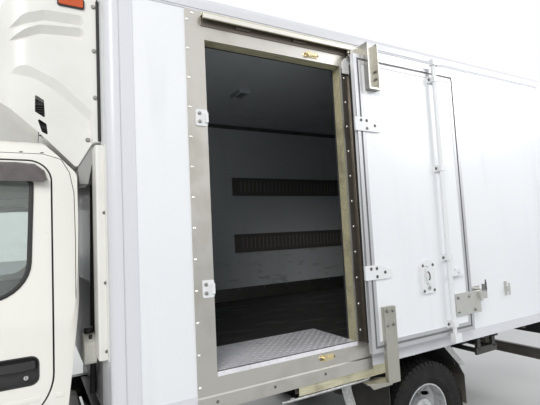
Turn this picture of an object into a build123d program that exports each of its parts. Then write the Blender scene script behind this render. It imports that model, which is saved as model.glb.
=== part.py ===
from build123d import *
import math
import os

os.makedirs("parts", exist_ok=True)

# Lengths are in millimetres. +X is forward, +Y is the truck's left, +Z is up.
# The origin lies on the ground under the middle of the truck.

# Driving dimensions of the truck
GROUND_TO_AXLE = 362
BOX_FRONT_X = 1065
BOX_LENGTH = 3880
BOX_HALF_WIDTH = 1100
BOX_BOTTOM_Z = 840
BOX_TOP_Z = 3008
FRONT_AXLE_X = 1780
REAR_AXLE_X = -1080
BUMPER_FRONT_X = 2850

# Insulated panels and their edge profiles
WALL = 80
ROOF_THICKNESS = 92
FLOOR_TOP_Z = 1008
FLOOR_THICKNESS = 150
BOTTOM_RAIL_HEIGHT = 72
CORNER_POST_LENGTH = 128
POST_GROOVE = (60, 7, 4)
ROOF_RAIL_GROOVE = (80, 6, 4)
RAIL_PROUD = 4
REAR_FRAME_LENGTH = 107
REAR_POST_WIDTH = 70
REAR_SILL_DEPTH = 208
REAR_HEADER_DEPTH = 108

# Side doorway: distances behind the box's front face, and a drop from its top
DOORWAY_FRONT = 505
DOORWAY_REAR = 1430
FRAME_FRONT = 398
FRAME_REAR = 1537
DOORWAY_SILL_Z = 992
DOORWAY_HEAD_DROP = 250

# Sliding side door, stored open: an outer flange that laps the frame, and a plug that fills it
SIDE_DOOR_FRONT = 1476
SIDE_DOOR_REAR = 2456
SIDE_DOOR_LAP_BELOW = 52
SIDE_DOOR_LAP_ABOVE = 64
SIDE_DOOR_STAND_OFF = 12
SIDE_DOOR_PLUG = 46
SIDE_DOOR_FLANGE = 30
SIDE_DOOR_PLUG_INSET = (38, 62)
EDGING_WIDTH = 64
EDGING_PROUD = 4
EDGING_GROOVE = (26, 14, 5)

# Rear doors
REAR_DOOR_THICKNESS = 80
REAR_DOOR_GAP = 7
REAR_HINGE_RADIUS = 9
REAR_HINGE_LENGTH = 90
REAR_HINGE_OUT = 16
REAR_HINGES_ABOVE_SILL = (142, 552)
REAR_HINGES_BELOW_HEADER = (560, 150)

# Cab
CAB_REAR_X = 1183
CAB_HALF_WIDTH = 997
CAB_WALL = 46
CAB_ROOF_Z = 2238
CAB_DOOR_REAR_X = 1298
CAB_DOOR_FRONT_X = 2430
CAB_DOOR_GAP = 8
CAB_DOOR_SKIN = 14
CAB_DOOR_REBATE = 12
CAB_DECK_TOP_Z = 1010
CAB_FOOTWELL_TOP_Z = 770
CAB_FLOOR_THICKNESS = 40
CAB_RISER_X = 2190
GLASS = 5
GLASS_GAP = 0.5

# Running gear
TYRE_RADIUS = 362
TYRE_WIDTH = 195
TYRE_BEAD_RADIUS = 204
RIM_FLANGE_RADIUS = 221
RIM_WIDTH = 150
FRONT_TRACK = 1600
REAR_OUTER_Y = 900
REAR_INNER_Y = 674
KINGPIN_Y = 690
KINGPIN_RADIUS = 16
SPINDLE_RADIUS = 28
REAR_SPINDLE_RADIUS = 45
PIN_CLEARANCE = 0.5

# Chassis frame
RAIL_TOP_Z = 722
RAIL_DEPTH = 150
RAIL_OUTER_Y = 400
RAIL_FLANGE = 60
RAIL_STEEL = 7
RAIL_FRONT_X = 2690
RAIL_REAR_X = -2740

# Places that follow from the values above
BOX_REAR_X = BOX_FRONT_X - BOX_LENGTH
BOX_INNER_Y = BOX_HALF_WIDTH - WALL
BOX_FACE_Y = BOX_HALF_WIDTH + RAIL_PROUD
CEILING_Z = BOX_TOP_Z - ROOF_THICKNESS
FLOOR_BOTTOM_Z = FLOOR_TOP_Z - FLOOR_THICKNESS
BOTTOM_RAIL_TOP_Z = BOX_BOTTOM_Z + BOTTOM_RAIL_HEIGHT
DOORWAY_HEAD_Z = BOX_TOP_Z - DOORWAY_HEAD_DROP
SIDE_DOOR_BOTTOM_Z = DOORWAY_SILL_Z - SIDE_DOOR_LAP_BELOW
SIDE_DOOR_TOP_Z = DOORWAY_HEAD_Z + SIDE_DOOR_LAP_ABOVE
SIDE_DOOR_INNER_Y = BOX_HALF_WIDTH + SIDE_DOOR_STAND_OFF
SIDE_DOOR_OUTER_Y = SIDE_DOOR_INNER_Y + SIDE_DOOR_PLUG + SIDE_DOOR_FLANGE
REAR_SILL_TOP_Z = FLOOR_TOP_Z
REAR_SILL_BOTTOM_Z = REAR_SILL_TOP_Z - REAR_SILL_DEPTH
REAR_HEADER_Z = BOX_TOP_Z - REAR_HEADER_DEPTH
REAR_HINGE_HEIGHTS = ([REAR_SILL_TOP_Z + rise for rise in REAR_HINGES_ABOVE_SILL]
                      + [REAR_HEADER_Z - drop for drop in REAR_HINGES_BELOW_HEADER])
POST_REAR_X = BOX_FRONT_X - CORNER_POST_LENGTH
REAR_FRAME_X = BOX_REAR_X + REAR_FRAME_LENGTH
SIDES = {"left": 1, "right": -1}


def block(x0, x1, y0, y1, z0, z1):
    """A box between two corners, given in any order along y."""
    low, high = min(y0, y1), max(y0, y1)
    centre = Pos((x0 + x1) / 2, (low + high) / 2, (z0 + z1) / 2)
    return centre * Box(x1 - x0, high - low, z1 - z0)


def rod_x(x0, x1, y, z, radius):
    return Pos((x0 + x1) / 2, y, z) * Rot(0, 90, 0) * Cylinder(radius, x1 - x0)


def rod_y(x, y0, y1, z, radius):
    return Pos(x, (y0 + y1) / 2, z) * Rot(90, 0, 0) * Cylinder(radius, abs(y1 - y0))


def rod_z(x, y, z0, z1, radius):
    return Pos(x, y, (z0 + z1) / 2) * Cylinder(radius, z1 - z0)


def turn(ahead, behind):
    """Twice the area that two edges span: positive where the path turns left."""
    return behind[0] * ahead[1] - behind[1] * ahead[0]


def taken_in(points, inset):
    """Rows of (across, up, corner radius), with every edge moved inwards by the inset."""
    count = len(points)
    area = sum(turn(points[i], points[i - 1]) for i in range(count))
    way = 1 if area > 0 else -1
    moved = []
    for i in range(count):
        (x0, y0), (x1, y1) = points[i - 1][:2], points[i][:2]
        x2, y2 = points[(i + 1) % count][:2]
        a, b = math.hypot(x1 - x0, y1 - y0), math.hypot(x2 - x1, y2 - y1)
        before = ((x1 - x0) / a, (y1 - y0) / a)
        after = ((x2 - x1) / b, (y2 - y1) / b)
        bend = turn(after, before)
        share = inset * way / (1 + before[0] * after[0] + before[1] * after[1])
        x = x1 - share * (before[1] + after[1])
        y = y1 + share * (before[0] + after[0])
        radius = points[i][2]
        if radius:
            radius = max(radius - inset if bend * way > 0 else radius + inset, 1)
        moved.append((x, y, radius))
    return moved


def outline(points, inset=0):
    """A closed face from rows of (across, up, corner radius)."""
    points = taken_in(points, inset) if inset else points
    corners = [(across, up) for across, up, radius in points]
    face = make_face(Polyline(*corners, close=True))
    for across, up, radius in points:
        if radius:
            corner = face.vertices().sort_by_distance((across, up, 0))[0]
            face = fillet(corner, radius)
    return face


def side_prism(face, y0, y1):
    """An outline in x and z, thick from y0 to y1."""
    return Pos(0, max(y0, y1), 0) * (Plane.XZ * extrude(face, abs(y1 - y0)))


def front_prism(face, x0, x1):
    """An outline in y and z, thick from x0 to x1."""
    return Pos(x0, 0, 0) * (Plane.YZ * extrude(face, x1 - x0))


def plan_prism(face, z0, z1):
    """An outline in x and y, thick from z0 to z1."""
    return Pos(0, 0, z0) * extrude(face, z1 - z0)


def turned(profile, x, y, z):
    """A profile of (y, radius) points turned about an axis along y."""
    face = Plane.YZ * make_face(Polyline(*profile, close=True))
    return Pos(x, y, z) * revolve(face, Axis.Y)


def mirrored(solid):
    return mirror(solid, Plane.XZ)


def on_side(solid, side):
    """A solid drawn for the left side, placed on the side named."""
    return solid if side == "left" else mirrored(solid)


def together(solids):
    """Several solids of one node."""
    found = []
    for solid in solids:
        found += list(solid.solids())
    return Compound(children=found)


def save(solid, name):
    count = len(solid.solids())
    print(f"{name}: {count} solids, {solid.volume / 1e6:.2f} litres")
    export_step(solid, f"parts/{name}.step")


# Chassis frame: two channel rails and their crossmembers
CROSSMEMBER_X = (2600, 1040, 250, -380, -1760, -2700)
CROSSMEMBER_LENGTH = 60
BEARER_X = (900, 500, 100, -300, -700, -1480, -1880, -2280, -2640)
BEARER_LENGTH = 50
BEARER_BOTTOM_Z = 788
SILL_INNER_Y = 345
SILL_OUTER_Y = 400
TOW_EYE_X = -2660
TOW_EYE_Z = 532
TOW_EYE_RADIUS = 16
TOW_EYE_THICKNESS = 16
TOW_EYE_HALF_LENGTH = 35
TOW_EYE_RISE = 85


def chassis_rail(side):
    sign = SIDES[side]
    bottom = RAIL_TOP_Z - RAIL_DEPTH
    outer = sign * RAIL_OUTER_Y
    inner = sign * (RAIL_OUTER_Y - RAIL_FLANGE)
    web = sign * (RAIL_OUTER_Y - RAIL_STEEL)
    rail = block(RAIL_REAR_X, RAIL_FRONT_X, outer, inner, bottom, RAIL_TOP_Z)
    hollow = block(RAIL_REAR_X - 1, RAIL_FRONT_X + 1, web, inner - sign,
                   bottom + RAIL_STEEL, RAIL_TOP_Z - RAIL_STEEL)
    return rail - hollow


def chassis_frame():
    bottom = RAIL_TOP_Z - RAIL_DEPTH
    frame = chassis_rail("left") + chassis_rail("right")
    web = RAIL_OUTER_Y - RAIL_STEEL
    for x in CROSSMEMBER_X:
        member = block(x - CROSSMEMBER_LENGTH / 2, x + CROSSMEMBER_LENGTH / 2, -web, web,
                       bottom + RAIL_STEEL, RAIL_TOP_Z - RAIL_STEEL)
        hollow = block(x - CROSSMEMBER_LENGTH / 2 + RAIL_STEEL, x + CROSSMEMBER_LENGTH / 2 + 1,
                       -web, web, bottom + 2 * RAIL_STEEL, RAIL_TOP_Z - 2 * RAIL_STEEL)
        frame += member - hollow
    return frame


def body_sills():
    """The two long sills between the chassis rails and the cross bearers."""
    sill = block(REAR_FRAME_X, POST_REAR_X, SILL_INNER_Y, SILL_OUTER_Y, RAIL_TOP_Z, BEARER_BOTTOM_Z)
    return together([sill, mirrored(sill)])


def floor_bearers():
    """Cross bearers on the sills, which carry the box floor."""
    half = BEARER_LENGTH / 2
    return together([block(x - half, x + half, -BOX_INNER_Y, BOX_INNER_Y, BEARER_BOTTOM_Z,
                           FLOOR_BOTTOM_Z) for x in BEARER_X])


def tow_eyes():
    """Plates under the rear ends of the rails, each with a lashing hole."""
    plates = []
    for side in SIDES:
        plate = block(TOW_EYE_X - TOW_EYE_HALF_LENGTH, TOW_EYE_X + TOW_EYE_HALF_LENGTH, RAIL_OUTER_Y,
                      RAIL_OUTER_Y + TOW_EYE_THICKNESS, TOW_EYE_Z - TOW_EYE_HALF_LENGTH,
                      TOW_EYE_Z + TOW_EYE_RISE)
        plate -= rod_y(TOW_EYE_X, RAIL_OUTER_Y - 1, RAIL_OUTER_Y + TOW_EYE_THICKNESS + 1,
                       TOW_EYE_Z, TOW_EYE_RADIUS)
        plates.append(on_side(plate, side))
    return together(plates)


# Axles, springs and drive line
BEAM_TOP_Z = 350
BEAM_DEPTH = 60
BEAM_LENGTH = 56
BEAM_END_RADIUS = 30
BEAM_END_LOW_Z = 330
BEAM_END_HIGH_Z = 394
BEAM_DROP_Y = (480, 560)
BEAM_BEND = 20
HOUSING_RADIUS = 52
DIFFERENTIAL_RADIUS = 150
NOSE_LENGTH = 60
NOSE_RISE = 20
SPRING_WIDTH = 60
SPRING_THICKNESS = 44
FRONT_SPRING_Y = 366
REAR_SPRING_Y = 470
SHAFT_RADIUS = 40


def front_beam():
    """The I-shaped beam, dropped between its ends."""
    end, low, high = KINGPIN_Y + BEAM_END_RADIUS, BEAM_END_LOW_Z, BEAM_END_HIGH_Z
    inner, outer = BEAM_DROP_Y
    half = [(inner, BEAM_TOP_Z, BEAM_BEND), (outer, high, BEAM_BEND), (end, high, 0), (end, low, 0),
            (outer, low, BEAM_BEND), (inner, BEAM_TOP_Z - BEAM_DEPTH, BEAM_BEND)]
    shape = outline(half + [(-across, up, radius) for across, up, radius in reversed(half)])
    beam = front_prism(shape, FRONT_AXLE_X - BEAM_LENGTH / 2, FRONT_AXLE_X + BEAM_LENGTH / 2)
    for sign in (1, -1):
        beam -= block(FRONT_AXLE_X - 60, FRONT_AXLE_X + 60, sign * KINGPIN_Y,
                      sign * (end + 1), low - 1, high + 1)
        beam += rod_z(FRONT_AXLE_X, sign * KINGPIN_Y, low, high, BEAM_END_RADIUS)
        beam -= rod_z(FRONT_AXLE_X, sign * KINGPIN_Y, low - 1, high + 1,
                      KINGPIN_RADIUS + PIN_CLEARANCE)
    return beam


def rear_housing():
    tube_end = REAR_INNER_Y - 60
    housing = rod_y(REAR_AXLE_X, -tube_end, tube_end, GROUND_TO_AXLE, HOUSING_RADIUS)
    housing += Pos(REAR_AXLE_X, 0, GROUND_TO_AXLE) * Sphere(DIFFERENTIAL_RADIUS)
    housing += rod_y(REAR_AXLE_X, -REAR_OUTER_Y + 20, REAR_OUTER_Y - 20, GROUND_TO_AXLE,
                     REAR_SPINDLE_RADIUS)
    nose = REAR_AXLE_X + DIFFERENTIAL_RADIUS + NOSE_LENGTH
    housing += rod_x(REAR_AXLE_X, nose, 0, GROUND_TO_AXLE + NOSE_RISE, 1.5 * SHAFT_RADIUS)
    return housing


def propeller_shaft():
    x0, z0 = REAR_AXLE_X + DIFFERENTIAL_RADIUS + NOSE_LENGTH, GROUND_TO_AXLE + NOSE_RISE
    x1, z1 = ENGINE_REAR_X - GEARBOX_LENGTH, ENGINE_BOTTOM_Z + GEARBOX_SHAFT_RISE
    length = math.hypot(x1 - x0, z1 - z0)
    pitch = math.degrees(math.atan2(x1 - x0, z1 - z0))
    middle = Pos((x0 + x1) / 2, 0, (z0 + z1) / 2)
    shaft = middle * Rot(0, pitch, 0) * Cylinder(SHAFT_RADIUS, length + 40)
    return shaft & block(x0 - 100, x1, -100, 100, 0, 1000)


# Rows of (axle x, side y, seat z, half length, eye rise) for each kind of leaf spring
LEAF_SPRINGS = (
    (FRONT_AXLE_X, FRONT_SPRING_Y, BEAM_TOP_Z, 600, 120),
    (REAR_AXLE_X, REAR_SPRING_Y, GROUND_TO_AXLE + HOUSING_RADIUS, 620, 110),
)
SPRING_EYE_RADIUS = 26
MAIN_LEAF_HALF_THICKNESS = 8
SPRING_SEAT_HALF_LENGTH = 60
HANGER_HALF_LENGTH = 30
HANGER_PIN_RADIUS = 16


def leaf_spring(axle_x, y, seat_z, half_length, rise):
    """A bowed stack of leaves with an eye at each end, hung from the frame."""
    low = seat_z + SPRING_THICKNESS / 2
    high = low + rise
    radius = (half_length ** 2 + rise ** 2) / (2 * rise)
    centre = Pos(axle_x, low + radius)
    reach = math.degrees(math.asin(half_length / radius))
    ring = Circle(radius + MAIN_LEAF_HALF_THICKNESS) - Circle(radius - MAIN_LEAF_HALF_THICKNESS)
    span = Polyline((0, 0), (-2 * half_length, -2 * half_length / math.tan(math.radians(reach))),
                    (2 * half_length, -2 * half_length / math.tan(math.radians(reach))), close=True)
    wide = centre * (ring & make_face(span))
    stack = centre * (Circle(radius + SPRING_THICKNESS / 2)
                      - Circle(radius - SPRING_THICKNESS / 2)) & Pos(axle_x, low) * Rectangle(
                          half_length * 1.1, 400)
    leaves = side_prism(wide + stack, y - SPRING_WIDTH / 2, y + SPRING_WIDTH / 2)
    seat = block(axle_x - SPRING_SEAT_HALF_LENGTH, axle_x + SPRING_SEAT_HALF_LENGTH,
                 y - SPRING_WIDTH / 2, y + SPRING_WIDTH / 2, seat_z, low)
    spring = leaves + seat
    for end in (-1, 1):
        spring += rod_y(axle_x + end * half_length, y - SPRING_WIDTH / 2, y + SPRING_WIDTH / 2,
                        high, SPRING_EYE_RADIUS)
    return spring


def leaf_springs():
    springs = []
    for axle_x, y, seat_z, half_length, rise in LEAF_SPRINGS:
        for side in SIDES:
            spring = leaf_spring(axle_x, y, seat_z, half_length, rise)
            high = seat_z + SPRING_THICKNESS / 2 + rise
            for end in (-1, 1):
                x = axle_x + end * half_length
                x0, x1 = x - HANGER_HALF_LENGTH, x + HANGER_HALF_LENGTH
                inner, outer = y - SPRING_WIDTH / 2, y + SPRING_WIDTH / 2
                top = RAIL_TOP_Z - RAIL_DEPTH
                if y > RAIL_OUTER_Y:
                    spring += block(x0, x1, RAIL_OUTER_Y, inner, high - HANGER_HALF_LENGTH,
                                    top + 2 * HANGER_HALF_LENGTH)
                    spring += rod_y(x, inner - 5, y, high, HANGER_PIN_RADIUS)
                else:
                    spring += block(x0, x1, inner, outer, high, top)
            springs.append(on_side(spring, side))
    return together(springs)


# Engine and gearbox as one plain block
ENGINE_REAR_X = 1240
ENGINE_FRONT_X = 2120
ENGINE_HALF_WIDTH = 270
ENGINE_BOTTOM_Z = 430
ENGINE_TOP_Z = 945
GEARBOX_LENGTH = 140
GEARBOX_SHAFT_RISE = 92
BELL_HOUSING_X = ENGINE_REAR_X + 330


def engine_block():
    gearbox_end = ENGINE_REAR_X - GEARBOX_LENGTH
    side = outline([(gearbox_end, ENGINE_BOTTOM_Z + 50, 20), (gearbox_end, ENGINE_BOTTOM_Z + 220, 20),
                    (BELL_HOUSING_X - 30, ENGINE_TOP_Z - 245, 20), (BELL_HOUSING_X, ENGINE_TOP_Z, 30),
                    (ENGINE_FRONT_X, ENGINE_TOP_Z, 30), (ENGINE_FRONT_X, ENGINE_BOTTOM_Z, 30),
                    (BELL_HOUSING_X, ENGINE_BOTTOM_Z, 30)])
    return side_prism(side, -ENGINE_HALF_WIDTH, ENGINE_HALF_WIDTH)


# Steering knuckles, wheels and tyres
RIM_STEEL = 10
RIM_FLANGE_STEEL = 6
DISC_STEEL = 11
DISC_FLAT_RADIUS = 150
DISC_FLAT_INNER_RADIUS = 144
HUB_RADIUS = 62
REAR_HUB_RADIUS = 88
HAND_HOLES = 8
HAND_HOLE_REACH = 166
HAND_HOLE_RADIUS = 19
TYRE_GAP = 0.3
SIDEWALL_BULGE_RADIUS = 292
SHOULDER_WIDTH = 14


def tyre():
    """A tyre's closed outline around its rim, as (across, radius)."""
    half = TYRE_WIDTH / 2
    seat = TYRE_BEAD_RADIUS + TYRE_GAP
    rim_half = RIM_WIDTH / 2 - RIM_FLANGE_STEEL - TYRE_GAP
    bead = RIM_FLANGE_RADIUS + 2
    side = [(rim_half, seat), (rim_half, bead), (half, SIDEWALL_BULGE_RADIUS),
            (half - SHOULDER_WIDTH, TYRE_RADIUS)]
    return side + [(-across, radius) for across, radius in reversed(side)]


def barrel(disc_y, disc_dish, bore_radius):
    """A rim as (across, radius): the barrel, its flanges, and the disc with its hub."""
    half = RIM_WIDTH / 2
    inner = TYRE_BEAD_RADIUS - RIM_STEEL
    return [
        (-half, inner), (-half, RIM_FLANGE_RADIUS),
        (-half + RIM_FLANGE_STEEL, RIM_FLANGE_RADIUS), (-half + RIM_FLANGE_STEEL, TYRE_BEAD_RADIUS),
        (half - RIM_FLANGE_STEEL, TYRE_BEAD_RADIUS), (half - RIM_FLANGE_STEEL, RIM_FLANGE_RADIUS),
        (half, RIM_FLANGE_RADIUS), (half, inner),
        (disc_y, inner), (disc_dish, DISC_FLAT_RADIUS), (disc_dish, bore_radius),
        (disc_dish - DISC_STEEL, bore_radius), (disc_dish - DISC_STEEL, DISC_FLAT_INNER_RADIUS),
        (disc_y - DISC_STEEL - 4, inner),
    ]


FRONT_DISC_Y = 38
FRONT_HUB_Y = (-30, FRONT_DISC_Y + 36)
FRONT_HUB_CAP = 10


def front_rim(side):
    y = FRONT_TRACK / 2
    bore = SPINDLE_RADIUS + PIN_CLEARANCE
    rim = turned(barrel(FRONT_DISC_Y + 10, FRONT_DISC_Y - 10, bore), 0, 0, 0)
    inner, outer = FRONT_HUB_Y
    hub = rod_y(0, inner, outer, 0, HUB_RADIUS)
    hub -= rod_y(0, inner - 1, outer - FRONT_HUB_CAP, 0, bore)
    rim = rim + hub
    for number in range(HAND_HOLES):
        angle = math.radians(360 / HAND_HOLES * (number + 0.5))
        rim -= rod_y(HAND_HOLE_REACH * math.cos(angle), -RIM_WIDTH / 2, RIM_WIDTH / 2,
                     HAND_HOLE_REACH * math.sin(angle), HAND_HOLE_RADIUS)
    rim = Pos(FRONT_AXLE_X, y, GROUND_TO_AXLE) * rim
    return on_side(rim, side)


def front_tyre(side):
    wheel = turned(tyre(), FRONT_AXLE_X, FRONT_TRACK / 2, GROUND_TO_AXLE)
    return on_side(wheel, side)


def rear_rims(side):
    """Two dished rims back to back on one hub."""
    bore = REAR_SPINDLE_RADIUS + PIN_CLEARANCE
    middle = (REAR_OUTER_Y + REAR_INNER_Y) / 2
    reach = (REAR_OUTER_Y - REAR_INNER_Y) / 2
    outer = turned(barrel(-30, -reach + DISC_STEEL, bore), 0, reach, 0)
    inner = mirrored(outer)
    hub = rod_y(0, -reach + 10, reach + 40, 0, REAR_HUB_RADIUS)
    hub -= rod_y(0, -reach, reach - 5, 0, bore)
    pair = outer + inner + hub
    for number in range(HAND_HOLES):
        angle = math.radians(360 / HAND_HOLES * (number + 0.5))
        pair -= rod_y(HAND_HOLE_REACH * math.cos(angle), -reach, reach,
                      HAND_HOLE_REACH * math.sin(angle), HAND_HOLE_RADIUS)
    pair = Pos(REAR_AXLE_X, middle, GROUND_TO_AXLE) * pair
    return on_side(pair, side)


def rear_tyres(side):
    wheels = [turned(tyre(), REAR_AXLE_X, y, GROUND_TO_AXLE) for y in (REAR_OUTER_Y, REAR_INNER_Y)]
    return on_side(together(wheels), side)


KNUCKLE_ARM_GAP = 1
KNUCKLE_ARM_HEIGHT = 24
KNUCKLE_ARM_HALF_LENGTH = 26
KNUCKLE_EYE_RADIUS = 28
KNUCKLE_PLATE_HALF_LENGTH = 45
KNUCKLE_PLATE_THICKNESS = 16
TRACK_ROD_ARM = (190, 20)


def knuckle(side):
    """A fork around the beam's end, the kingpin through it, and the wheel's spindle."""
    x, y, z = FRONT_AXLE_X, KINGPIN_Y, GROUND_TO_AXLE
    bottom, low = BEAM_END_LOW_Z - KNUCKLE_ARM_GAP - KNUCKLE_ARM_HEIGHT, BEAM_END_LOW_Z - KNUCKLE_ARM_GAP
    high, top = BEAM_END_HIGH_Z + KNUCKLE_ARM_GAP, BEAM_END_HIGH_Z + KNUCKLE_ARM_GAP + KNUCKLE_ARM_HEIGHT
    plate_y = y + BEAM_END_RADIUS + 6
    outer_y = plate_y + KNUCKLE_PLATE_THICKNESS
    fork = rod_z(x, y, bottom, top, KINGPIN_RADIUS)
    for z0, z1 in ((bottom, low), (high, top)):
        fork += rod_z(x, y, z0, z1, KNUCKLE_EYE_RADIUS)
        fork += block(x - KNUCKLE_ARM_HALF_LENGTH, x + KNUCKLE_ARM_HALF_LENGTH, y, outer_y, z0, z1)
    fork += block(x - KNUCKLE_PLATE_HALF_LENGTH, x + KNUCKLE_PLATE_HALF_LENGTH, plate_y, outer_y,
                  bottom, top)
    fork += rod_y(x, plate_y, FRONT_TRACK / 2 + FRONT_DISC_Y + 20, z, SPINDLE_RADIUS)
    far, near = TRACK_ROD_ARM
    fork += block(x - far, x - near, y - 20, y + 10, bottom, low)
    return on_side(fork, side)


# Tank, battery box and silencer, hung on the frame rails: (rear, front), (near, far) and (low, high)
TANK_X = (420, 1010)
TANK_OUT = (30, 430)
TANK_Z = (400, 690)
TANK_EDGE = 50
TANK_BRACKET_X = (520, 910)
BATTERY_X = (560, 1000)
BATTERY_OUT = (20, 360)
BATTERY_Z = (430, 700)
BATTERY_BRACKET_X = (620, 940)
SILENCER_X = (-360, 160)
SILENCER_OUT = 180
SILENCER_Z = 560
SILENCER_RADIUS = 110
EXHAUST_PIPE_RADIUS = 30
EXHAUST_PIPE_FRONT_X = 330
EXHAUST_HANGER_X = (-200, -140)


def fuel_tank():
    near, far = (-(RAIL_OUTER_Y + out) for out in TANK_OUT)
    tank = block(*TANK_X, near, far, *TANK_Z)
    tank = fillet(tank.edges().filter_by(Axis.X), TANK_EDGE)
    for x in TANK_BRACKET_X:
        tank += block(x - 20, x + 20, -RAIL_OUTER_Y, near - 30, TANK_Z[1] - 110, TANK_Z[1] + 10)
    return tank


def battery_box():
    near, far = (RAIL_OUTER_Y + out for out in BATTERY_OUT)
    box = block(*BATTERY_X, near, far, *BATTERY_Z)
    box = fillet(box.edges().filter_by(Axis.Z), 20)
    box += block(*BATTERY_BRACKET_X, RAIL_OUTER_Y, near + 20, BATTERY_Z[1] - 100, BATTERY_Z[1] - 40)
    return box


def exhaust():
    y = -(RAIL_OUTER_Y + SILENCER_OUT)
    silencer = rod_x(*SILENCER_X, y, SILENCER_Z, SILENCER_RADIUS)
    pipe = rod_x(SILENCER_X[1], EXHAUST_PIPE_FRONT_X, y, SILENCER_Z, EXHAUST_PIPE_RADIUS)
    strap = block(*EXHAUST_HANGER_X, -RAIL_OUTER_Y, y, SILENCER_Z + 80, SILENCER_Z + 120)
    return silencer + pipe + strap


# Cab tilt pivot on the frame's front end
TILT_X = 2745
TILT_Z = 545
TILT_PIN_RADIUS = 14
TILT_LUG_RADIUS = 22
TILT_LUG_INNER_Y = 405
TILT_LUG_OUTER_Y = 430
TILT_PLATE_LAP = 60
TILT_PLATE_FRONT_X = BUMPER_FRONT_X - 74
TILT_PLATE_Z = (460, 600)
TILT_PLATE_INNER_Y = RAIL_OUTER_Y - 55


def tilt_brackets():
    """The frame's front plates with the pins that the cab tips about."""
    plates = []
    for side in SIDES:
        plate = block(RAIL_FRONT_X - TILT_PLATE_LAP, TILT_PLATE_FRONT_X, TILT_PLATE_INNER_Y,
                      RAIL_OUTER_Y, *TILT_PLATE_Z)
        plate += rod_y(TILT_X, RAIL_OUTER_Y - 20, TILT_LUG_OUTER_Y, TILT_Z, TILT_PIN_RADIUS)
        plates.append(on_side(plate, side))
    return plates


# Front bumper
BUMPER_TOP_Z = 560
BUMPER_BOTTOM_Z = 330
BUMPER_DEPTH = 330
BUMPER_SLOT_CLEARANCE = 8
BUMPER_SLOT_BOTTOM_Z = 505
BUMPER_SWEEP = 90
BUMPER_SKIN = 50
BUMPER_MOUNT_Z = (470, 550)


def front_bumper():
    """The bar behind its skin line, slotted at the top for the cab's tilting lugs."""
    half = CAB_HALF_WIDTH + 3
    front = BUMPER_FRONT_X
    rear = front - BUMPER_DEPTH
    inner = [(rear, half - BUMPER_SKIN, 0), (front - BUMPER_SWEEP - 20, half - 2 * BUMPER_SKIN, 60)]
    outer = [(front - BUMPER_SWEEP, half, 120), (rear, half, 0)]
    left = [(front, 0, 0)] + outer + inner
    right = [(along, -across, radius) for along, across, radius in reversed(outer + inner)]
    plan = outline(left + [(front - 40, 0, 0)] + right)
    bar = plan_prism(plan, BUMPER_BOTTOM_Z, BUMPER_TOP_Z)
    for sign in (1, -1):
        bar += block(TILT_PLATE_FRONT_X, front - 30, sign * TILT_PLATE_INNER_Y,
                     sign * (RAIL_OUTER_Y - 4), *BUMPER_MOUNT_Z)
        bar -= block(rear - 1, front + 1, sign * (TILT_LUG_INNER_Y - BUMPER_SLOT_CLEARANCE),
                     sign * (TILT_LUG_OUTER_Y + BUMPER_SLOT_CLEARANCE), BUMPER_SLOT_BOTTOM_Z,
                     BUMPER_TOP_Z + 1)
    return bar


# Cab: one closed form, taken in by an inset, gives the shell, doors, glass and floor
CAB_FRONT_X = 2790
PANEL_BOTTOM_Z = 632
PANEL_REAR_X = 2484
PANEL_TOP_Z = 1338
ARCH_RADIUS = 432
DOOR_INSET = 36
DOOR_HINGE_X = CAB_DOOR_FRONT_X - 10
DOOR_HINGE_Y = CAB_HALF_WIDTH - 4
DOOR_HINGE_HEIGHTS = (780, 1260)
DOOR_KNUCKLE_RADIUS = 10
HANDLE_RECESS = 22
HANDLE_ROOM_X = (CAB_DOOR_REAR_X + 57, CAB_DOOR_REAR_X + 230)
HANDLE_ROOM_Z = (1094, 1210)
GLASS_INSET = 16
SCREEN_INSET = 10


def cab_side_points(bottom):
    return [
        (CAB_REAR_X + 57, bottom, 0), (CAB_REAR_X + 57, 940, 60), (CAB_REAR_X, 1440, 300),
        (CAB_REAR_X, 2035, 60), (CAB_REAR_X + 160, 2205, 120), (1700, CAB_ROOF_Z, 600),
        (2260, 2205, 300), (2410, 2120, 60), (2672, 1350, 60), (2752, 1180, 120),
        (CAB_FRONT_X, 900, 200), (CAB_FRONT_X, bottom, 0)]


def cab_front_points(bottom):
    half = [(CAB_HALF_WIDTH, bottom, 0), (CAB_HALF_WIDTH, 1340, 300), (928, 2118, 25),
            (880, 2190, 60), (640, CAB_ROOF_Z + 2, 200)]
    other = [(-across, up, radius) for across, up, radius in reversed(half)]
    return half + other


def cab_plan_points():
    half = [(CAB_REAR_X, CAB_HALF_WIDTH, 45), (2590, CAB_HALF_WIDTH, 150), (2765, 850, 130),
            (CAB_FRONT_X, 420, 300)]
    other = [(along, -across, radius) for along, across, radius in reversed(half)]
    return half + other


CAB_FORMS = {}


def cab_form(inset):
    """The cab's outer form, taken in all round; it is open-ended downwards."""
    if inset not in CAB_FORMS:
        bottom = 400
        side = side_prism(outline(cab_side_points(bottom), inset), -1200, 1200)
        front = front_prism(outline(cab_front_points(bottom), inset), 1000, 2900)
        plan = plan_prism(outline(cab_plan_points(), inset), 300, 2400)
        CAB_FORMS[inset] = side & front & plan
    return CAB_FORMS[inset]


def door_outline(inset=0):
    return outline([
        (CAB_DOOR_REAR_X, 925, 205), (2170, 925, 80), (2290, 660, 80), (CAB_DOOR_FRONT_X, 660, 40),
        (CAB_DOOR_FRONT_X, 1345, 200), (2322, 2090, 50), (CAB_DOOR_REAR_X, 2090, 95)], inset)


def door_window_outline(inset=0):
    return outline([(1400, 1490, 150), (2385, 1400, 50), (2296, 2036, 40), (1384, 2036, 70)],
                   inset)


def windscreen_outline(inset=0):
    return outline([(-850, 1392, 70), (850, 1392, 70), (790, 2090, 70), (-790, 2090, 70)], inset)


def rear_window_outline(inset=0):
    return outline([(-560, 1480, 50), (560, 1480, 50), (560, 1900, 50), (-560, 1900, 50)], inset)


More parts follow.
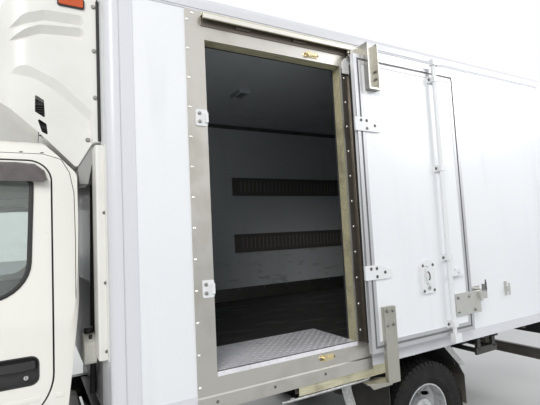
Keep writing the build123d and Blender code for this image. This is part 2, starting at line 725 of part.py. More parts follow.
def wheel_arch():
    return rod_y(FRONT_AXLE_X, -1200, 1200, GROUND_TO_AXLE, ARCH_RADIUS)


def cab_walls():
    walls = cab_form(0) - cab_form(CAB_WALL)
    walls -= block(1000, 3000, -1200, 1200, 300, PANEL_BOTTOM_Z)
    walls -= block(1000, CAB_RISER_X, -CAB_HALF_WIDTH + CAB_WALL, CAB_HALF_WIDTH - CAB_WALL, 300,
                   CAB_DECK_TOP_Z)
    walls -= wheel_arch()
    walls -= side_prism(door_outline(-CAB_DOOR_GAP), -1200, 1200)
    walls -= front_prism(windscreen_outline(), 2300, 2900)
    walls -= front_prism(rear_window_outline(), 1100, 1300)
    return walls


def front_panel_zone():
    return block(PANEL_REAR_X, 2900, -1200, 1200, 300, PANEL_TOP_Z)


LAMP_INSET = 30
GRILLE_SLOTS = 3
GRILLE_SLOT_Z = 945
GRILLE_SLOT_PITCH = 45
GRILLE_SLOT_HEIGHT = 28
GRILLE_SLOT_HALF_WIDTH = 430


def head_lamp_zone(clearance):
    face = outline([(560, 712, 30), (925, 712, 60), (925, 880, 40), (600, 850, 60)], clearance)
    zone = front_prism(face, PANEL_REAR_X + 60, 2900)
    return zone + mirrored(zone)


def cab_shell():
    shell = cab_walls() - front_panel_zone()
    for side in SIDES:
        for lug in door_hinge_lugs(side):
            shell += lug
    return shell


def cab_front_panel():
    panel = cab_walls() & front_panel_zone()
    panel -= head_lamp_zone(0)
    half = GRILLE_SLOT_HALF_WIDTH
    for number in range(GRILLE_SLOTS):
        low = GRILLE_SLOT_Z + GRILLE_SLOT_PITCH * number
        high = low + GRILLE_SLOT_HEIGHT
        slot = outline([(-half, low, 10), (half, low, 10), (half - 5, high, 10), (5 - half, high, 10)])
        panel -= front_prism(slot, 2600, 2900)
    for side in SIDES:
        lug = block(TILT_X - TILT_LUG_RADIUS, TILT_X + TILT_LUG_RADIUS, TILT_LUG_INNER_Y,
                    TILT_LUG_OUTER_Y, TILT_Z, 700)
        lug += rod_y(TILT_X, TILT_LUG_INNER_Y, TILT_LUG_OUTER_Y, TILT_Z, TILT_LUG_RADIUS)
        lug -= rod_y(TILT_X, TILT_LUG_INNER_Y - 1, TILT_LUG_OUTER_Y + 1, TILT_Z,
                     TILT_PIN_RADIUS + PIN_CLEARANCE)
        panel += on_side(lug, side)
    return panel


def head_lamps():
    lamps = (cab_form(0) - cab_form(LAMP_INSET)) & head_lamp_zone(GLASS_GAP)
    return lamps


def cab_windows():
    screen = cab_form(SCREEN_INSET) - cab_form(SCREEN_INSET + GLASS)
    front = screen & front_prism(windscreen_outline(GLASS_GAP), 2300, 2900)
    back = block(CAB_REAR_X + 15, CAB_REAR_X + 15 + GLASS, -700, 700, 1400, 2000)
    back &= front_prism(rear_window_outline(GLASS_GAP), 1100, 1300)
    return together([front, back])


def cab_floor():
    under = CAB_FLOOR_THICKNESS
    shape = outline([
        (CAB_REAR_X + 20, CAB_DECK_TOP_Z - under, 0), (CAB_RISER_X - under, CAB_DECK_TOP_Z - under, 0),
        (CAB_RISER_X - under, CAB_FOOTWELL_TOP_Z - under, 0), (2800, CAB_FOOTWELL_TOP_Z - under, 0),
        (2800, CAB_FOOTWELL_TOP_Z, 0), (CAB_RISER_X, CAB_FOOTWELL_TOP_Z, 0),
        (CAB_RISER_X, CAB_DECK_TOP_Z, 0), (CAB_REAR_X + 20, CAB_DECK_TOP_Z, 0)])
    return side_prism(shape, -1100, 1100) & cab_form(CAB_WALL)


def cab_door(side):
    """Outer skin to the door's edge, inner part drawn in behind it, window cut."""
    half_space = block(1000, 3000, 600, 1200, 300, 2400)
    skin = (cab_form(0) - cab_form(CAB_DOOR_SKIN)) & side_prism(door_outline(), 600, 1200)
    inside = cab_form(CAB_DOOR_SKIN) - cab_form(DOOR_INSET)
    inside &= side_prism(door_outline(CAB_DOOR_REBATE), 600, 1200)
    door = (skin + inside) & half_space
    door -= side_prism(door_window_outline(), 600, 1200)
    (x0, x1), (z0, z1) = HANDLE_ROOM_X, HANDLE_ROOM_Z
    hand_room = outline([(x0, z0, 30), (x1, z0, 30), (x1, z1, 30), (x0, z1, 30)])
    door -= (cab_form(0) - cab_form(HANDLE_RECESS)) & side_prism(hand_room, 600, 1200)
    knuckles, notches = door_hinge_knuckles()
    for notch in notches:
        door -= notch
    for piece in knuckles:
        door += piece
    return on_side(door, side)


def door_hinge_lugs(side):
    """Lugs on the front pillar with the door's pins."""
    lugs = []
    for z in DOOR_HINGE_HEIGHTS:
        pin = rod_z(DOOR_HINGE_X, DOOR_HINGE_Y, z - 30, z + 30, 6)
        for low in (z - 30, z + 12):
            pin += rod_z(DOOR_HINGE_X, DOOR_HINGE_Y, low, low + 18, DOOR_KNUCKLE_RADIUS)
            pin += block(DOOR_HINGE_X, CAB_DOOR_FRONT_X + 18, DOOR_HINGE_Y - 9, DOOR_HINGE_Y + 3,
                         low, low + 18)
        lugs.append(on_side(pin, side))
    return lugs


def door_hinge_knuckles():
    """What the left door carries at its hinges, and what is cut away for the lugs."""
    knuckles, notches = [], []
    for z in DOOR_HINGE_HEIGHTS:
        knuckle_ring = rod_z(DOOR_HINGE_X, DOOR_HINGE_Y, z - 11.5, z + 11.5, DOOR_KNUCKLE_RADIUS)
        knuckle_ring += block(DOOR_HINGE_X - 26, DOOR_HINGE_X, DOOR_HINGE_Y - 9, DOOR_HINGE_Y + 3,
                              z - 11.5, z + 11.5)
        knuckle_ring -= rod_z(DOOR_HINGE_X, DOOR_HINGE_Y, z - 12, z + 12, 6 + PIN_CLEARANCE)
        knuckles.append(knuckle_ring)
        notches.append(block(DOOR_HINGE_X - 16, CAB_DOOR_FRONT_X + 1, 880, 1020, z - 36, z + 36))
    return knuckles, notches


def door_glass(side):
    pane = cab_form(GLASS_INSET) - cab_form(GLASS_INSET + GLASS)
    pane &= side_prism(door_window_outline(GLASS_GAP), 600, 1200)
    return on_side(pane, side)


# Inside the cab, with rows of (side y, width) for the driver's, middle and passenger's seats
SEAT_ROWS = ((-560, 500), (-60, 360), (480, 560))
WHEEL_CENTRE = (2085, -520, 1395)
WHEEL_LEAN = 32
WHEEL_RADIUS = 200
WHEEL_BOSS_DEPTH = 28
WHEEL_SHAFT_RADIUS = 10
WHEEL_RING_RADIUS = 13
WHEEL_BOSS_RADIUS = 40
SPOKE_WIDTH = 34
SPOKE_THICKNESS = 12
COLUMN_RADIUS = 30
DASHBOARD = ((2330, 1000, 60), (2300, 1230, 60), (2420, 1330, 60), (2640, 1330, 20), (2700, 1180, 20),
             (2700, 1000, 20))
SEAT_BACK = ((1415, 1135, 30), (1350, 1700, 30), (1275, 1700, 30), (1300, CAB_DECK_TOP_Z, 20),
             (1415, CAB_DECK_TOP_Z, 20))
SEAT_CUSHION = ((1420, CAB_DECK_TOP_Z, 20), (1900, CAB_DECK_TOP_Z, 30), (1910, 1160, 50),
                (1420, 1130, 30))


def dashboard():
    board = side_prism(outline(DASHBOARD), -1100, 1100) & cab_form(CAB_WALL)
    length = (WHEEL_CENTRE[2] - CAB_FOOTWELL_TOP_Z) / math.cos(math.radians(WHEEL_LEAN)) + 60
    column = Pos(0, 0, -WHEEL_BOSS_DEPTH - PIN_CLEARANCE - length / 2) * Cylinder(COLUMN_RADIUS, length)
    column += Pos(0, 0, -WHEEL_BOSS_DEPTH / 2 - 6) * Cylinder(WHEEL_SHAFT_RADIUS, WHEEL_BOSS_DEPTH)
    column = Pos(*WHEEL_CENTRE) * Rot(0, -WHEEL_LEAN, 0) * column
    column &= block(1900, 2740, -900, 900, CAB_FOOTWELL_TOP_Z, 1600)
    return board + column


def steering_wheel():
    ring = Torus(WHEEL_RADIUS, WHEEL_RING_RADIUS)
    boss = Pos(0, 0, -WHEEL_BOSS_DEPTH / 2 + 4) * Cylinder(WHEEL_BOSS_RADIUS, WHEEL_BOSS_DEPTH + 8)
    boss -= Pos(0, 0, -WHEEL_BOSS_DEPTH / 2 - 4) * Cylinder(WHEEL_SHAFT_RADIUS + PIN_CLEARANCE,
                                                            WHEEL_BOSS_DEPTH)
    level = Pos(0, 0, -SPOKE_THICKNESS / 2)
    spokes = level * Box(2 * WHEEL_RADIUS, SPOKE_WIDTH, SPOKE_THICKNESS)
    spokes += level * Pos(0, -WHEEL_RADIUS / 2, 0) * Box(SPOKE_WIDTH, WHEEL_RADIUS, SPOKE_THICKNESS)
    spokes -= level * Cylinder(WHEEL_BOSS_RADIUS - 10, SPOKE_THICKNESS + 8)
    return Pos(*WHEEL_CENTRE) * Rot(0, -WHEEL_LEAN, 0) * (ring + boss + spokes)


def seats():
    made = []
    for y, width in SEAT_ROWS:
        half = width / 2
        for rows in (SEAT_CUSHION, SEAT_BACK):
            made.append(side_prism(outline(rows), y - half, y + half))
    return together(made)


MIRROR_X = (2610, 2670)
MIRROR_Y = (1075, 1240)
MIRROR_Z = (1480, 1850)
MIRROR_EDGE = 18
MIRROR_STAY_RADIUS = 12
MIRROR_STAY_PLACE = (2600, 1030, 1450)
MIRROR_STAY_LENGTH = 240
MIRROR_STAY_TURN = 60


def mirrors():
    made = []
    for side in SIDES:
        housing = fillet(block(*MIRROR_X, *MIRROR_Y, *MIRROR_Z).edges(), MIRROR_EDGE)
        lower = Pos(*MIRROR_STAY_PLACE) * Rot(0, 0, MIRROR_STAY_TURN) * Rot(0, 90, 0) * Cylinder(
            MIRROR_STAY_RADIUS, MIRROR_STAY_LENGTH)
        post = rod_z(sum(MIRROR_X) / 2, MIRROR_Y[0] + 15, MIRROR_Z[0] - 40, MIRROR_Z[0] + 10,
                     MIRROR_STAY_RADIUS)
        stay = housing + post + lower
        stay -= cab_form(0)
        made.append(on_side(stay, side))
    return together(made)


# Insulated box: floor, walls, roof and their edge rails
EDGE_RADIUS = 42


def side_wall_panels(side):
    """A wall panel; the left wall is in two, before and behind the doorway frame."""
    inner = BOX_INNER_Y
    outer = BOX_HALF_WIDTH
    low = BOTTOM_RAIL_TOP_Z
    if side == "right":
        return block(REAR_FRAME_X, POST_REAR_X, -inner, -outer, low, CEILING_Z)
    front = block(BOX_FRONT_X - FRAME_FRONT, POST_REAR_X, inner, outer, low, CEILING_Z)
    back = block(REAR_FRAME_X, BOX_FRONT_X - FRAME_REAR, inner, outer, low, CEILING_Z)
    return together([front, back])


def box_floor():
    return block(REAR_FRAME_X, BOX_FRONT_X - WALL, -BOX_INNER_Y, BOX_INNER_Y,
                 FLOOR_BOTTOM_Z, FLOOR_TOP_Z)


def box_front_wall():
    return block(BOX_FRONT_X - WALL, BOX_FRONT_X, -BOX_INNER_Y, BOX_INNER_Y,
                 BOX_BOTTOM_Z, CEILING_Z)


def box_roof():
    return block(REAR_FRAME_X, BOX_FRONT_X - WALL, -BOX_INNER_Y, BOX_INNER_Y,
                 CEILING_Z, BOX_TOP_Z)


def box_edge_rails():
    """Grooved corner posts, roof rails and bottom rails, joined at the front corners."""
    rails = []
    y0, y1 = BOX_INNER_Y, BOX_FACE_Y
    post_groove_at, post_groove_width, post_groove_depth = POST_GROOVE
    groove_x = BOX_FRONT_X - post_groove_at
    roof_groove_drop, roof_groove_width, roof_groove_depth = ROOF_RAIL_GROOVE
    groove_z = BOX_TOP_Z - roof_groove_drop
    post_plan = outline([(POST_REAR_X, y0, 0), (BOX_FRONT_X, y0, 0), (BOX_FRONT_X, y1, EDGE_RADIUS),
                         (POST_REAR_X, y1, 0)])
    roof_end = outline([(y0, CEILING_Z, 0), (y1, CEILING_Z, 0), (y1, BOX_TOP_Z, EDGE_RADIUS),
                        (y0, BOX_TOP_Z, 0)])
    for side in SIDES:
        rail = plan_prism(post_plan, BOX_BOTTOM_Z, BOX_TOP_Z)
        rail += front_prism(roof_end, REAR_FRAME_X, POST_REAR_X)
        rail += block(REAR_FRAME_X, POST_REAR_X, y0, y1, BOX_BOTTOM_Z, BOTTOM_RAIL_TOP_Z)
        rail -= block(groove_x - post_groove_width, groove_x, y1 - post_groove_depth, y1 + 1,
                      BOX_BOTTOM_Z - 1, groove_z - roof_groove_width)
        rail -= block(REAR_FRAME_X - 1, POST_REAR_X + 1, y1 - roof_groove_depth, y1 + 1,
                      groove_z - roof_groove_width, groove_z)
        rails.append(on_side(rail, side))
    top = block(BOX_FRONT_X - WALL, BOX_FRONT_X, -y0, y0, CEILING_Z, BOX_TOP_Z)
    whole = rails[0] + rails[1] + top
    whole -= block(BOX_FRONT_X - FRAME_REAR, BOX_FRONT_X - FRAME_FRONT, 0, y1 + 1,
                   BOX_BOTTOM_Z - 1, BOTTOM_RAIL_TOP_Z + 1)
    return whole


REVEAL_GROOVES = 5
REVEAL_GROOVE_WIDTH = 8
REVEAL_GROOVE_DEPTH = 5
REVEAL_MARGIN = 10
PANEL_RECESS = (12, 62, 10)
SILL_LIP = (7, 12, 62)
TREAD_THICKNESS = 3


def doorway_void(grown, y0, y1):
    """The doorway's clear space above its sill, grown at the head and jambs, between two depths."""
    return block(BOX_FRONT_X - DOORWAY_REAR - grown, BOX_FRONT_X - DOORWAY_FRONT + grown, y0, y1,
                 DOORWAY_SILL_Z, DOORWAY_HEAD_Z + grown)


def side_frame():
    """The stainless frame around the side doorway, with its grooved reveal and its sill."""
    front, rear = BOX_FRONT_X - FRAME_FRONT, BOX_FRONT_X - FRAME_REAR
    doorway_front, doorway_rear = BOX_FRONT_X - DOORWAY_FRONT, BOX_FRONT_X - DOORWAY_REAR
    ring = block(rear, front, BOX_INNER_Y, BOX_FACE_Y, BOX_BOTTOM_Z, CEILING_Z)
    ring -= doorway_void(0, BOX_INNER_Y - 1, BOX_FACE_Y + 1)
    pitch = (BOX_FACE_Y - BOX_INNER_Y - 2 * REVEAL_MARGIN) / REVEAL_GROOVES
    for number in range(REVEAL_GROOVES):
        y = BOX_INNER_Y + REVEAL_MARGIN + pitch * (number + 0.5)
        ring -= doorway_void(REVEAL_GROOVE_DEPTH, y - REVEAL_GROOVE_WIDTH / 2,
                             y + REVEAL_GROOVE_WIDTH / 2)
    margin, width, depth = PANEL_RECESS
    ring -= block(doorway_rear - margin - width, doorway_rear - margin, BOX_FACE_Y - depth,
                  BOX_FACE_Y + 1, DOORWAY_SILL_Z + margin, DOORWAY_HEAD_Z - margin)
    proud, drop, height = SILL_LIP
    lip = outline([(BOX_FACE_Y, BOX_BOTTOM_Z - drop, 0), (BOX_FACE_Y + proud, BOX_BOTTOM_Z - drop, 0),
                   (BOX_FACE_Y + proud, BOX_BOTTOM_Z + height - proud, 0),
                   (BOX_FACE_Y, BOX_BOTTOM_Z + height, 0)])
    ring += front_prism(lip, rear, front)
    ring += block(doorway_rear, doorway_front, BOX_INNER_Y, BOX_FACE_Y, DOORWAY_SILL_Z - 1,
                  FLOOR_TOP_Z + TREAD_THICKNESS)
    return ring


# Keepers by their rise above the sill, and rows of (behind the box front, height) for the catches
KEEPER_RISES = (440, 1332)
KEEPER_LENGTH = 62
KEEPER_HEIGHT = 88
KEEPER_THICKNESS = 9
KEEPER_EDGE_CLEARANCE = 2
KEEPER_STOP_LENGTH = 16
KEEPER_STOP_HALF_HEIGHT = 26
CATCH_HALF_LENGTH = 55
CATCH_HALF_HEIGHT = 16
CATCH_PLATE = 6
CATCH_PIN_RADIUS = 15
FITTING_REACH = 22
CATCHES = ((1195, DOORWAY_SILL_Z - 38), (1207, DOORWAY_HEAD_Z + 34))


def doorway_keepers():
    """Plates on the front jamb that the door's hooks grip, and the catches at head and sill."""
    edge_x = BOX_FRONT_X - DOORWAY_FRONT + KEEPER_EDGE_CLEARANCE
    face = BOX_FACE_Y
    made = []
    for rise in KEEPER_RISES:
        z = DOORWAY_SILL_Z + rise
        plate = block(edge_x, edge_x + KEEPER_LENGTH, face, face + KEEPER_THICKNESS,
                      z - KEEPER_HEIGHT / 2, z + KEEPER_HEIGHT / 2)
        plate = fillet(plate.edges().filter_by(Axis.Y), 8)
        plate += block(edge_x, edge_x + KEEPER_STOP_LENGTH, face, face + FITTING_REACH,
                       z - KEEPER_STOP_HALF_HEIGHT, z + KEEPER_STOP_HALF_HEIGHT)
        made.append(plate)
    for distance, z in CATCHES:
        x = BOX_FRONT_X - distance
        pin_x = x + FITTING_REACH
        catch = block(x - CATCH_HALF_LENGTH, x + CATCH_HALF_LENGTH, face, face + CATCH_PLATE,
                      z - CATCH_HALF_HEIGHT, z + CATCH_HALF_HEIGHT)
        catch = fillet(catch.edges().filter_by(Axis.Y), CATCH_HALF_HEIGHT - 2)
        catch += rod_y(pin_x, face, face + FITTING_REACH, z, CATCH_PIN_RADIUS)
        catch += block(x - 40, pin_x, face, face + 14, z - 7, z + 7)
        made.append(catch)
    return made


def rear_frame():
    half = BOX_HALF_WIDTH
    door_half = half - REAR_POST_WIDTH
    outer = outline([(-half, REAR_SILL_BOTTOM_Z, 0), (half, REAR_SILL_BOTTOM_Z, 0),
                     (half, BOX_TOP_Z, EDGE_RADIUS), (-half, BOX_TOP_Z, EDGE_RADIUS)])
    frame = front_prism(outer, BOX_REAR_X, REAR_FRAME_X)
    frame -= block(BOX_REAR_X - 1, REAR_FRAME_X + 1, -door_half, door_half,
                   REAR_SILL_TOP_Z, REAR_HEADER_Z)
    for side in SIDES:
        for z in REAR_HINGE_HEIGHTS:
            frame += on_side(rear_hinge_lugs(z), side)
    return frame


HINGE_X = BOX_REAR_X - REAR_HINGE_OUT
HINGE_Y = BOX_HALF_WIDTH + 2
HINGE_KNUCKLE_RADIUS = 14


REAR_LUG_HEIGHT = 20
REAR_LUG_GAP = 2
REAR_STRAP_LENGTH = 150
REAR_STRAP_HALF_THICKNESS = 4


def rear_hinge_lugs(z):
    """Two lugs on the post and the pin between them."""
    half = REAR_HINGE_LENGTH / 2
    reach = half + REAR_LUG_GAP + REAR_LUG_HEIGHT
    lugs = rod_z(HINGE_X, HINGE_Y, z - reach, z + reach, REAR_HINGE_RADIUS)
    for low in (z - reach, z + half + REAR_LUG_GAP):
        lugs += rod_z(HINGE_X, HINGE_Y, low, low + REAR_LUG_HEIGHT, HINGE_KNUCKLE_RADIUS)
        lugs += block(HINGE_X, BOX_REAR_X, HINGE_Y - 40, HINGE_Y + 2, low, low + REAR_LUG_HEIGHT)
    return lugs


ROD_RADIUS = 12
ROD_X = BOX_REAR_X - 23
ROD_Y = 95
HANDLE_RISE = 390
ROD_GUIDE_HEIGHT = 40
ROD_GUIDE_HALF_WIDTH = 30
ROD_GUIDE_PLACES = (40, 490, 1090)
REAR_HANDLE_LENGTH = 260
REAR_HANDLE_HALF_HEIGHT = 15


def rear_door(side):
    """An insulated leaf with its hinge straps and knuckles."""
    inner_y = 6
    outer_y = BOX_HALF_WIDTH - REAR_POST_WIDTH - REAR_DOOR_GAP
    low, high = REAR_SILL_TOP_Z + REAR_DOOR_GAP, REAR_HEADER_Z - REAR_DOOR_GAP
    leaf = block(BOX_REAR_X, BOX_REAR_X + REAR_DOOR_THICKNESS, inner_y, outer_y, low, high)
    for z in REAR_HINGE_HEIGHTS:
        half = REAR_HINGE_LENGTH / 2
        thick, end_y = REAR_STRAP_HALF_THICKNESS, outer_y - REAR_STRAP_LENGTH
        strap = block(HINGE_X - thick, HINGE_X + thick, end_y, HINGE_Y, z - half, z + half)
        strap += block(HINGE_X + thick, BOX_REAR_X, end_y, outer_y - 20, z - half, z + half)
        strap += rod_z(HINGE_X, HINGE_Y, z - half, z + half, HINGE_KNUCKLE_RADIUS)
        strap -= rod_z(HINGE_X, HINGE_Y, z - half - 1, z + half + 1,
                       REAR_HINGE_RADIUS + PIN_CLEARANCE)
        leaf += strap
    return on_side(leaf, side)


def rear_lock(side):
    """The lock rod with its guides, cams and handle."""
    low, high = REAR_SILL_TOP_Z + REAR_DOOR_GAP, REAR_HEADER_Z - REAR_DOOR_GAP
    rod = rod_z(ROD_X, ROD_Y, low + 10, high - 10, ROD_RADIUS)
    for z in [low + rise for rise in ROD_GUIDE_PLACES] + [high - 1.5 * ROD_GUIDE_HEIGHT]:
        rod += block(ROD_X, BOX_REAR_X, ROD_Y - ROD_GUIDE_HALF_WIDTH, ROD_Y + ROD_GUIDE_HALF_WIDTH,
                     z, z + ROD_GUIDE_HEIGHT)
    grip_z, grip_y, half = low + HANDLE_RISE, ROD_Y + REAR_HANDLE_LENGTH, REAR_HANDLE_HALF_HEIGHT
    rod += block(ROD_X - 6, ROD_X + 6, ROD_Y, grip_y, grip_z - half, grip_z + half)
    rod += block(ROD_X, BOX_REAR_X, grip_y - 40, grip_y + 10, grip_z - half - 10, grip_z + half + 10)
    return on_side(rod, side)


# Side door with its rails and fittings
def door_slab(inset_along, inset_up, y0, y1):
    """A slab of the side door, taken in from its outline."""
    return block(BOX_FRONT_X - SIDE_DOOR_REAR + inset_along,
                 BOX_FRONT_X - SIDE_DOOR_FRONT - inset_along, y0, y1,
                 SIDE_DOOR_BOTTOM_Z + inset_up, SIDE_DOOR_TOP_Z - inset_up)


def side_door():
    """Plug, lapping flange and the grooved edging around the outer skin."""
    flange_y = SIDE_DOOR_INNER_Y + SIDE_DOOR_PLUG
    outer = SIDE_DOOR_OUTER_Y
    door = door_slab(*SIDE_DOOR_PLUG_INSET, SIDE_DOOR_INNER_Y, flange_y)
    door += door_slab(0, 0, flange_y, outer)
    door -= door_slab(EDGING_WIDTH, EDGING_WIDTH, outer - EDGING_PROUD, outer + 1)
    groove_at, groove_width, groove_depth = EDGING_GROOVE
    groove = door_slab(groove_at, groove_at, outer - groove_depth, outer + 1)
    groove -= door_slab(groove_at + groove_width, groove_at + groove_width,
                        outer - groove_depth - 1, outer + 2)
    return door - groove


# Rows of (front and rear behind the box front, bottom, top, inner y) for the side door's rails
RAIL_REACH = 46
RAIL_SHEET = 5
SIDE_RAILS = (
    (485, 1650, DOORWAY_HEAD_Z + 74, DOORWAY_HEAD_Z + 132, BOX_FACE_Y),
    (990, 1650, BOX_BOTTOM_Z - 62, BOX_BOTTOM_Z, BOX_FACE_Y - RAIL_REACH),
)


def side_rails():
    """The upper channel over the doorway and the lower one under its sill, both open downwards."""
    made = []
    for front, rear, low, high, y in SIDE_RAILS:
        channel = block(BOX_FRONT_X - rear, BOX_FRONT_X - front, y, y + RAIL_REACH, low, high)
        channel -= block(BOX_FRONT_X - rear - 1, BOX_FRONT_X - front + 1, y + RAIL_SHEET,
                         y + RAIL_REACH - RAIL_SHEET, low - 1, high - RAIL_SHEET)
        made.append(channel)
    return together(made)


# Places on the side door, from its front edge rearwards and from its bottom edge upwards
HOOK_RISES = (486, 1420)
HOOK_OVERHANG = 25
HOOK_REACH = 195
HOOK_HALF_HEIGHT = 44
HOOK_THICKNESS = 9
HOOK_CORNER = 6
HANGER_ALONG = (89, 180)
HANGER_PAD_ALONG = 210
HANGER_BELOW_TOP = 234
HANGER_ABOVE_TOP = 75
HANGER_DEPTH = 38
HANGER_SHEET = 6
HANGER_PAD_THICKNESS = 8
CARRIAGE_HALF_LENGTH = 20
CARRIAGE_SHEET = 10
UPPER_ROLLER_ALONG = 20
LOWER_ROLLER_ALONG = 30
ROLLER_PIN_RADIUS = 6
ROLLER_HEIGHT = 28
ARM_ALONG = (92, 188)
ARM_TOP_RISE = 269
ARM_BOTTOM_DROP = 158
ARM_DEPTH = 24
ARM_SHEET = 6
LOWER_CARRIAGE_DROP = 26
LOWER_CARRIAGE_SHEET = 8
SKIRT_HEIGHT = 40
ROD_ALONG = 722
SIDE_ROD_RADIUS = 15
SIDE_ROD_OUT = 29
ROD_GUIDE_RISES = (79, 532, 1157)
ROD_TOP_GUIDE_DROP = 82
ROD_GUIDE_HALF_LENGTH = 41
ROD_GUIDE_HALF_HEIGHT = 25
ROD_GUIDE_PLATE = 7
ROD_BRIDGE_HALF_LENGTH = 21
ROD_BRIDGE_OVER_ROD = 3
ROD_ENDS = (40, 58)
CAM_HALF_DEPTH = 20
CAM_ALONG = (44, 22)
ROD_LEVER_LENGTH = 60
ROD_LEVER_RISE = 110
HANDLE_ALONG = (462, 587)
HANDLE_RISES = (308, 525)
HANDLE_THICKNESS = 12
HANDLE_POCKET_ALONG = (24, 72)
HANDLE_POCKET_MARGINS = (60, 35)
HANDLE_POCKET_DEPTH = 7
HOLDER_ALONG = (790, 1062)
HOLDER_RISES = (117, 272)
HOLDER_THICKNESS = 8
LATCH_REACH = 26
REST_ALONG = (804, 818, 838, 860, 874)
REST_RISE = 422
STRIKER_BEHIND_DOOR = 150
STRIKER_OUT = 60
WALL_HOOK_BEHIND_DOOR = 545
WALL_HOOK_OUT = 40
WALL_FITTINGS_RISE = 226
ROLLER_RADIUS = 16


def door_x(along):
    """The x of a place given from the side door's front edge rearwards."""
    return BOX_FRONT_X - SIDE_DOOR_FRONT - along


def hanger():
    """The channel that hangs the door from the upper rail, with its screw pad, arm and roller."""
    face, outer = SIDE_DOOR_OUTER_Y - EDGING_PROUD, SIDE_DOOR_OUTER_Y + HANGER_DEPTH
    front, rear = door_x(HANGER_ALONG[0]), door_x(HANGER_ALONG[1])
    low, high = SIDE_DOOR_TOP_Z - HANGER_BELOW_TOP, SIDE_DOOR_TOP_Z + HANGER_ABOVE_TOP
    piece = block(rear, front, face, outer, low, high)
    piece -= block(rear + HANGER_SHEET, front - HANGER_SHEET, face + HANGER_PAD_THICKNESS, outer + 1,
                   low + 2 * HANGER_SHEET, high + 1)
    piece += block(door_x(HANGER_PAD_ALONG), rear, face, SIDE_DOOR_OUTER_Y + HANGER_PAD_THICKNESS,
                   low + 2 * HANGER_SHEET, SIDE_DOOR_TOP_Z - 31)
    rail_low, rail_y = SIDE_RAILS[0][2], SIDE_RAILS[0][4]
    roller_x, roller_y = door_x(UPPER_ROLLER_ALONG), rail_y + RAIL_SHEET + ROLLER_RADIUS
    half, low = CARRIAGE_HALF_LENGTH, rail_low - 2 * CARRIAGE_SHEET
    arm = outline([(front, rail_low - 4, 0), (roller_x - half, low, 10), (roller_x + half, low, 10),
                   (roller_x + half, rail_low + 14, 10), (front, rail_low + 44, 0)])
    arm_y = rail_y + RAIL_REACH + HANGER_SHEET
    piece += side_prism(arm, arm_y, arm_y + CARRIAGE_SHEET)
    piece += block(rear, front, arm_y, face, SIDE_DOOR_TOP_Z + 4, high)
    piece += block(roller_x - half, roller_x + half, rail_y + RAIL_REACH / 2, arm_y + CARRIAGE_SHEET,
                   low, low + CARRIAGE_SHEET)
    roller_top = rail_low + 12 + ROLLER_HEIGHT
    piece += rod_z(roller_x, roller_y, low + CARRIAGE_SHEET - 2, roller_top, ROLLER_PIN_RADIUS)
    piece += rod_z(roller_x, roller_y, roller_top - ROLLER_HEIGHT, roller_top, ROLLER_RADIUS)
    return piece


def lower_arm():
    """The folded arm below the door, with the carriage and roller of the lower rail."""
    face, outer = SIDE_DOOR_OUTER_Y - EDGING_PROUD, SIDE_DOOR_OUTER_Y + ARM_DEPTH
    front, rear = door_x(ARM_ALONG[0]), door_x(ARM_ALONG[1])
    low, high = SIDE_DOOR_BOTTOM_Z - ARM_BOTTOM_DROP, SIDE_DOOR_BOTTOM_Z + ARM_TOP_RISE
    piece = block(rear, front, face, outer, low, high)
    piece -= block(rear - 1, front - ARM_SHEET, face - 1, outer - ARM_SHEET, low - 1,
                   SIDE_DOOR_BOTTOM_Z)
    rail_low, rail_y = SIDE_RAILS[1][2], SIDE_RAILS[1][4]
    roller_x, roller_y = door_x(LOWER_ROLLER_ALONG), rail_y + RAIL_SHEET + ROLLER_RADIUS
    inner = outer - 60
    carriage = outline([(roller_x + 35, roller_y - 20, 12), (roller_x + 60, inner, 12),
                        (front, outer, 0), (rear, outer, 0), (rear, inner, 12),
                        (roller_x - 35, roller_y - 20, 12)])
    bottom = rail_low - LOWER_CARRIAGE_DROP
    top = bottom + LOWER_CARRIAGE_SHEET
    piece += plan_prism(carriage, bottom, top)
    piece += block(rear, front, outer - ARM_SHEET, outer, bottom, low + 1)
    skirt = outline([(roller_x + 52, top - 2, 0), (rear, top - 2, 0),
                     (rear + 14, top - 2 - SKIRT_HEIGHT, 8), (roller_x + 12, top - 2 - SKIRT_HEIGHT, 8)])
    piece += side_prism(skirt, inner - 2, inner - 2 + ARM_SHEET)
    roller_top = rail_low + 16 + ROLLER_HEIGHT
    piece += rod_z(roller_x, roller_y, top - 2, roller_top, ROLLER_PIN_RADIUS)
    piece += rod_z(roller_x, roller_y, roller_top - ROLLER_HEIGHT, roller_top, ROLLER_RADIUS)
    return piece


def door_hook(z):
    """A five-sided plate that overhangs the door's front edge and grips the frame's keeper."""
    top, bottom = z + HOOK_HALF_HEIGHT, z - HOOK_HALF_HEIGHT
    front, rear = door_x(-HOOK_OVERHANG), door_x(HOOK_REACH)
    corners = [(front, bottom), (front, top), (door_x(HOOK_REACH * 0.45), top), (rear, z + 6),
               (rear, z - 34), (rear + 24, bottom)]
    shape = outline([(x, up, HOOK_CORNER) for x, up in corners])
    return side_prism(shape, SIDE_DOOR_OUTER_Y - EDGING_PROUD, SIDE_DOOR_OUTER_Y + HOOK_THICKNESS)


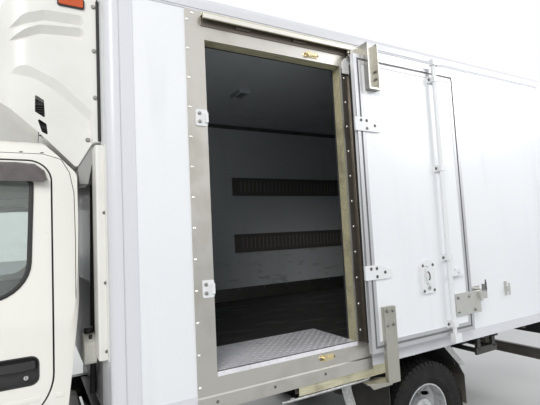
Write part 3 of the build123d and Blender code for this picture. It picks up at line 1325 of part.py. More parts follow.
def door_lock_rod():
    """The lock rod with its four guides and the cams at both ends."""
    x, y = door_x(ROD_ALONG), SIDE_DOOR_OUTER_Y + SIDE_ROD_OUT
    face = SIDE_DOOR_OUTER_Y - EDGING_PROUD
    low, high = SIDE_DOOR_BOTTOM_Z - ROD_ENDS[0], SIDE_DOOR_TOP_Z + ROD_ENDS[1]
    rod = rod_z(x, y, low, high, SIDE_ROD_RADIUS)
    half, tall, bridge = ROD_GUIDE_HALF_LENGTH, ROD_GUIDE_HALF_HEIGHT, ROD_BRIDGE_HALF_LENGTH
    bridge_y = y + SIDE_ROD_RADIUS + ROD_BRIDGE_OVER_ROD
    guides = [SIDE_DOOR_BOTTOM_Z + rise for rise in ROD_GUIDE_RISES]
    for z in guides + [SIDE_DOOR_TOP_Z - ROD_TOP_GUIDE_DROP]:
        rod += block(x - half, x + half, face, SIDE_DOOR_OUTER_Y + ROD_GUIDE_PLATE, z - tall, z + tall)
        rod += block(x - bridge, x + bridge, face, bridge_y, z - tall + 6, z + tall - 6)
    rear, front = CAM_ALONG
    for z0, z1 in ((low - 2, low + 56), (high - 40, high + 2)):
        rod += block(x - rear, x + front, y - CAM_HALF_DEPTH, y + CAM_HALF_DEPTH, z0, z1)
    grip_z = SIDE_DOOR_BOTTOM_Z + HANDLE_RISES[0] + ROD_LEVER_RISE
    rod += block(x - ROD_LEVER_LENGTH, x, y + 2, y + 14, grip_z - 14, grip_z + 14)
    return rod


def handle_plate():
    """The round-topped plate with the handle's pocket."""
    face, outer = SIDE_DOOR_OUTER_Y - EDGING_PROUD, SIDE_DOOR_OUTER_Y + HANDLE_THICKNESS
    front, rear = door_x(HANDLE_ALONG[0]), door_x(HANDLE_ALONG[1])
    low, high = (SIDE_DOOR_BOTTOM_Z + rise for rise in HANDLE_RISES)
    plate = side_prism(outline([(rear, low, 20), (rear, high, 50), (front, high, 50), (front, low, 20)]),
                       face, outer)
    pocket_front, pocket_rear = (front - along for along in HANDLE_POCKET_ALONG)
    pocket_low, pocket_high = low + HANDLE_POCKET_MARGINS[0], high - HANDLE_POCKET_MARGINS[1]
    pocket = outline([(pocket_rear, pocket_low, 18), (pocket_rear, pocket_high, 18),
                      (pocket_front, pocket_high, 18), (pocket_front, pocket_low, 18)])
    return plate - side_prism(pocket, outer - HANDLE_POCKET_DEPTH, outer + 1)


def holder_plate():
    """The plate past the door's rear edge, with the latch that holds the open door."""
    face, outer = SIDE_DOOR_OUTER_Y - EDGING_PROUD, SIDE_DOOR_OUTER_Y
    low, high = (SIDE_DOOR_BOTTOM_Z + rise for rise in HOLDER_RISES)
    rear = door_x(HOLDER_ALONG[1])
    holder = block(rear, door_x(HOLDER_ALONG[0]), face, outer + HOLDER_THICKNESS, low, high)
    for x0, x1, rise in ((rear - 40, rear + 24, -6), (rear - 56, rear - 36, 40)):
        holder += block(x0, x1, outer - 2, outer + LATCH_REACH, high - 62, high + rise)
    return holder


def small_rest():
    """The small ledge and pin beside the lock rod."""
    face, outer = SIDE_DOOR_OUTER_Y - EDGING_PROUD, SIDE_DOOR_OUTER_Y
    ledge_front, plate_front, pin_x, plate_rear, ledge_rear = (door_x(along) for along in REST_ALONG)
    z = SIDE_DOOR_BOTTOM_Z + REST_RISE
    rest = block(ledge_rear, ledge_front, face, outer + 30, z - 22, z - 14)
    rest += block(plate_rear, plate_front, face, outer + 8, z - 24, z + 26)
    return rest + rod_y(pin_x, face, outer + 24, z + 6, 13)


def wall_fittings():
    """The striker behind the open door, and the hook on the wall that the latch drops into."""
    z = SIDE_DOOR_BOTTOM_Z + WALL_FITTINGS_RISE
    wall = BOX_HALF_WIDTH
    striker_x = BOX_FRONT_X - SIDE_DOOR_REAR - STRIKER_BEHIND_DOOR
    striker = block(striker_x - 55, striker_x + 45, wall, wall + 8, z - 60, z + 60)
    striker += block(striker_x - 12, striker_x + 12, wall, wall + STRIKER_OUT, z - 44, z + 44)
    hook_x = BOX_FRONT_X - SIDE_DOOR_REAR - WALL_HOOK_BEHIND_DOOR
    hook = block(hook_x - 14, hook_x + 14, wall, wall + 7, z - 52, z + 58)
    hook += block(hook_x - 5, hook_x + 5, wall, wall + WALL_HOOK_OUT, z - 20, z + 20)
    hook += rod_z(hook_x, wall + WALL_HOOK_OUT - 6, z - 46, z + 46, 7)
    return [striker, hook]


def side_door_fittings():
    """Everything screwed to the side door, and what it meets on the frame and the wall."""
    door = side_door()
    on_door = [hanger(), lower_arm(), door_lock_rod(), handle_plate(), holder_plate(), small_rest()]
    on_door += [door_hook(SIDE_DOOR_BOTTOM_Z + rise) for rise in HOOK_RISES]
    trimmed = [piece - door for piece in on_door]
    return together(trimmed + doorway_keepers() + wall_fittings())


# Inside the box
LASHING_RISES = (606, 1229)
LASHING_HEIGHT = 200
LASHING_THICKNESS = 12
LASHING_LIP = 24
LASHING_HOLLOW = 6
LASHING_FRONT_X = BOX_FRONT_X - 1600
LASHING_REAR_X = REAR_FRAME_X + 40


def lashing_rails():
    """Boards along both walls, hollowed between their upper and lower lips."""
    made = []
    for rise in LASHING_RISES:
        low, high = FLOOR_TOP_Z + rise - LASHING_HEIGHT / 2, FLOOR_TOP_Z + rise + LASHING_HEIGHT / 2
        for side in SIDES:
            inner = BOX_INNER_Y - LASHING_THICKNESS
            board = block(LASHING_REAR_X, LASHING_FRONT_X, inner, BOX_INNER_Y, low, high)
            board -= block(LASHING_REAR_X - 1, LASHING_FRONT_X + 1, inner - 1, inner + LASHING_HOLLOW,
                           low + LASHING_LIP, high - LASHING_LIP)
            made.append(on_side(board, side))
    return together(made)


EVAPORATOR_LENGTH = 480
EVAPORATOR_HALF_WIDTH = 560
EVAPORATOR_DEEP = 356
EVAPORATOR_SHALLOW = 156


def evaporator():
    front = BOX_FRONT_X - WALL
    rear = front - EVAPORATOR_LENGTH
    case = outline([(front, CEILING_Z - EVAPORATOR_DEEP, 0), (front, CEILING_Z, 0),
                    (rear, CEILING_Z, 0), (rear, CEILING_Z - EVAPORATOR_SHALLOW, 60)])
    return side_prism(case, -EVAPORATOR_HALF_WIDTH, EVAPORATOR_HALF_WIDTH)


# Refrigeration unit over the cab, and the duct below it
UNIT_HALF_WIDTH = 900
UNIT_TOP_Z = CAB_ROOF_Z + 770
LOUVRE_DEPTH = 28
LOWER_SIDE_DEPTH = 24
VENT_DEPTH = 60

# Rows of (ahead of the box front, below the unit's top, corner radius)
COVER_SIDE = ((0, 802, 0), (38, 802, 20), (113, 934, 12), (280, 763, 60), (436, 625, 90),
              (525, 538, 60), (575, 308, 160), (355, 43, 200), (0, 23, 0))
UPPER_LOUVRE = ((73, 137, 25), (248, 141, 60), (355, 186, 60), (404, 236, 60), (520, 368, 0),
                (436, 302, 60), (270, 213, 60), (155, 209, 0), (73, 196, 25))
UPPER_LOUVRE_FLOOR = ((81, 184, 4), (248, 190, 60), (340, 228, 60), (392, 258, 60), (505, 352, 0),
                      (436, 304, 60), (270, 214, 60), (155, 210, 0), (81, 193, 4))
LOWER_LOUVRE = ((73, 202, 25), (270, 223, 80), (425, 308, 60), (545, 418, 0), (404, 340, 60),
                (271, 292, 60), (73, 274, 25))
LOWER_LOUVRE_FLOOR = ((81, 246, 4), (270, 263, 80), (405, 328, 60), (525, 418, 0), (401, 338, 60),
                      (271, 289, 60), (81, 271, 4))
LOWER_SIDE = ((38, 637, 20), (194, 490, 150), (314, 438, 150), (440, 404, 0), (735, 404, 0),
              (735, 1100, 0), (38, 1100, 0))
LOWER_SIDE_FLOOR = ((46, 690, 20), (199, 552, 150), (294, 496, 150), (375, 488, 0), (735, 488, 0),
                    (735, 1100, 0), (46, 1100, 0))
VENTS = (((294, 577, 5), (256, 602, 5), (252, 691, 5), (295, 663, 5)),
         ((286, 694, 5), (246, 720, 5), (240, 776, 5), (266, 761, 5)))
COVER_SEAL = ((20, 790, 0), (60, 800, 0), (107, 925, 0), (100, 1013, 0), (60, 1013, 0))


def cover_outline(rows):
    """A side outline of the cover from rows ahead of the box front and below its top."""
    return outline([(BOX_FRONT_X + ahead, UNIT_TOP_Z - below, radius)
                    for ahead, below, radius in rows])


def side_pocket(mouth, floor, depth):
    """What a sloping pocket removes from both sides, from its mouth in to its smaller floor."""
    outer = Plane.XZ.offset(-UNIT_HALF_WIDTH - 5) * cover_outline(mouth)
    inner = Plane.XZ.offset(-UNIT_HALF_WIDTH + depth) * cover_outline(floor)
    pocket = loft([outer, inner], ruled=True)
    return [pocket, mirrored(pocket)]


def refrigeration_cover():
    """The moulded cover: two sloping louvres, a creased lower side and two vents on each side."""
    half = UNIT_HALF_WIDTH
    ahead = [(BOX_FRONT_X, half, 0), (BOX_FRONT_X + 385, half, 140), (BOX_FRONT_X + 575, 660, 160)]
    other = [(along, -across, radius) for along, across, radius in reversed(ahead)]
    plan = outline(ahead + other)
    cover = side_prism(cover_outline(COVER_SIDE), -1000, 1000) & plan_prism(plan, 1900, 3200)
    cuts = side_pocket(UPPER_LOUVRE, UPPER_LOUVRE_FLOOR, LOUVRE_DEPTH)
    cuts += side_pocket(LOWER_LOUVRE, LOWER_LOUVRE_FLOOR, LOUVRE_DEPTH)
    cuts += side_pocket(LOWER_SIDE, LOWER_SIDE_FLOOR, LOWER_SIDE_DEPTH)
    for rows in VENTS:
        vent = side_prism(cover_outline(rows), half - VENT_DEPTH, half + 1)
        cuts += [vent, mirrored(vent)]
    for cut in cuts:
        cover -= cut
    seal = side_prism(cover_outline(COVER_SEAL), half - 200, half - 32)
    return cover + seal + mirrored(seal)


DUCT_HALF_Y = (840, 1000)
DUCT_REACH = 40
DUCT_FLANGE = (3, 40)
DUCT_CHANNEL_OFF = (70, 40)
DUCT_CHANNEL_REACH = 28
DUCT_Z = (BOX_BOTTOM_Z + 300, UNIT_TOP_Z - 838)


def duct_cover():
    """The folded cover of the pipes down the box's front wall, and the channel beside it."""
    y0, y1 = DUCT_HALF_Y
    cover = block(BOX_FRONT_X, BOX_FRONT_X + DUCT_REACH, y0, y1, *DUCT_Z)
    cover = fillet(cover.edges().filter_by(Axis.Z).sort_by(Axis.X)[-2:], 12)
    sheet, width = DUCT_FLANGE
    cover += block(BOX_FRONT_X, BOX_FRONT_X + sheet, y1 - 1, y1 + width, *DUCT_Z)
    far, near = DUCT_CHANNEL_OFF
    channel = block(BOX_FRONT_X, BOX_FRONT_X + DUCT_CHANNEL_REACH, y0 - far, y0 - near, *DUCT_Z)
    return [cover, channel]


# Rear mudguards, bumper and lamps
GUARD_STEEL = 5
GUARD_INNER_Y = REAR_INNER_Y - 108
GUARD_OUTER_Y = REAR_OUTER_Y + 110
GUARD_BOTTOM_Z = 350
GUARD_TOP_Z = BOX_BOTTOM_Z - 22

# Rows of (ahead of the rear axle, height, corner radius)
GUARD_OUTLINE = ((390, GUARD_BOTTOM_Z - 10, 0), (390, 640, 40), (280, GUARD_TOP_Z, 60),
                 (-175, GUARD_TOP_Z, 60), (-314, 678, 40), (-388, 560, 40),
                 (-388, GUARD_BOTTOM_Z - 10, 0))
STAY_WIDTH = 60
STAY_SHEET = 6


def mudguards():
    """Folded guards over the rear wheels, with a stay at each end."""
    made = []
    rows = [(REAR_AXLE_X + ahead, z, radius) for ahead, z, radius in GUARD_OUTLINE]
    shell = outline(rows) - outline(rows, GUARD_STEEL)
    guard = side_prism(shell, GUARD_INNER_Y, GUARD_OUTER_Y)
    guard -= block(REAR_AXLE_X - 500, REAR_AXLE_X + 500, 0, 1200, 0, GUARD_BOTTOM_Z)
    front_x, rear_x = REAR_AXLE_X + GUARD_OUTLINE[0][0], REAR_AXLE_X + GUARD_OUTLINE[4][0]
    guard += block(front_x - 2, front_x + 8, GUARD_INNER_Y, GUARD_INNER_Y + STAY_WIDTH,
                   GUARD_BOTTOM_Z + 30, BEARER_BOTTOM_Z)
    stay = outline([(rear_x - 2, 640, 0), (rear_x + 38, 724, 0), (rear_x + 80, FLOOR_BOTTOM_Z, 0),
                    (rear_x + 50, FLOOR_BOTTOM_Z, 0), (rear_x - 40, 655, 0)])
    guard += side_prism(stay, GUARD_OUTER_Y - 30, GUARD_OUTER_Y - 30 + STAY_SHEET)
    for side in SIDES:
        made.append(on_side(guard, side))
    return together(made)


REAR_BUMPER_DEPTH = 60
REAR_BUMPER_HALF_WIDTH = 960
REAR_BUMPER_Z = (400, 500)
REAR_BUMPER_EDGE = 15
TAIL_LAMP_X = (-2800, -2750)
TAIL_LAMP_Y = (640, 980)
TAIL_LAMP_Z = (650, 770)
TAIL_LAMP_ARM_Y = (780, 840)


def rear_bumper():
    low, high = REAR_BUMPER_Z
    bar = block(RAIL_REAR_X - REAR_BUMPER_DEPTH, RAIL_REAR_X, -REAR_BUMPER_HALF_WIDTH,
                REAR_BUMPER_HALF_WIDTH, low, high)
    bar = fillet(bar.edges().filter_by(Axis.Y), REAR_BUMPER_EDGE)
    inner, outer = RAIL_OUTER_Y - RAIL_FLANGE, RAIL_OUTER_Y
    for sign in (1, -1):
        bar += block(RAIL_REAR_X - 40, RAIL_REAR_X, sign * inner, sign * outer, high - 30, high + 140)
        bar += block(RAIL_REAR_X - 5, RAIL_REAR_X, sign * inner, sign * outer, high - 30,
                     RAIL_TOP_Z - 22)
    return bar


def tail_lamps():
    made = []
    front = TAIL_LAMP_X[1]
    for side in SIDES:
        lamp = block(*TAIL_LAMP_X, *TAIL_LAMP_Y, *TAIL_LAMP_Z)
        lamp = fillet(lamp.edges().filter_by(Axis.X), 15)
        lamp += block(front - 30, front - 10, *TAIL_LAMP_ARM_Y, TAIL_LAMP_Z[1] - 10, REAR_SILL_BOTTOM_Z)
        made.append(on_side(lamp, side))
    return together(made)


def save_everything():
    frame = chassis_frame()
    for plate in tilt_brackets():
        frame += plate
    save(frame, "frame_rails")
    save(body_sills(), "body_sills")
    save(floor_bearers(), "floor_bearers")
    save(tow_eyes(), "tow_eyes")
    save(together([front_beam(), rear_housing() + propeller_shaft()]), "axles")
    save(leaf_springs(), "leaf_springs")
    save(engine_block(), "engine_block")
    save(fuel_tank(), "fuel_tank")
    save(battery_box(), "battery_box")
    save(exhaust(), "exhaust")
    save(front_bumper(), "front_bumper")
    for side in SIDES:
        save(knuckle(side), f"knuckle_{side}")
        save(front_rim(side), f"front_rim_{side}")
        save(front_tyre(side), f"front_tyre_{side}")
        save(rear_rims(side), f"rear_rims_{side}")
        save(rear_tyres(side), f"rear_tyres_{side}")
        save(cab_door(side), f"cab_door_{side}")
        save(door_glass(side), f"door_glass_{side}")
        save(side_wall_panels(side), f"box_wall_{side}")
        save(rear_door(side), f"rear_door_{side}")
        save(rear_lock(side), f"rear_lock_{side}")
    save(cab_shell(), "cab_shell")
    save(cab_front_panel(), "cab_front_panel")
    save(head_lamps(), "head_lamps")
    save(cab_windows(), "cab_windows")
    save(cab_floor(), "cab_floor")
    save(dashboard(), "dashboard")
    save(steering_wheel(), "steering_wheel")
    save(seats(), "seats")
    save(mirrors(), "mirrors")
    save(box_floor(), "box_floor")
    save(box_front_wall(), "box_front_wall")
    save(box_roof(), "box_roof")
    save(box_edge_rails(), "box_edge_rails")
    save(side_frame(), "side_frame")
    save(rear_frame(), "rear_frame")
    save(side_door(), "side_door")
    save(side_rails(), "side_rails")
    save(side_door_fittings(), "side_door_fittings")
    save(lashing_rails(), "lashing_rails")
    save(evaporator(), "evaporator")
    save(together([refrigeration_cover()] + duct_cover()), "refrigeration_covers")
    save(mudguards(), "mudguards")
    save(rear_bumper(), "rear_bumper")
    save(tail_lamps(), "tail_lamps")


save_everything()
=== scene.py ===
import math

import bmesh
import bpy
from mathutils import Matrix, Vector
from mathutils.bvhtree import BVHTree


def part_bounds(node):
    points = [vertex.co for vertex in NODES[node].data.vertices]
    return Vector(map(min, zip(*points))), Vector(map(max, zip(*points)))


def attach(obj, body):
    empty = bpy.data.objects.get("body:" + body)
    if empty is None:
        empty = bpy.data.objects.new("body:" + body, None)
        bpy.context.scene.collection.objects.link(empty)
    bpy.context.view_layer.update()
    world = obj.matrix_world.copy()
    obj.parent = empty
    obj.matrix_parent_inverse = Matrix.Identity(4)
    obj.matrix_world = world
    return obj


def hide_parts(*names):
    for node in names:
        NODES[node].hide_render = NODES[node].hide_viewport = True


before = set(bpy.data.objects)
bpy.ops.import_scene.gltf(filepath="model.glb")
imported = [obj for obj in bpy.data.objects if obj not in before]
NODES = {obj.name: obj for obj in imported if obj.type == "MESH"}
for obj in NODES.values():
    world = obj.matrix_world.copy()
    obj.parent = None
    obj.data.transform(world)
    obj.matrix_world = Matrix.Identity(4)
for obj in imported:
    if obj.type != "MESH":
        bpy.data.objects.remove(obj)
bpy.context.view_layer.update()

# Lengths are in metres. +X is forward, +Y is the truck's left, +Z is up.

# Shader maths: a reading is a value that changes over a surface


class Reading:
    """One socket of a finish; sums on it add Math nodes."""

    def __init__(self, finish, socket):
        self.finish = finish
        self.socket = socket

    def combine(self, operation, *values):
        return self.finish.node("ShaderNodeMath", {"operation": operation}, values)

    def __add__(self, other):
        return self.combine("ADD", self, other)

    __radd__ = __add__

    def __sub__(self, other):
        return self.combine("SUBTRACT", self, other)

    def __rsub__(self, other):
        return self.combine("SUBTRACT", other, self)

    def __mul__(self, other):
        return self.combine("MULTIPLY", self, other)

    __rmul__ = __mul__

    def __truediv__(self, other):
        return self.combine("DIVIDE", self, other)

    def __pow__(self, other):
        return self.combine("POWER", self, other)

    def rising(self, low, high):
        """0 below low, 1 above high, smooth between them."""
        settings = {"interpolation_type": "SMOOTHSTEP"}
        return self.finish.node("ShaderNodeMapRange", settings,
                                {"Value": self, "From Min": low, "From Max": high})


class Finish:
    """A material of the truck, built node by node on one Principled shader."""

    def __init__(self, name, roughness=0.4, metallic=0.0, **plain):
        self.material = bpy.data.materials.new(name)
        self.material.use_nodes = True
        self.tree = self.material.node_tree
        self.tree.nodes.clear()
        out = self.tree.nodes.new("ShaderNodeOutputMaterial")
        self.shader = self.tree.nodes.new("ShaderNodeBsdfPrincipled")
        self.tree.links.new(self.shader.outputs[0], out.inputs["Surface"])
        self.shader.inputs["Roughness"].default_value = roughness
        self.shader.inputs["Metallic"].default_value = metallic
        for socket, value in plain.items():
            self.shader.inputs[socket.replace("_", " ")].default_value = value
        self.place = self.node("ShaderNodeTexCoord", out="Object")

    def node(self, kind, settings=None, values=(), out=0):
        """Adds a node: its settings first, then the values or links of its sockets."""
        made = self.tree.nodes.new(kind)
        for name, value in (settings or {}).items():
            if name == "stops":
                for number, (at, colour) in enumerate(value):
                    if number > 1:
                        made.color_ramp.elements.new(at)
                    made.color_ramp.elements[number].position = at
                    made.color_ramp.elements[number].color = (*colour, 1)
            else:
                setattr(made, name, value)
        pairs = values.items() if isinstance(values, dict) else enumerate(values)
        for key, value in pairs:
            if isinstance(value, Reading):
                self.tree.links.new(value.socket, made.inputs[key])
            else:
                made.inputs[key].default_value = value
        return Reading(self, made.outputs[out])

    def axes(self):
        """The place along the truck, across it and up."""
        split = self.node("ShaderNodeSeparateXYZ", values=[self.place])
        return [Reading(self, output) for output in split.socket.node.outputs]

    def stretched(self, across):
        """The place, scaled along, across and up."""
        return self.node("ShaderNodeMapping", values={"Vector": self.place, "Scale": across})

    def noise(self, scale, detail=2.0, roughness=0.5, across=None):
        place = self.stretched(across) if across else self.place
        return self.node("ShaderNodeTexNoise", values={
            "Vector": place, "Scale": scale, "Detail": detail, "Roughness": roughness})

    def cells(self, scale, feature="F1", across=None, out="Distance"):
        place = self.stretched(across) if across else self.place
        return self.node("ShaderNodeTexVoronoi", {"feature": feature},
                         {"Vector": place, "Scale": scale}, out=out)

    def mixed(self, under, over, share):
        """Two colours, each a reading or (red, green, blue), mixed by a share."""
        under, over = (c if isinstance(c, Reading) else (*c, 1) for c in (under, over))
        return self.node("ShaderNodeMix", {"data_type": "RGBA"},
                         {0: share, 6: under, 7: over}, out=2)

    def feed(self, socket, reading):
        self.tree.links.new(reading.socket, self.shader.inputs[socket])

    def bumped(self, height, distance, strength=1.0):
        bump = self.node("ShaderNodeBump", values={
            "Strength": strength, "Distance": distance, "Height": height})
        self.feed("Normal", bump)


ROAD_DUST = (0.20, 0.175, 0.14)


def dusted(finish, colour, top, share=0.5):
    """Road dust on a colour, thick at the ground and gone above the given height."""
    up = finish.axes()[2]
    patches = finish.noise(3.5, 4).rising(0.35, 0.75)
    dust = (1 - up.rising(top * 0.25, top)) * (patches * 0.7 + 0.3) * share
    return finish.mixed(colour, ROAD_DUST, dust)


def gloss_paint(name, colour, shade, roughness=0.28, dust_top=0.9, dust=0.35, coat=0.5):
    """Sprayed paint: an even colour with faint shading, orange peel and dust low down."""
    finish = Finish(name, Coat_Weight=coat, Coat_Roughness=0.08)
    soft = finish.noise(1.6, 3).rising(0.2, 0.9)
    colour = finish.mixed(colour, shade, soft * 0.3)
    finish.feed("Base Color", dusted(finish, colour, dust_top, dust))
    finish.feed("Roughness", finish.noise(9, 2) * 0.03 + (roughness - 0.015))
    finish.bumped(finish.noise(260, 2), 0.0004, 0.25)
    return finish.material


def panel_skin(name, colour, shade):
    """A coated sandwich panel: flat, with a faint ripple and rain marks down it."""
    finish = Finish(name, Coat_Weight=0.25, Coat_Roughness=0.15)
    marks = finish.noise(6, 5, across=(1, 1, 0.12)).rising(0.52, 0.8)
    clouds = finish.noise(1.1, 2).rising(0.3, 0.8)
    colour = finish.mixed(colour, shade, clouds * 0.4)
    colour = finish.mixed(colour, tuple(0.8 * part for part in shade), marks * 0.3)
    finish.feed("Base Color", dusted(finish, colour, 1.05, 0.25))
    finish.feed("Roughness", marks * 0.12 + 0.34)
    ripple = finish.noise(2.2, 1) * 2 + finish.noise(420, 2) * 0.06
    finish.bumped(ripple, 0.0016, 0.5)
    return finish.material


def brushed(name, colour, dark, roughness=0.33, upright=None, dust_top=0.0, metallic=1.0):
    """Brushed steel; upright is a pair of heights between which the brushing runs up and down."""
    finish = Finish(name, metallic=metallic)
    along = finish.noise(60, 3, across=(0.12, 9, 9))
    if upright:
        height = finish.axes()[2]
        inside = height.rising(upright[0], upright[0] + 0.01) * (
            1 - height.rising(upright[1] - 0.01, upright[1]))
        up = finish.noise(60, 3, across=(9, 9, 0.12))
        along = along * (1 - inside) + up * inside
    smears = finish.noise(4, 4).rising(0.45, 0.8)
    colour = finish.mixed(colour, dark, smears * 0.55 + along * 0.2)
    if dust_top:
        colour = dusted(finish, colour, dust_top, 0.45)
    finish.feed("Base Color", colour)
    finish.feed("Roughness", along * 0.22 + smears * 0.1 + (roughness - 0.12))
    finish.bumped(along, 0.0003, 0.35)
    return finish.material


def zinc_coated(name, dust_top=0.8):
    """Galvanised steel with its spangle."""
    finish = Finish(name, metallic=0.75)
    spangle = finish.cells(95, out="Color")
    grey = finish.node("ShaderNodeRGBToBW", values=[spangle])
    wear = finish.noise(14, 4).rising(0.45, 0.75)
    colour = finish.mixed((0.36, 0.37, 0.37), (0.60, 0.61, 0.60), grey)
    colour = finish.mixed(colour, (0.25, 0.24, 0.22), wear * 0.4)
    finish.feed("Base Color", dusted(finish, colour, dust_top, 0.4))
    finish.feed("Roughness", grey * 0.18 + wear * 0.1 + 0.32)
    finish.bumped(finish.noise(180, 3), 0.0006, 0.4)
    return finish.material


def bronze_channel(name):
    """Dull bronze anodised channel with rubbed lines along it."""
    finish = Finish(name, metallic=0.45)
    along = finish.noise(70, 3, across=(0.08, 8, 8))
    grime = finish.noise(9, 4).rising(0.46, 0.78)
    colour = finish.mixed((0.44, 0.41, 0.27), (0.70, 0.67, 0.50), along.rising(0.38, 0.62))
    colour = finish.mixed(colour, (0.12, 0.11, 0.085), grime * 0.45)
    finish.feed("Base Color", colour)
    finish.feed("Roughness", along * 0.2 + grime * 0.2 + 0.3)
    finish.bumped(along, 0.0004, 0.4)
    return finish.material


def moulded(name, colour, shade, roughness=0.42, grain=0.0002, grain_scale=900, dust_top=0.0):
    """Moulded plastic with a fine grain."""
    finish = Finish(name)
    clouds = finish.noise(5, 3).rising(0.35, 0.75)
    colour = finish.mixed(colour, shade, clouds * 0.5)
    if dust_top:
        colour = dusted(finish, colour, dust_top, 0.55)
    finish.feed("Base Color", colour)
    finish.feed("Roughness", finish.noise(30, 3) * 0.14 + (roughness - 0.07))
    finish.bumped(finish.noise(grain_scale, 2), grain, 0.6)
    return finish.material


def wiped_liner(name, colour, shade):
    """The hold's lining: a smooth sheet darkened to grey-blue as painted shade of the hold, with scuffs low
    down and faint streaks.
    """
    finish = Finish(name)
    up = finish.axes()[2]
    scuffs = finish.noise(11, 6, 0.65, across=(0.6, 0.6, 1.6)).rising(0.56, 0.66)
    low = 1 - up.rising(1.1, 1.9)
    streaks = finish.noise(5, 4, across=(1, 1, 0.1)).rising(0.5, 0.8)
    colour = finish.mixed(colour, shade, finish.noise(1.3, 3).rising(0.3, 0.8) * 0.6)
    colour = finish.mixed(colour, (0.10, 0.10, 0.10), scuffs * low * 0.4 + streaks * 0.12)
    finish.feed("Base Color", colour)
    finish.feed("Roughness", scuffs * 0.15 + streaks * 0.1 + 0.32)
    finish.bumped(finish.noise(1.9, 1) * 3 + finish.noise(300, 2) * 0.08, 0.0014, 0.5)
    return finish.material


def worn_floor(name):
    """The hold's dark slip-resistant floor, rubbed lighter along the middle."""
    finish = Finish(name)
    grit = finish.cells(340)
    rubs = finish.noise(7, 6, 0.6, across=(0.35, 1.4, 1)).rising(0.5, 0.68)
    colour = finish.mixed((0.022, 0.021, 0.020), (0.060, 0.057, 0.053), rubs * 0.55)
    finish.feed("Base Color", colour)
    finish.feed("Roughness", 0.62 - rubs * 0.2)
    finish.bumped(grit, 0.0006, 0.6)
    return finish.material


def rough_casting(name, colour=(0.10, 0.10, 0.10), metallic=0.4):
    finish = Finish(name, metallic=metallic)
    rust = finish.noise(18, 5).rising(0.5, 0.75)
    colour = finish.mixed(colour, (0.16, 0.085, 0.045), rust * 0.45)
    finish.feed("Base Color", dusted(finish, colour, 0.9, 0.5))
    finish.feed("Roughness", rust * 0.2 + 0.5)
    finish.bumped(finish.noise(160, 4), 0.0012, 0.5)
    return finish.material


def chassis_black(name):
    """Satin black paint, greyed by road dust, with rust at its scratches."""
    finish = Finish(name)
    chips = finish.noise(26, 6, 0.7).rising(0.64, 0.70)
    colour = finish.mixed((0.022, 0.022, 0.024), (0.045, 0.043, 0.04), finish.noise(4, 3))
    colour = finish.mixed(colour, (0.15, 0.07, 0.035), chips * 0.6)
    finish.feed("Base Color", dusted(finish, colour, 0.95, 0.6))
    finish.feed("Roughness", chips * 0.3 + 0.42)
    finish.bumped(finish.noise(130, 3), 0.0007, 0.4)
    return finish.material


def wheel_paint(name):
    finish = Finish(name, metallic=0.55)
    grime = finish.noise(24, 5).rising(0.45, 0.72)
    colour = finish.mixed((0.56, 0.57, 0.58), (0.66, 0.67, 0.68), finish.noise(8, 2))
    colour = finish.mixed(colour, (0.13, 0.11, 0.09), grime * 0.5)
    finish.feed("Base Color", colour)
    finish.feed("Roughness", grime * 0.25 + 0.30)
    finish.bumped(finish.noise(220, 2), 0.0004, 0.3)
    return finish.material


def road_rubber(name):
    finish = Finish(name, Specular_IOR_Level=0.25)
    grime = finish.noise(12, 5).rising(0.4, 0.75)
    colour = finish.mixed((0.008, 0.008, 0.008), (0.032, 0.029, 0.026), grime * 0.5)
    finish.feed("Base Color", colour)
    finish.feed("Roughness", 0.78 - finish.noise(60, 3) * 0.2)
    finish.bumped(finish.noise(420, 3), 0.0006, 0.5)
    return finish.material


def safety_glass(name, tint, roughness=0.02, clear=0.92):
    finish = Finish(name, Transmission_Weight=clear, IOR=1.45)
    haze = finish.noise(9, 4).rising(0.5, 0.9)
    finish.feed("Base Color", finish.mixed(tint, tuple(0.85 * part for part in tint), haze * 0.5))
    finish.feed("Roughness", haze * 0.04 + roughness)
    return finish.material


def woven_cloth(name, thread, gap):
    """Plain weave: two crossed sets of threads at 2.2 mm, with a sparse fleck."""
    finish = Finish(name, Sheen_Weight=0.3)
    x, y, z = finish.axes()
    pitch = 2 * math.pi / 0.0022
    warp = ((x + z) * pitch).combine("SINE", (x + z) * pitch)
    weft = (y * pitch).combine("SINE", y * pitch)
    weave = warp * weft * 0.5 + 0.5
    fleck = finish.noise(240, 3, 0.7).rising(0.55, 0.7)
    # The threads' colour over a darker colour between them: painted shade in the weave's gaps.
    colour = finish.mixed(gap, thread, weave)
    colour = finish.mixed(colour, tuple(1.6 * part for part in thread), fleck * 0.35)
    finish.feed("Base Color", colour)
    finish.feed("Roughness", 0.92 - weave * 0.1)
    finish.bumped(weave + fleck * 0.4, 0.0005, 0.7)
    return finish.material


def lamp_lens(name, colour, clear=0.35, pitch=0.008):
    """A moulded lens with fine ribs."""
    finish = Finish(name, Transmission_Weight=clear, IOR=1.49, Coat_Weight=0.4)
    across = finish.axes()[1] * (2 * math.pi / pitch)
    ribs = across.combine("SINE", across) * 0.5 + 0.5
    clouds = finish.noise(40, 2)
    finish.feed("Base Color", finish.mixed(colour, tuple(0.7 * part for part in colour),
                                           ribs * 0.4 + clouds * 0.2))
    finish.feed("Roughness", clouds * 0.1 + 0.10)
    finish.bumped(ribs, 0.0008, 0.5)
    return finish.material


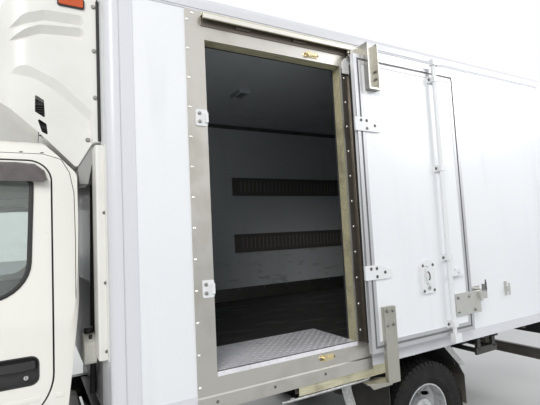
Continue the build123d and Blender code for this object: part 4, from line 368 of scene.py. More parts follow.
CAB_PAINT = gloss_paint("cream_paint", (0.80, 0.785, 0.73), (0.72, 0.705, 0.65))
PANEL = panel_skin("white_panel", (0.80, 0.81, 0.83), (0.72, 0.74, 0.77))
RAIL_WHITE = gloss_paint("white_extrusion", (0.66, 0.665, 0.70), (0.57, 0.575, 0.61), 0.36, 1.0, 0.3, 0.2)
# The lining's colour is a mid grey-blue, darker than the sheet itself: painted shade of the hold's inside.
LINER = wiped_liner("grey_liner", (0.50, 0.53, 0.545), (0.43, 0.46, 0.47))
HOLD_FLOOR = worn_floor("hold_floor")
STAINLESS = brushed("brushed_stainless", (0.62, 0.605, 0.57), (0.36, 0.335, 0.28), 0.34, (1.0, 2.75))
REAR_STEEL = brushed("rear_stainless", (0.66, 0.65, 0.62), (0.46, 0.44, 0.41), 0.34, (1.0, 2.9), 0.9)
FITTING_STEEL = brushed("fitting_steel", (0.62, 0.62, 0.61), (0.40, 0.40, 0.39), 0.30)
ZINC = zinc_coated("zinc_coated_steel")
BRONZE = bronze_channel("bronze_channel")
COVER = moulded("cover_plastic", (0.78, 0.775, 0.74), (0.70, 0.69, 0.65), 0.34, 0.0001, 500)
FRAME_BLACK = chassis_black("chassis_black")
GRAINED = moulded("grained_plastic", (0.022, 0.022, 0.023), (0.04, 0.04, 0.04), 0.5, 0.0004, 700, 0.8)
CAB_TRIM = moulded("cab_trim_plastic", (0.075, 0.073, 0.07), (0.055, 0.054, 0.052), 0.55, 0.0004, 800)
CASTING = rough_casting("rough_casting")
WHEEL_SILVER = wheel_paint("wheel_silver_paint")
RUBBER = road_rubber("tyre_rubber")
GLASS = safety_glass("window_glass", (0.80, 0.86, 0.84))
CLOTH = woven_cloth("seat_weave", (0.10, 0.105, 0.115), (0.03, 0.032, 0.036))
RED_LENS = lamp_lens("red_lens", (0.55, 0.02, 0.012))
CLEAR_LENS = lamp_lens("clear_lens", (0.86, 0.88, 0.90), 0.88, 0.006)


def mirror_glass_finish(name):
    finish = Finish(name, metallic=1.0)
    haze = finish.noise(12, 4).rising(0.45, 0.85)
    finish.feed("Base Color", finish.mixed((0.86, 0.88, 0.88), (0.74, 0.76, 0.76), haze * 0.5))
    finish.feed("Roughness", haze * 0.05 + 0.02)
    return finish.material


def smoked_sheet(name):
    """Brown-grey see-through acrylic."""
    finish = Finish(name, Transmission_Weight=0.35, IOR=1.49, Coat_Weight=0.8)
    haze = finish.noise(14, 4).rising(0.4, 0.85)
    finish.feed("Base Color", finish.mixed((0.105, 0.085, 0.085), (0.15, 0.125, 0.125), haze))
    finish.feed("Roughness", haze * 0.08 + 0.06)
    return finish.material


def tread_steel(name):
    """Bright aluminium sheet, scuffed by feet and trolleys."""
    finish = Finish(name, metallic=0.35)
    scuffs = finish.noise(30, 6, 0.7, across=(1.0, 0.35, 1)).rising(0.48, 0.68)
    grime = finish.noise(5, 4).rising(0.45, 0.8)
    colour = finish.mixed((0.86, 0.85, 0.89), (0.62, 0.61, 0.65), scuffs * 0.5)
    colour = finish.mixed(colour, (0.30, 0.29, 0.28), grime * 0.25)
    finish.feed("Base Color", colour)
    finish.feed("Roughness", scuffs * 0.22 + 0.28)
    finish.bumped(finish.noise(90, 4), 0.0005, 0.4)
    return finish.material


def edging_aluminium(name):
    """Satin aluminium edging with fine lines along it."""
    finish = Finish(name, metallic=0.45)
    along = finish.noise(50, 3, across=(6, 6, 0.3))
    spots = finish.noise(22, 4).rising(0.5, 0.8)
    finish.feed("Base Color", finish.mixed((0.52, 0.52, 0.54), (0.38, 0.38, 0.40),
                                           along * 0.4 + spots * 0.3))
    finish.feed("Roughness", along * 0.16 + 0.30)
    finish.bumped(along, 0.0003, 0.3)
    return finish.material


def board_timber(name, colour, shade):
    """Dark varnished board with a long grain."""
    finish = Finish(name, Coat_Weight=0.15)
    grain = finish.noise(30, 5, 0.6, across=(0.06, 1, 1.5))
    wear = finish.noise(9, 4).rising(0.5, 0.75)
    finish.feed("Base Color", finish.mixed(finish.mixed(colour, shade, grain), (0.14, 0.12, 0.10),
                                           wear * 0.25))
    finish.feed("Roughness", grain * 0.15 + wear * 0.15 + 0.40)
    finish.bumped(grain, 0.0004, 0.4)
    return finish.material


RIVET_STEEL = brushed("rivet_steel", (0.80, 0.79, 0.76), (0.60, 0.59, 0.56), 0.30)
BOLT_STEEL = brushed("bolt_steel", (0.34, 0.335, 0.32), (0.20, 0.195, 0.185), 0.34)
SCREW_STEEL = brushed("screw_steel", (0.22, 0.21, 0.20), (0.11, 0.105, 0.10), 0.40)
CHROME = brushed("lamp_chrome", (0.84, 0.85, 0.86), (0.72, 0.73, 0.74), 0.16)
BRASS = brushed("brass_catch", (0.78, 0.68, 0.44), (0.50, 0.40, 0.22), 0.26)
ZINC_OLIVE = brushed("olive_zinc", (0.50, 0.49, 0.44), (0.33, 0.32, 0.28), 0.40)
# A darker copy of the olive zinc: painted shade on the hanger's faces that do not face out.
HANGER_SHADED_STEEL = brushed("hanger_steel", (0.34, 0.335, 0.315), (0.20, 0.195, 0.18), 0.42)
BRACKET_STEEL = moulded("bracket_grey", (0.33, 0.33, 0.325), (0.25, 0.25, 0.245), 0.5, 0.0002, 500)
ALUMINIUM = edging_aluminium("edging_aluminium")
# A dark bronze-brown: painted shade on the steel of the doorway's rear recess, and painted shade with grime
# inside the door rails' channels.
SHADE_AND_GRIME_BRONZE = brushed("dark_bronze", (0.24, 0.215, 0.185), (0.15, 0.135, 0.115), 0.5)
# Light cream on the upper rail's lip: a painted highlight along its edge.
RAIL_LIP_HIGHLIGHT = brushed("rail_lip", (0.80, 0.78, 0.72), (0.62, 0.60, 0.54), 0.36, metallic=0.5)
TREAD_STEEL = tread_steel("tread_plate")
WHITE_METAL = gloss_paint("white_fittings_paint", (0.76, 0.77, 0.78), (0.66, 0.67, 0.68), 0.34, 1.0, 0.2)
WHITE_PLASTIC = moulded("white_plastic", (0.74, 0.745, 0.74), (0.66, 0.665, 0.66), 0.40, 0.0001, 500)
PLATE_WHITE = moulded("plate_white", (0.80, 0.80, 0.79), (0.72, 0.72, 0.71), 0.30, 0.0001, 400, 0.8)
BLACK_METAL = gloss_paint("black_fittings_paint", (0.025, 0.025, 0.027), (0.05, 0.05, 0.05), 0.34, 0.9)
BLACK_PLASTIC = moulded("black_plastic", (0.022, 0.022, 0.023), (0.036, 0.036, 0.036), 0.42, 0.0002, 600)
SOFT_RUBBER = moulded("soft_rubber", (0.018, 0.018, 0.018), (0.032, 0.031, 0.030), 0.66, 0.0003, 300)
BOTTLE_PLASTIC = moulded("bottle_plastic", (0.70, 0.69, 0.64), (0.60, 0.59, 0.54), 0.42, 0.0001, 300)
# Grey trim for the hold lamp's white frame: painted shade of the hold.
LINER_TRIM_SHADED = moulded("liner_trim", (0.40, 0.43, 0.45), (0.33, 0.36, 0.38), 0.36, 0.0001, 400)
BOARD = board_timber("lashing_board", (0.120, 0.108, 0.102), (0.085, 0.078, 0.074))
# The lighter board finish: the colour of the slots' bars, and a painted highlight on the boards' lips.
BOARD_SLOT_AND_HIGHLIGHT = board_timber("lashing_slot", (0.24, 0.225, 0.22), (0.19, 0.178, 0.172))
AMBER_LENS = lamp_lens("amber_lens", (0.72, 0.10, 0.012), 0.12, 0.006)
DIM_LENS = lamp_lens("hold_lamp_lens", (0.20, 0.21, 0.22), 0.3, 0.005)
MIRROR = mirror_glass_finish("mirror_glass")
SMOKED = smoked_sheet("smoked_acrylic")
DULL_EDGING = moulded("dull_edging", (0.19, 0.19, 0.19), (0.15, 0.15, 0.15), 0.5, 0.0002, 300)
HOLDER_STEEL = brushed("holder_steel", (0.66, 0.66, 0.63), (0.50, 0.50, 0.47), 0.38)
# Near-black for the hold's corner strips: painted shadow along the corners.
LINER_PAINTED_SHADOW = moulded("liner_shade", (0.085, 0.088, 0.088), (0.065, 0.068, 0.068), 0.5, 0.0001, 300)
KICK_STEEL = brushed("kick_plate", (0.20, 0.20, 0.195), (0.12, 0.12, 0.115), 0.5)
BELT_WEB = woven_cloth("belt_webbing", (0.035, 0.036, 0.040), (0.020, 0.020, 0.022))


# Every CAD node and the finish that it takes
NODE_FINISHES = {
    CAB_PAINT: ("cab_shell", "cab_front_panel", "cab_door_left", "cab_door_right"),
    PANEL: ("evaporator",),
    HOLD_FLOOR: ("box_floor",),
    RAIL_WHITE: ("box_edge_rails",),
    REAR_STEEL: ("rear_frame", "rear_lock_left", "rear_lock_right"),
    ZINC: ("exhaust",),
    BRONZE: ("side_rails",),
    COVER: ("refrigeration_covers",),
    FRAME_BLACK: ("frame_rails", "floor_bearers", "body_sills", "tow_eyes", "axles", "leaf_springs",
                  "fuel_tank", "rear_bumper"),
    GRAINED: ("battery_box", "front_bumper", "mudguards", "mirrors"),
    CAB_TRIM: ("cab_floor", "dashboard", "steering_wheel"),
    CASTING: ("engine_block", "knuckle_left", "knuckle_right"),
    WHEEL_SILVER: ("front_rim_left", "front_rim_right", "rear_rims_left", "rear_rims_right"),
    RUBBER: ("front_tyre_left", "front_tyre_right", "rear_tyres_left", "rear_tyres_right"),
    GLASS: ("cab_windows", "door_glass_left", "door_glass_right"),
    CLOTH: ("seats",),
    RED_LENS: ("tail_lamps",),
    CLEAR_LENS: ("head_lamps",),
}


def set_finish(piece, *materials):
    piece.data.materials.clear()
    for material in materials:
        piece.data.materials.append(material)


def paint_faces(name, choose, *materials):
    """Gives each triangle of a CAD node the finish that its middle and normal call for."""
    node = NODES[name]
    set_finish(node, *materials)
    slots = {material: number for number, material in enumerate(materials)}
    for face in node.data.polygons:
        face.material_index = slots[choose(face.center, face.normal)]


def within(value, span):
    """True between the two ends of a span."""
    return span[0] < value < span[1]


# The hold's inside, with room for its lining: along, half across and up
HOLD_X = (-2.80, 1.0)
HOLD_HALF_Y = 1.03
HOLD_Z = (1.0, 2.92)


def panel_colour(place, normal):
    """Liner on the faces that look into the hold, white skin on the others."""
    inside = within(place.x, HOLD_X) and abs(place.y) < HOLD_HALF_Y and within(place.z, HOLD_Z)
    return LINER if inside else PANEL


# The side doorway's opening, its sill's top, its bronze reveal and the recess behind it, painted dark as
# shade
OPENING_X = (-0.372, 0.567)
OPENING_Z = (1.0, 2.766)
SILL_TOP_Z = 1.0125
REVEAL_Y = (1.021, 1.1035)
RECESS_SPAN_X = (-0.46, -0.37)
RECESS_SHADE_Y = 1.100


def frame_colour(place, normal):
    """Bronze round the doorway's reveal, bright plate on the sill, painted shade on the steel in the rear
    leg's recess, steel elsewhere.
    """
    in_doorway = within(place.x, OPENING_X) and within(place.z, OPENING_Z)
    if in_doorway and place.z < SILL_TOP_Z and normal.z > 0.5:
        return TREAD_STEEL
    if in_doorway and (abs(normal.y) < 0.9 or within(place.y, REVEAL_Y)):
        return BRONZE
    # The recess's steel is painted dark as the shade in it.
    if within(place.x, RECESS_SPAN_X) and within(place.z, OPENING_Z) and place.y < RECESS_SHADE_Y:
        return SHADE_AND_GRIME_BRONZE
    return LINER if place.y < HOLD_HALF_Y else STAINLESS


def finish_nodes():
    """Gives every CAD node its finish, some of them face by face."""
    for material, names in NODE_FINISHES.items():
        for name in names:
            set_finish(NODES[name], material)
    for name in ("box_wall_left", "box_wall_right", "box_front_wall", "box_roof", "rear_door_left",
                 "rear_door_right"):
        paint_faces(name, panel_colour, PANEL, LINER)
    paint_faces("side_frame", frame_colour, STAINLESS, BRONZE, TREAD_STEEL, LINER, SHADE_AND_GRIME_BRONZE)
    paint_faces("side_door", door_colour, PANEL, LINER, ALUMINIUM, DULL_EDGING)
    paint_faces("side_door_fittings", fitting_colour, WHITE_METAL, HOLDER_STEEL, ZINC_OLIVE, HANGER_SHADED_STEEL,
                BRASS)
    paint_faces("lashing_rails", board_colour, BOARD, BOARD_SLOT_AND_HIGHLIGHT)
    paint_faces("tail_lamps", tail_colour, RED_LENS, BLACK_PLASTIC)
    paint_faces("refrigeration_covers", cover_colour, COVER, BLACK_PLASTIC, BRACKET_STEEL)


LENS_TOP_Z = 0.771


def tail_colour(place, normal):
    """Red on the lens that faces the rear, black on the housing."""
    return RED_LENS if normal.x < -0.5 and place.z < LENS_TOP_Z else BLACK_PLASTIC


# The cover's side vents, measured ahead of the box and below the cover's top, and its tail
COVER_TOP_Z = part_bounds("refrigeration_covers")[1][2]
BOX_FACE_X = 1.065
VENT_AHEAD = (0.236, 0.302)
VENT_BELOW = (0.580, 0.778)
VENT_FLOOR_Y = 0.874
TAIL_FRONT_X = 1.20
TAIL_TOP_Z = 2.19
TAIL_Y = (0.80, 0.870)


def cover_colour(place, normal):
    """The cover is white, its side vents' walls and floor are painted black as the shade inside the openings,
    and its tail is grey.
    """
    in_vent = within(place.x - BOX_FACE_X, VENT_AHEAD) and within(COVER_TOP_Z - place.z, VENT_BELOW)
    # Black on the vents' walls and floor: painted shade inside the openings.
    if in_vent and (abs(place.y) < VENT_FLOOR_Y or abs(normal.y) < 0.6):
        return BLACK_PLASTIC
    if place.x < TAIL_FRONT_X and place.z < TAIL_TOP_Z and within(abs(place.y), TAIL_Y):
        return BRACKET_STEEL
    return COVER


def board_colour(place, normal):
    """The boards' lips catch the light: their top and bottom faces take the lighter finish as a painted
    highlight, and the hollow between them keeps the darker board colour.
    """
    return BOARD_SLOT_AND_HIGHLIGHT if abs(normal.z) > 0.5 else BOARD


# Mesh forms: every piece is drawn in metres, where it lies on the truck

PLANES = {"XZ": (0, 2, 1), "YZ": (1, 2, 0), "XY": (0, 1, 2)}
LEFT, RIGHT = 1, -1
SIDE_NAMES = {LEFT: "left", RIGHT: "right"}


def rounded(corners, steps=4):
    """An outline of (a, b) points from rows of (a, b, corner radius)."""
    points = []
    for number, (a, b, radius) in enumerate(corners):
        here = Vector((a, b))
        if not radius:
            points.append((a, b))
            continue
        before = (Vector(corners[number - 1][:2]) - here).normalized()
        after = (Vector(corners[(number + 1) % len(corners)][:2]) - here).normalized()
        half = before.angle(after) / 2
        centre = here + (before + after).normalized() * (radius / math.sin(half))
        start = here + before * (radius / math.tan(half)) - centre
        turn = start.angle_signed(here + after * (radius / math.tan(half)) - centre)
        for step in range(steps + 1):
            spin = Matrix.Rotation(-turn * step / steps, 2)
            points.append(tuple(centre + spin @ start))
    return points


def oblong(a0, a1, b0, b1, radius):
    """A rectangle with rounded corners."""
    return rounded([(a0, b0, radius), (a1, b0, radius), (a1, b1, radius), (a0, b1, radius)])


def in_plane(outline, plane, depth):
    """The points of a flat outline, moved along the plane's normal."""
    a, b, n = PLANES[plane]
    points = []
    for across, up in outline:
        point = [0, 0, 0]
        point[a], point[b], point[n] = across, up, depth
        points.append(point)
    return points


class Form:
    """A mesh that grows by blocks, rods, turned profiles, slabs and swept rings."""

    def __init__(self):
        self.mesh = bmesh.new()

    def faces(self, verts, slot):
        for face in {face for vert in verts for face in vert.link_faces}:
            face.material_index = slot
        return self

    def block(self, low, high, slot=0):
        middle = [(a + b) / 2 for a, b in zip(low, high)]
        size = [abs(b - a) for a, b in zip(low, high)]
        place = Matrix.Translation(middle) @ Matrix.Diagonal((*size, 1))
        made = bmesh.ops.create_cube(self.mesh, size=1, matrix=place)
        return self.faces(made["verts"], slot)

    def rod(self, start, end, radius, far_radius=None, sides=20, slot=0):
        start, end = Vector(start), Vector(end)
        turn = (end - start).to_track_quat("Z", "Y").to_matrix().to_4x4()
        made = bmesh.ops.create_cone(
            self.mesh, cap_ends=True, segments=sides, radius1=radius,
            radius2=radius if far_radius is None else far_radius, depth=(end - start).length,
            matrix=Matrix.Translation((start + end) / 2) @ turn)
        return self.faces(made["verts"], slot)

    def ball(self, centre, radius, scale=(1, 1, 1), slot=0, steps=16):
        place = Matrix.Translation(centre) @ Matrix.Diagonal((*scale, 1))
        made = bmesh.ops.create_uvsphere(self.mesh, u_segments=steps, v_segments=steps // 2,
                                         radius=radius, matrix=place)
        return self.faces(made["verts"], slot)

    def grid(self, rows, closed_rows=False, closed_ring=True, slot=0, ends=False):
        """Faces between rings of points that follow each other, and over the end rings."""
        rings = [[self.mesh.verts.new(point) for point in ring] for ring in rows]
        pairs = list(zip(rings, rings[1:])) + ([(rings[-1], rings[0])] if closed_rows else [])
        for one, two in pairs:
            count = len(one)
            for i in range(count if closed_ring else count - 1):
                j = (i + 1) % count
                face = self.mesh.faces.new((one[i], one[j], two[j], two[i]))
                face.material_index = slot
        if ends:
            for ring in (rings[0], rings[-1]):
                self.mesh.faces.new(ring).material_index = slot
        return rings

    def turned(self, profile, centre, axis="Y", steps=48, slot=0, closed=True):
        """A profile of (along the axis, radius) points spun round an axis through the centre."""
        way = {"X": (0, 1, 2), "Y": (1, 2, 0), "Z": (2, 0, 1)}[axis]
        rows = []
        for step in range(steps):
            angle = 2 * math.pi * step / steps
            ring = []
            for along, radius in profile:
                point = list(centre)
                point[way[0]] += along
                point[way[1]] += radius * math.cos(angle)
                point[way[2]] += radius * math.sin(angle)
                ring.append(point)
            rows.append(ring)
        self.grid(rows, closed_rows=True, closed_ring=closed, slot=slot)
        return self

    def slab(self, outline, plane, low, high, slot=0):
        """A flat outline, thick from low to high along the plane's normal."""
        rings = [[self.mesh.verts.new(point) for point in in_plane(outline, plane, depth)]
                 for depth in (low, high)]
        count = len(outline)
        made = [self.mesh.faces.new(rings[0]), self.mesh.faces.new(rings[1])]
        for i in range(count):
            j = (i + 1) % count
            made.append(self.mesh.faces.new((rings[0][i], rings[0][j], rings[1][j], rings[1][i])))
        for face in made:
            face.material_index = slot
        return self

    def frame(self, outline, plane, width, low, high, slot=0):
        """A band of the given width inside an outline, thick from low to high."""
        inner = taken_in(outline, width)
        rows = [in_plane(points, plane, depth) for points, depth in
                ((outline, low), (outline, high), (inner, high), (inner, low))]
        self.grid(rows, closed_rows=True, slot=slot)
        return self

    def swept(self, path, ring, closed=False, slot=0, up=(0, 0, 1)):
        """A ring of (side, up) points carried along a path, kept upright."""
        path = [Vector(point) for point in path]
        rows = []
        count = len(path)
        for number, point in enumerate(path):
            before = path[number - 1] if number or closed else point
            after = path[(number + 1) % count] if number < count - 1 or closed else point
            way = (after - before).normalized()
            side = way.cross(Vector(up)).normalized()
            rise = side.cross(way)
            rows.append([point + side * a + rise * b for a, b in ring])
        self.grid(rows, closed_rows=closed, slot=slot, ends=not closed)
        return self

    def tube(self, path, radius, sides=12, closed=False, slot=0, up=(0, 0, 1)):
        """A round rod along a path."""
        angles = [2 * math.pi * i / sides for i in range(sides)]
        ring = [(radius * math.cos(angle), radius * math.sin(angle)) for angle in angles]
        return self.swept(path, ring, closed, slot, up)

    def add(self, mesh, matrix=None):
        """Takes in another mesh, such as a repeat."""
        start = len(self.mesh.verts)
        self.mesh.from_mesh(mesh)
        if matrix:
            self.mesh.verts.ensure_lookup_table()
            bmesh.ops.transform(self.mesh, matrix=matrix, verts=self.mesh.verts[start:])
        return self

    def turn(self, matrix):
        bmesh.ops.transform(self.mesh, matrix=matrix, verts=self.mesh.verts)
        return self

    def on(self, side):
        """Draws for the left, moved to the side asked for."""
        return self if side == LEFT else self.turn(Matrix.Diagonal((1, -1, 1, 1)))

    def mesh_named(self, name, merge=True):
        if merge:
            bmesh.ops.remove_doubles(self.mesh, verts=self.mesh.verts, dist=1e-6)
        bmesh.ops.recalc_face_normals(self.mesh, faces=self.mesh.faces)
        mesh = bpy.data.meshes.new(name)
        self.mesh.to_mesh(mesh)
        self.mesh.free()
        return mesh


def taken_in(outline, width):
    """A closed outline moved inwards by the width."""
    count = len(outline)
    area = sum(outline[i - 1][0] * outline[i][1] - outline[i][0] * outline[i - 1][1]
               for i in range(count))
    way = 1 if area > 0 else -1
    moved = []
    for i in range(count):
        before = (Vector(outline[i]) - Vector(outline[i - 1])).normalized()
        after = (Vector(outline[(i + 1) % count]) - Vector(outline[i])).normalized()
        share = way * width / max(1 + before.dot(after), 0.2)
        moved.append((outline[i][0] - share * (before.y + after.y),
                      outline[i][1] + share * (before.x + after.x)))
    return moved


BEVEL_ANGLE = 40


def add_piece(name, mesh, body, slot, *materials, bevel=0.0, smooth=40, replaces=()):
    """Links a mesh as a piece of a body, with its finishes and soft edges."""
    if isinstance(mesh, Form):
        mesh = mesh.mesh_named(name)
    for material in materials:
        mesh.materials.append(material)
    if smooth:
        mesh.polygons.foreach_set("use_smooth", [True] * len(mesh.polygons))
        mesh.set_sharp_from_angle(angle=math.radians(smooth))
    made = bpy.data.objects.new(name, mesh)
    bpy.context.scene.collection.objects.link(made)
    if bevel:
        edge = made.modifiers.new("soft_edges", "BEVEL")
        edge.width = bevel
        edge.segments = 2
        edge.limit_method = "ANGLE"
        edge.angle_limit = math.radians(BEVEL_ANGLE)
    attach(made, body)
    if replaces:
        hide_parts(*replaces)
    return made


# Geometry Nodes: heads at chosen places, parts in a row and parts round an axle


class Tree:
    """A Geometry Nodes tree with named inputs that ends in Realize Instances and Set Material."""

    def __init__(self, name, inputs):
        self.group = bpy.data.node_groups.new(name, "GeometryNodeTree")
        self.sockets = {}
        self.group.interface.new_socket("Places", in_out="INPUT", socket_type="NodeSocketGeometry")
        for label, kind, value in inputs + [("Finish", "Material", None)]:
            socket = self.group.interface.new_socket(label, in_out="INPUT",
                                                     socket_type="NodeSocket" + kind)
            if value is not None:
                socket.default_value = value
            self.sockets[label] = socket.identifier
        self.group.interface.new_socket("Made", in_out="OUTPUT", socket_type="NodeSocketGeometry")
        self.start = self.group.nodes.new("NodeGroupInput")

    def input(self, label):
        return self.start.outputs[label]

    def node(self, kind, settings=None, values=()):
        made = self.group.nodes.new(kind)
        for name, value in (settings or {}).items():
            setattr(made, name, value)
        pairs = values.items() if isinstance(values, dict) else enumerate(values)
        for key, value in pairs:
            if isinstance(value, bpy.types.NodeSocket):
                self.group.links.new(value, made.inputs[key])
            else:
                made.inputs[key].default_value = value
        return made.outputs[0]

    def part(self):
        """The geometry of the part that the tree repeats."""
        info = self.node("GeometryNodeObjectInfo", values={"Object": self.input("Part"),
                                                           "As Instance": True})
        return next(out for out in info.node.outputs if out.name == "Geometry")

    def finish(self, instances):
        """Makes the instances real, paints them and ends the tree."""
        real = self.node("GeometryNodeRealizeInstances", values=[instances])
        painted = self.node("GeometryNodeSetMaterial", values={
            "Geometry": real, "Material": self.input("Finish")})
        out = self.group.nodes.new("NodeGroupOutput")
        self.group.links.new(painted, out.inputs[0])
        return self

    def grow(self, places, part, **values):
        """Runs the tree on a mesh of places and gives back a plain mesh."""
        host = bpy.data.objects.new("places", places)
        shape = bpy.data.objects.new("repeated_part", part)
        for helper in (host, shape):
            bpy.context.scene.collection.objects.link(helper)
        grower = host.modifiers.new("grower", "NODES")
        grower.node_group = self.group
        for label, value in {"Part": shape, **values}.items():
            grower[self.sockets[label.replace("_", " ")]] = value
        bpy.context.view_layer.update()
        ready = host.evaluated_get(bpy.context.evaluated_depsgraph_get())
        mesh = bpy.data.meshes.new_from_object(ready)
        host.modifiers.remove(grower)
        for helper in (host, shape):
            bpy.data.objects.remove(helper)
        return mesh


def heads_tree():
    """A part at each place, standing along its facing and spun by its turn."""
    tree = Tree("heads_at_places", [("Part", "Object", None), ("Size", "Float", 1.0)])
    facing = tree.node("GeometryNodeInputNamedAttribute", {"data_type": "FLOAT_VECTOR"},
                       {"Name": "facing"})
    turn = tree.node("GeometryNodeInputNamedAttribute", {"data_type": "FLOAT"}, {"Name": "turn"})
    stand = tree.node("FunctionNodeAlignRotationToVector", {"axis": "Z"}, {"Vector": facing})
    spin = tree.node("FunctionNodeAxisAngleToRotation", values={"Axis": (0, 0, 1), "Angle": turn})
    both = tree.node("FunctionNodeRotateRotation", {"rotation_space": "LOCAL"},
                     {"Rotation": stand, "Rotate By": spin})
    made = tree.node("GeometryNodeInstanceOnPoints", values={
        "Points": tree.input("Places"), "Instance": tree.part(), "Rotation": both,
        "Scale": tree.input("Size")})
    return tree.finish(made)


def row_tree():
    """Parts in a row: so many, each one step on from the last."""
    tree = Tree("parts_in_a_row", [("Part", "Object", None), ("Count", "Int", 2),
                                   ("Start", "Vector", (0, 0, 0)), ("Step", "Vector", (0, 0, 0))])
    line = tree.node("GeometryNodeMeshLine", {"mode": "OFFSET"}, {
        "Count": tree.input("Count"), "Start Location": tree.input("Start"),
        "Offset": tree.input("Step")})
    made = tree.node("GeometryNodeInstanceOnPoints", values={"Points": line,
                                                               "Instance": tree.part()})
    return tree.finish(made)


def ring_tree():
    """Parts round an axle: the part is drawn at its reach from the origin and turned about it."""
    tree = Tree("parts_round_an_axle", [("Part", "Object", None), ("Count", "Int", 6),
                                        ("Centre", "Vector", (0, 0, 0)),
                                        ("Axle", "Vector", (0, 1, 0))])
    line = tree.node("GeometryNodeMeshLine", {"mode": "OFFSET"}, {
        "Count": tree.input("Count"), "Start Location": tree.input("Centre"),
        "Offset": (0, 0, 0)})
    index = tree.node("GeometryNodeInputIndex")
    share = tree.node("ShaderNodeMath", {"operation": "DIVIDE"}, [index, tree.input("Count")])
    angle = tree.node("ShaderNodeMath", {"operation": "MULTIPLY"}, [share, 2 * math.pi])
    spin = tree.node("FunctionNodeAxisAngleToRotation", values={"Axis": tree.input("Axle"),
                                                                "Angle": angle})
    made = tree.node("GeometryNodeInstanceOnPoints", values={
        "Points": line, "Instance": tree.part(), "Rotation": spin})
    return tree.finish(made)


HEADS, ROW, RING = heads_tree(), row_tree(), ring_tree()
NO_PLACES = bpy.data.meshes.new("no_places")


def places_mesh(places):
    """A mesh of bare points from rows of (place, facing, turn)."""
    mesh = bpy.data.meshes.new("places")
    mesh.from_pydata([place for place, facing, turn in places], [], [])
    facing = mesh.attributes.new("facing", "FLOAT_VECTOR", "POINT")
    facing.data.foreach_set("vector", [part for row in places for part in row[1]])
    turn = mesh.attributes.new("turn", "FLOAT", "POINT")
    turn.data.foreach_set("value", [row[2] for row in places])
    return mesh


# Fastener heads: (height, radius) profiles, and how many sides each one has
ORIGIN = (0, 0, 0)
RIVET = ((0, 0), (0, 0.0048), (0.0006, 0.0052), (0.0018, 0.0040), (0.0025, 0.0018), (0.0026, 0))
SCREW = ((0, 0), (0, 0.0105), (0.0014, 0.0105), (0.0014, 0.0078), (0.0044, 0.0070), (0.0052, 0.0058),
         (0.0052, 0.0034), (0.0030, 0.0034), (0.0030, 0))
WASHER = ((0, 0), (0, 0.0125), (0.0018, 0.0125), (0.0018, 0))
HEXAGON = ((0.0018, 0), (0.0018, 0.0098), (0.0070, 0.0098), (0.0084, 0.0080), (0.0084, 0))
RIVET_SIDES, SCREW_SIDES, WASHER_SIDES, HEXAGON_SIDES = 10, 12, 16, 6


def rivet_head():
    head = Form().turned(RIVET, ORIGIN, "Z", RIVET_SIDES, closed=False)
    return head.mesh_named("rivet_head")


def screw_head():
    """A low head with a washer and a recess."""
    head = Form().turned(SCREW, ORIGIN, "Z", SCREW_SIDES, closed=False)
    return head.mesh_named("screw_head")


def bolt_head():
    """A washer and a six-sided head with a turned-off top."""
    head = Form().turned(WASHER, ORIGIN, "Z", WASHER_SIDES, closed=False)
    head.turned(HEXAGON, ORIGIN, "Z", HEXAGON_SIDES, closed=False)
    return head.mesh_named("bolt_head")


# How much further round each head is turned than the last one, in radians
TURN_STEP = 0.7


def heads(part, places, finish, size=1.0):
    """Fastener heads as one mesh, from rows of (place, facing)."""
    rows = [(place, facing, TURN_STEP * number) for number, (place, facing) in enumerate(places)]
    return HEADS.grow(places_mesh(rows), part, Size=size, Finish=finish)


def spaced(start, end, pitch):
    """Places from start to end, as near the pitch as fits."""
    start, end = Vector(start), Vector(end)
    count = max(1, round((end - start).length / pitch))
    return [tuple(start.lerp(end, number / count)) for number in range(count + 1)]


# Places on the truck, from the frame and from the CAD nodes' own surfaces


def part_box(name):
    low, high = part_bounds(name)
    return Vector(low), Vector(high)


SURFACE_TREES = {}


def surface_tree(name):
    """The search tree of a CAD node's faces, made once."""
    if name not in SURFACE_TREES:
        mesh = NODES[name].data
        SURFACE_TREES[name] = BVHTree.FromPolygons([vert.co for vert in mesh.vertices],
                                                   [tuple(face.vertices) for face in mesh.polygons])
    return SURFACE_TREES[name]


def struck(name, start, way):
    """Where a ray first strikes a CAD node, or None."""
    return surface_tree(name).ray_cast(Vector(start), Vector(way))[0]


def surface_y(x, z, side, name="refrigeration_covers"):
    """How far out a CAD node's surface lies at a place seen from the side, or None."""
    hit = struck(name, (x, side * SIDE_START, z), (0, -side, 0))
    return abs(hit.y) if hit else None


# Rays start from these distances beside, ahead of and behind the truck
SIDE_START = 1.6
CAB_SIDE_START = 1.4
FRONT_START = 3.2
REAR_START = -3.2


DOOR_LOW, DOOR_HIGH = part_box("side_door")
FRAME_LOW, FRAME_HIGH = part_box("side_frame")
WALL_LOW, WALL_HIGH = part_box("box_wall_left")
FRONT_LOW, FRONT_HIGH = part_box("box_front_wall")
REAR_HIGH = part_box("rear_frame")[1]

WALL_FACE_Y = WALL_HIGH.y
WALL_INNER_Y = WALL_LOW.y
FRAME_FACE_Y = WALL_FACE_Y + 0.004
CEILING_Z = part_box("box_roof")[0].z
FLOOR_Z = part_box("box_floor")[1].z
HOLD_FRONT_X = FRONT_LOW.x
HOLD_REAR_X = -2.735
LEG_WIDTH = 0.107
DOORWAY_FRONT_X = FRAME_HIGH.x - LEG_WIDTH
DOORWAY_REAR_X = FRAME_LOW.x + LEG_WIDTH
DOORWAY_SILL_Z = 1.011
DOORWAY_HEAD_Z = 2.758
OUT = {"left": (0, 1, 0), "right": (0, -1, 0)}

# The side doorway's frame

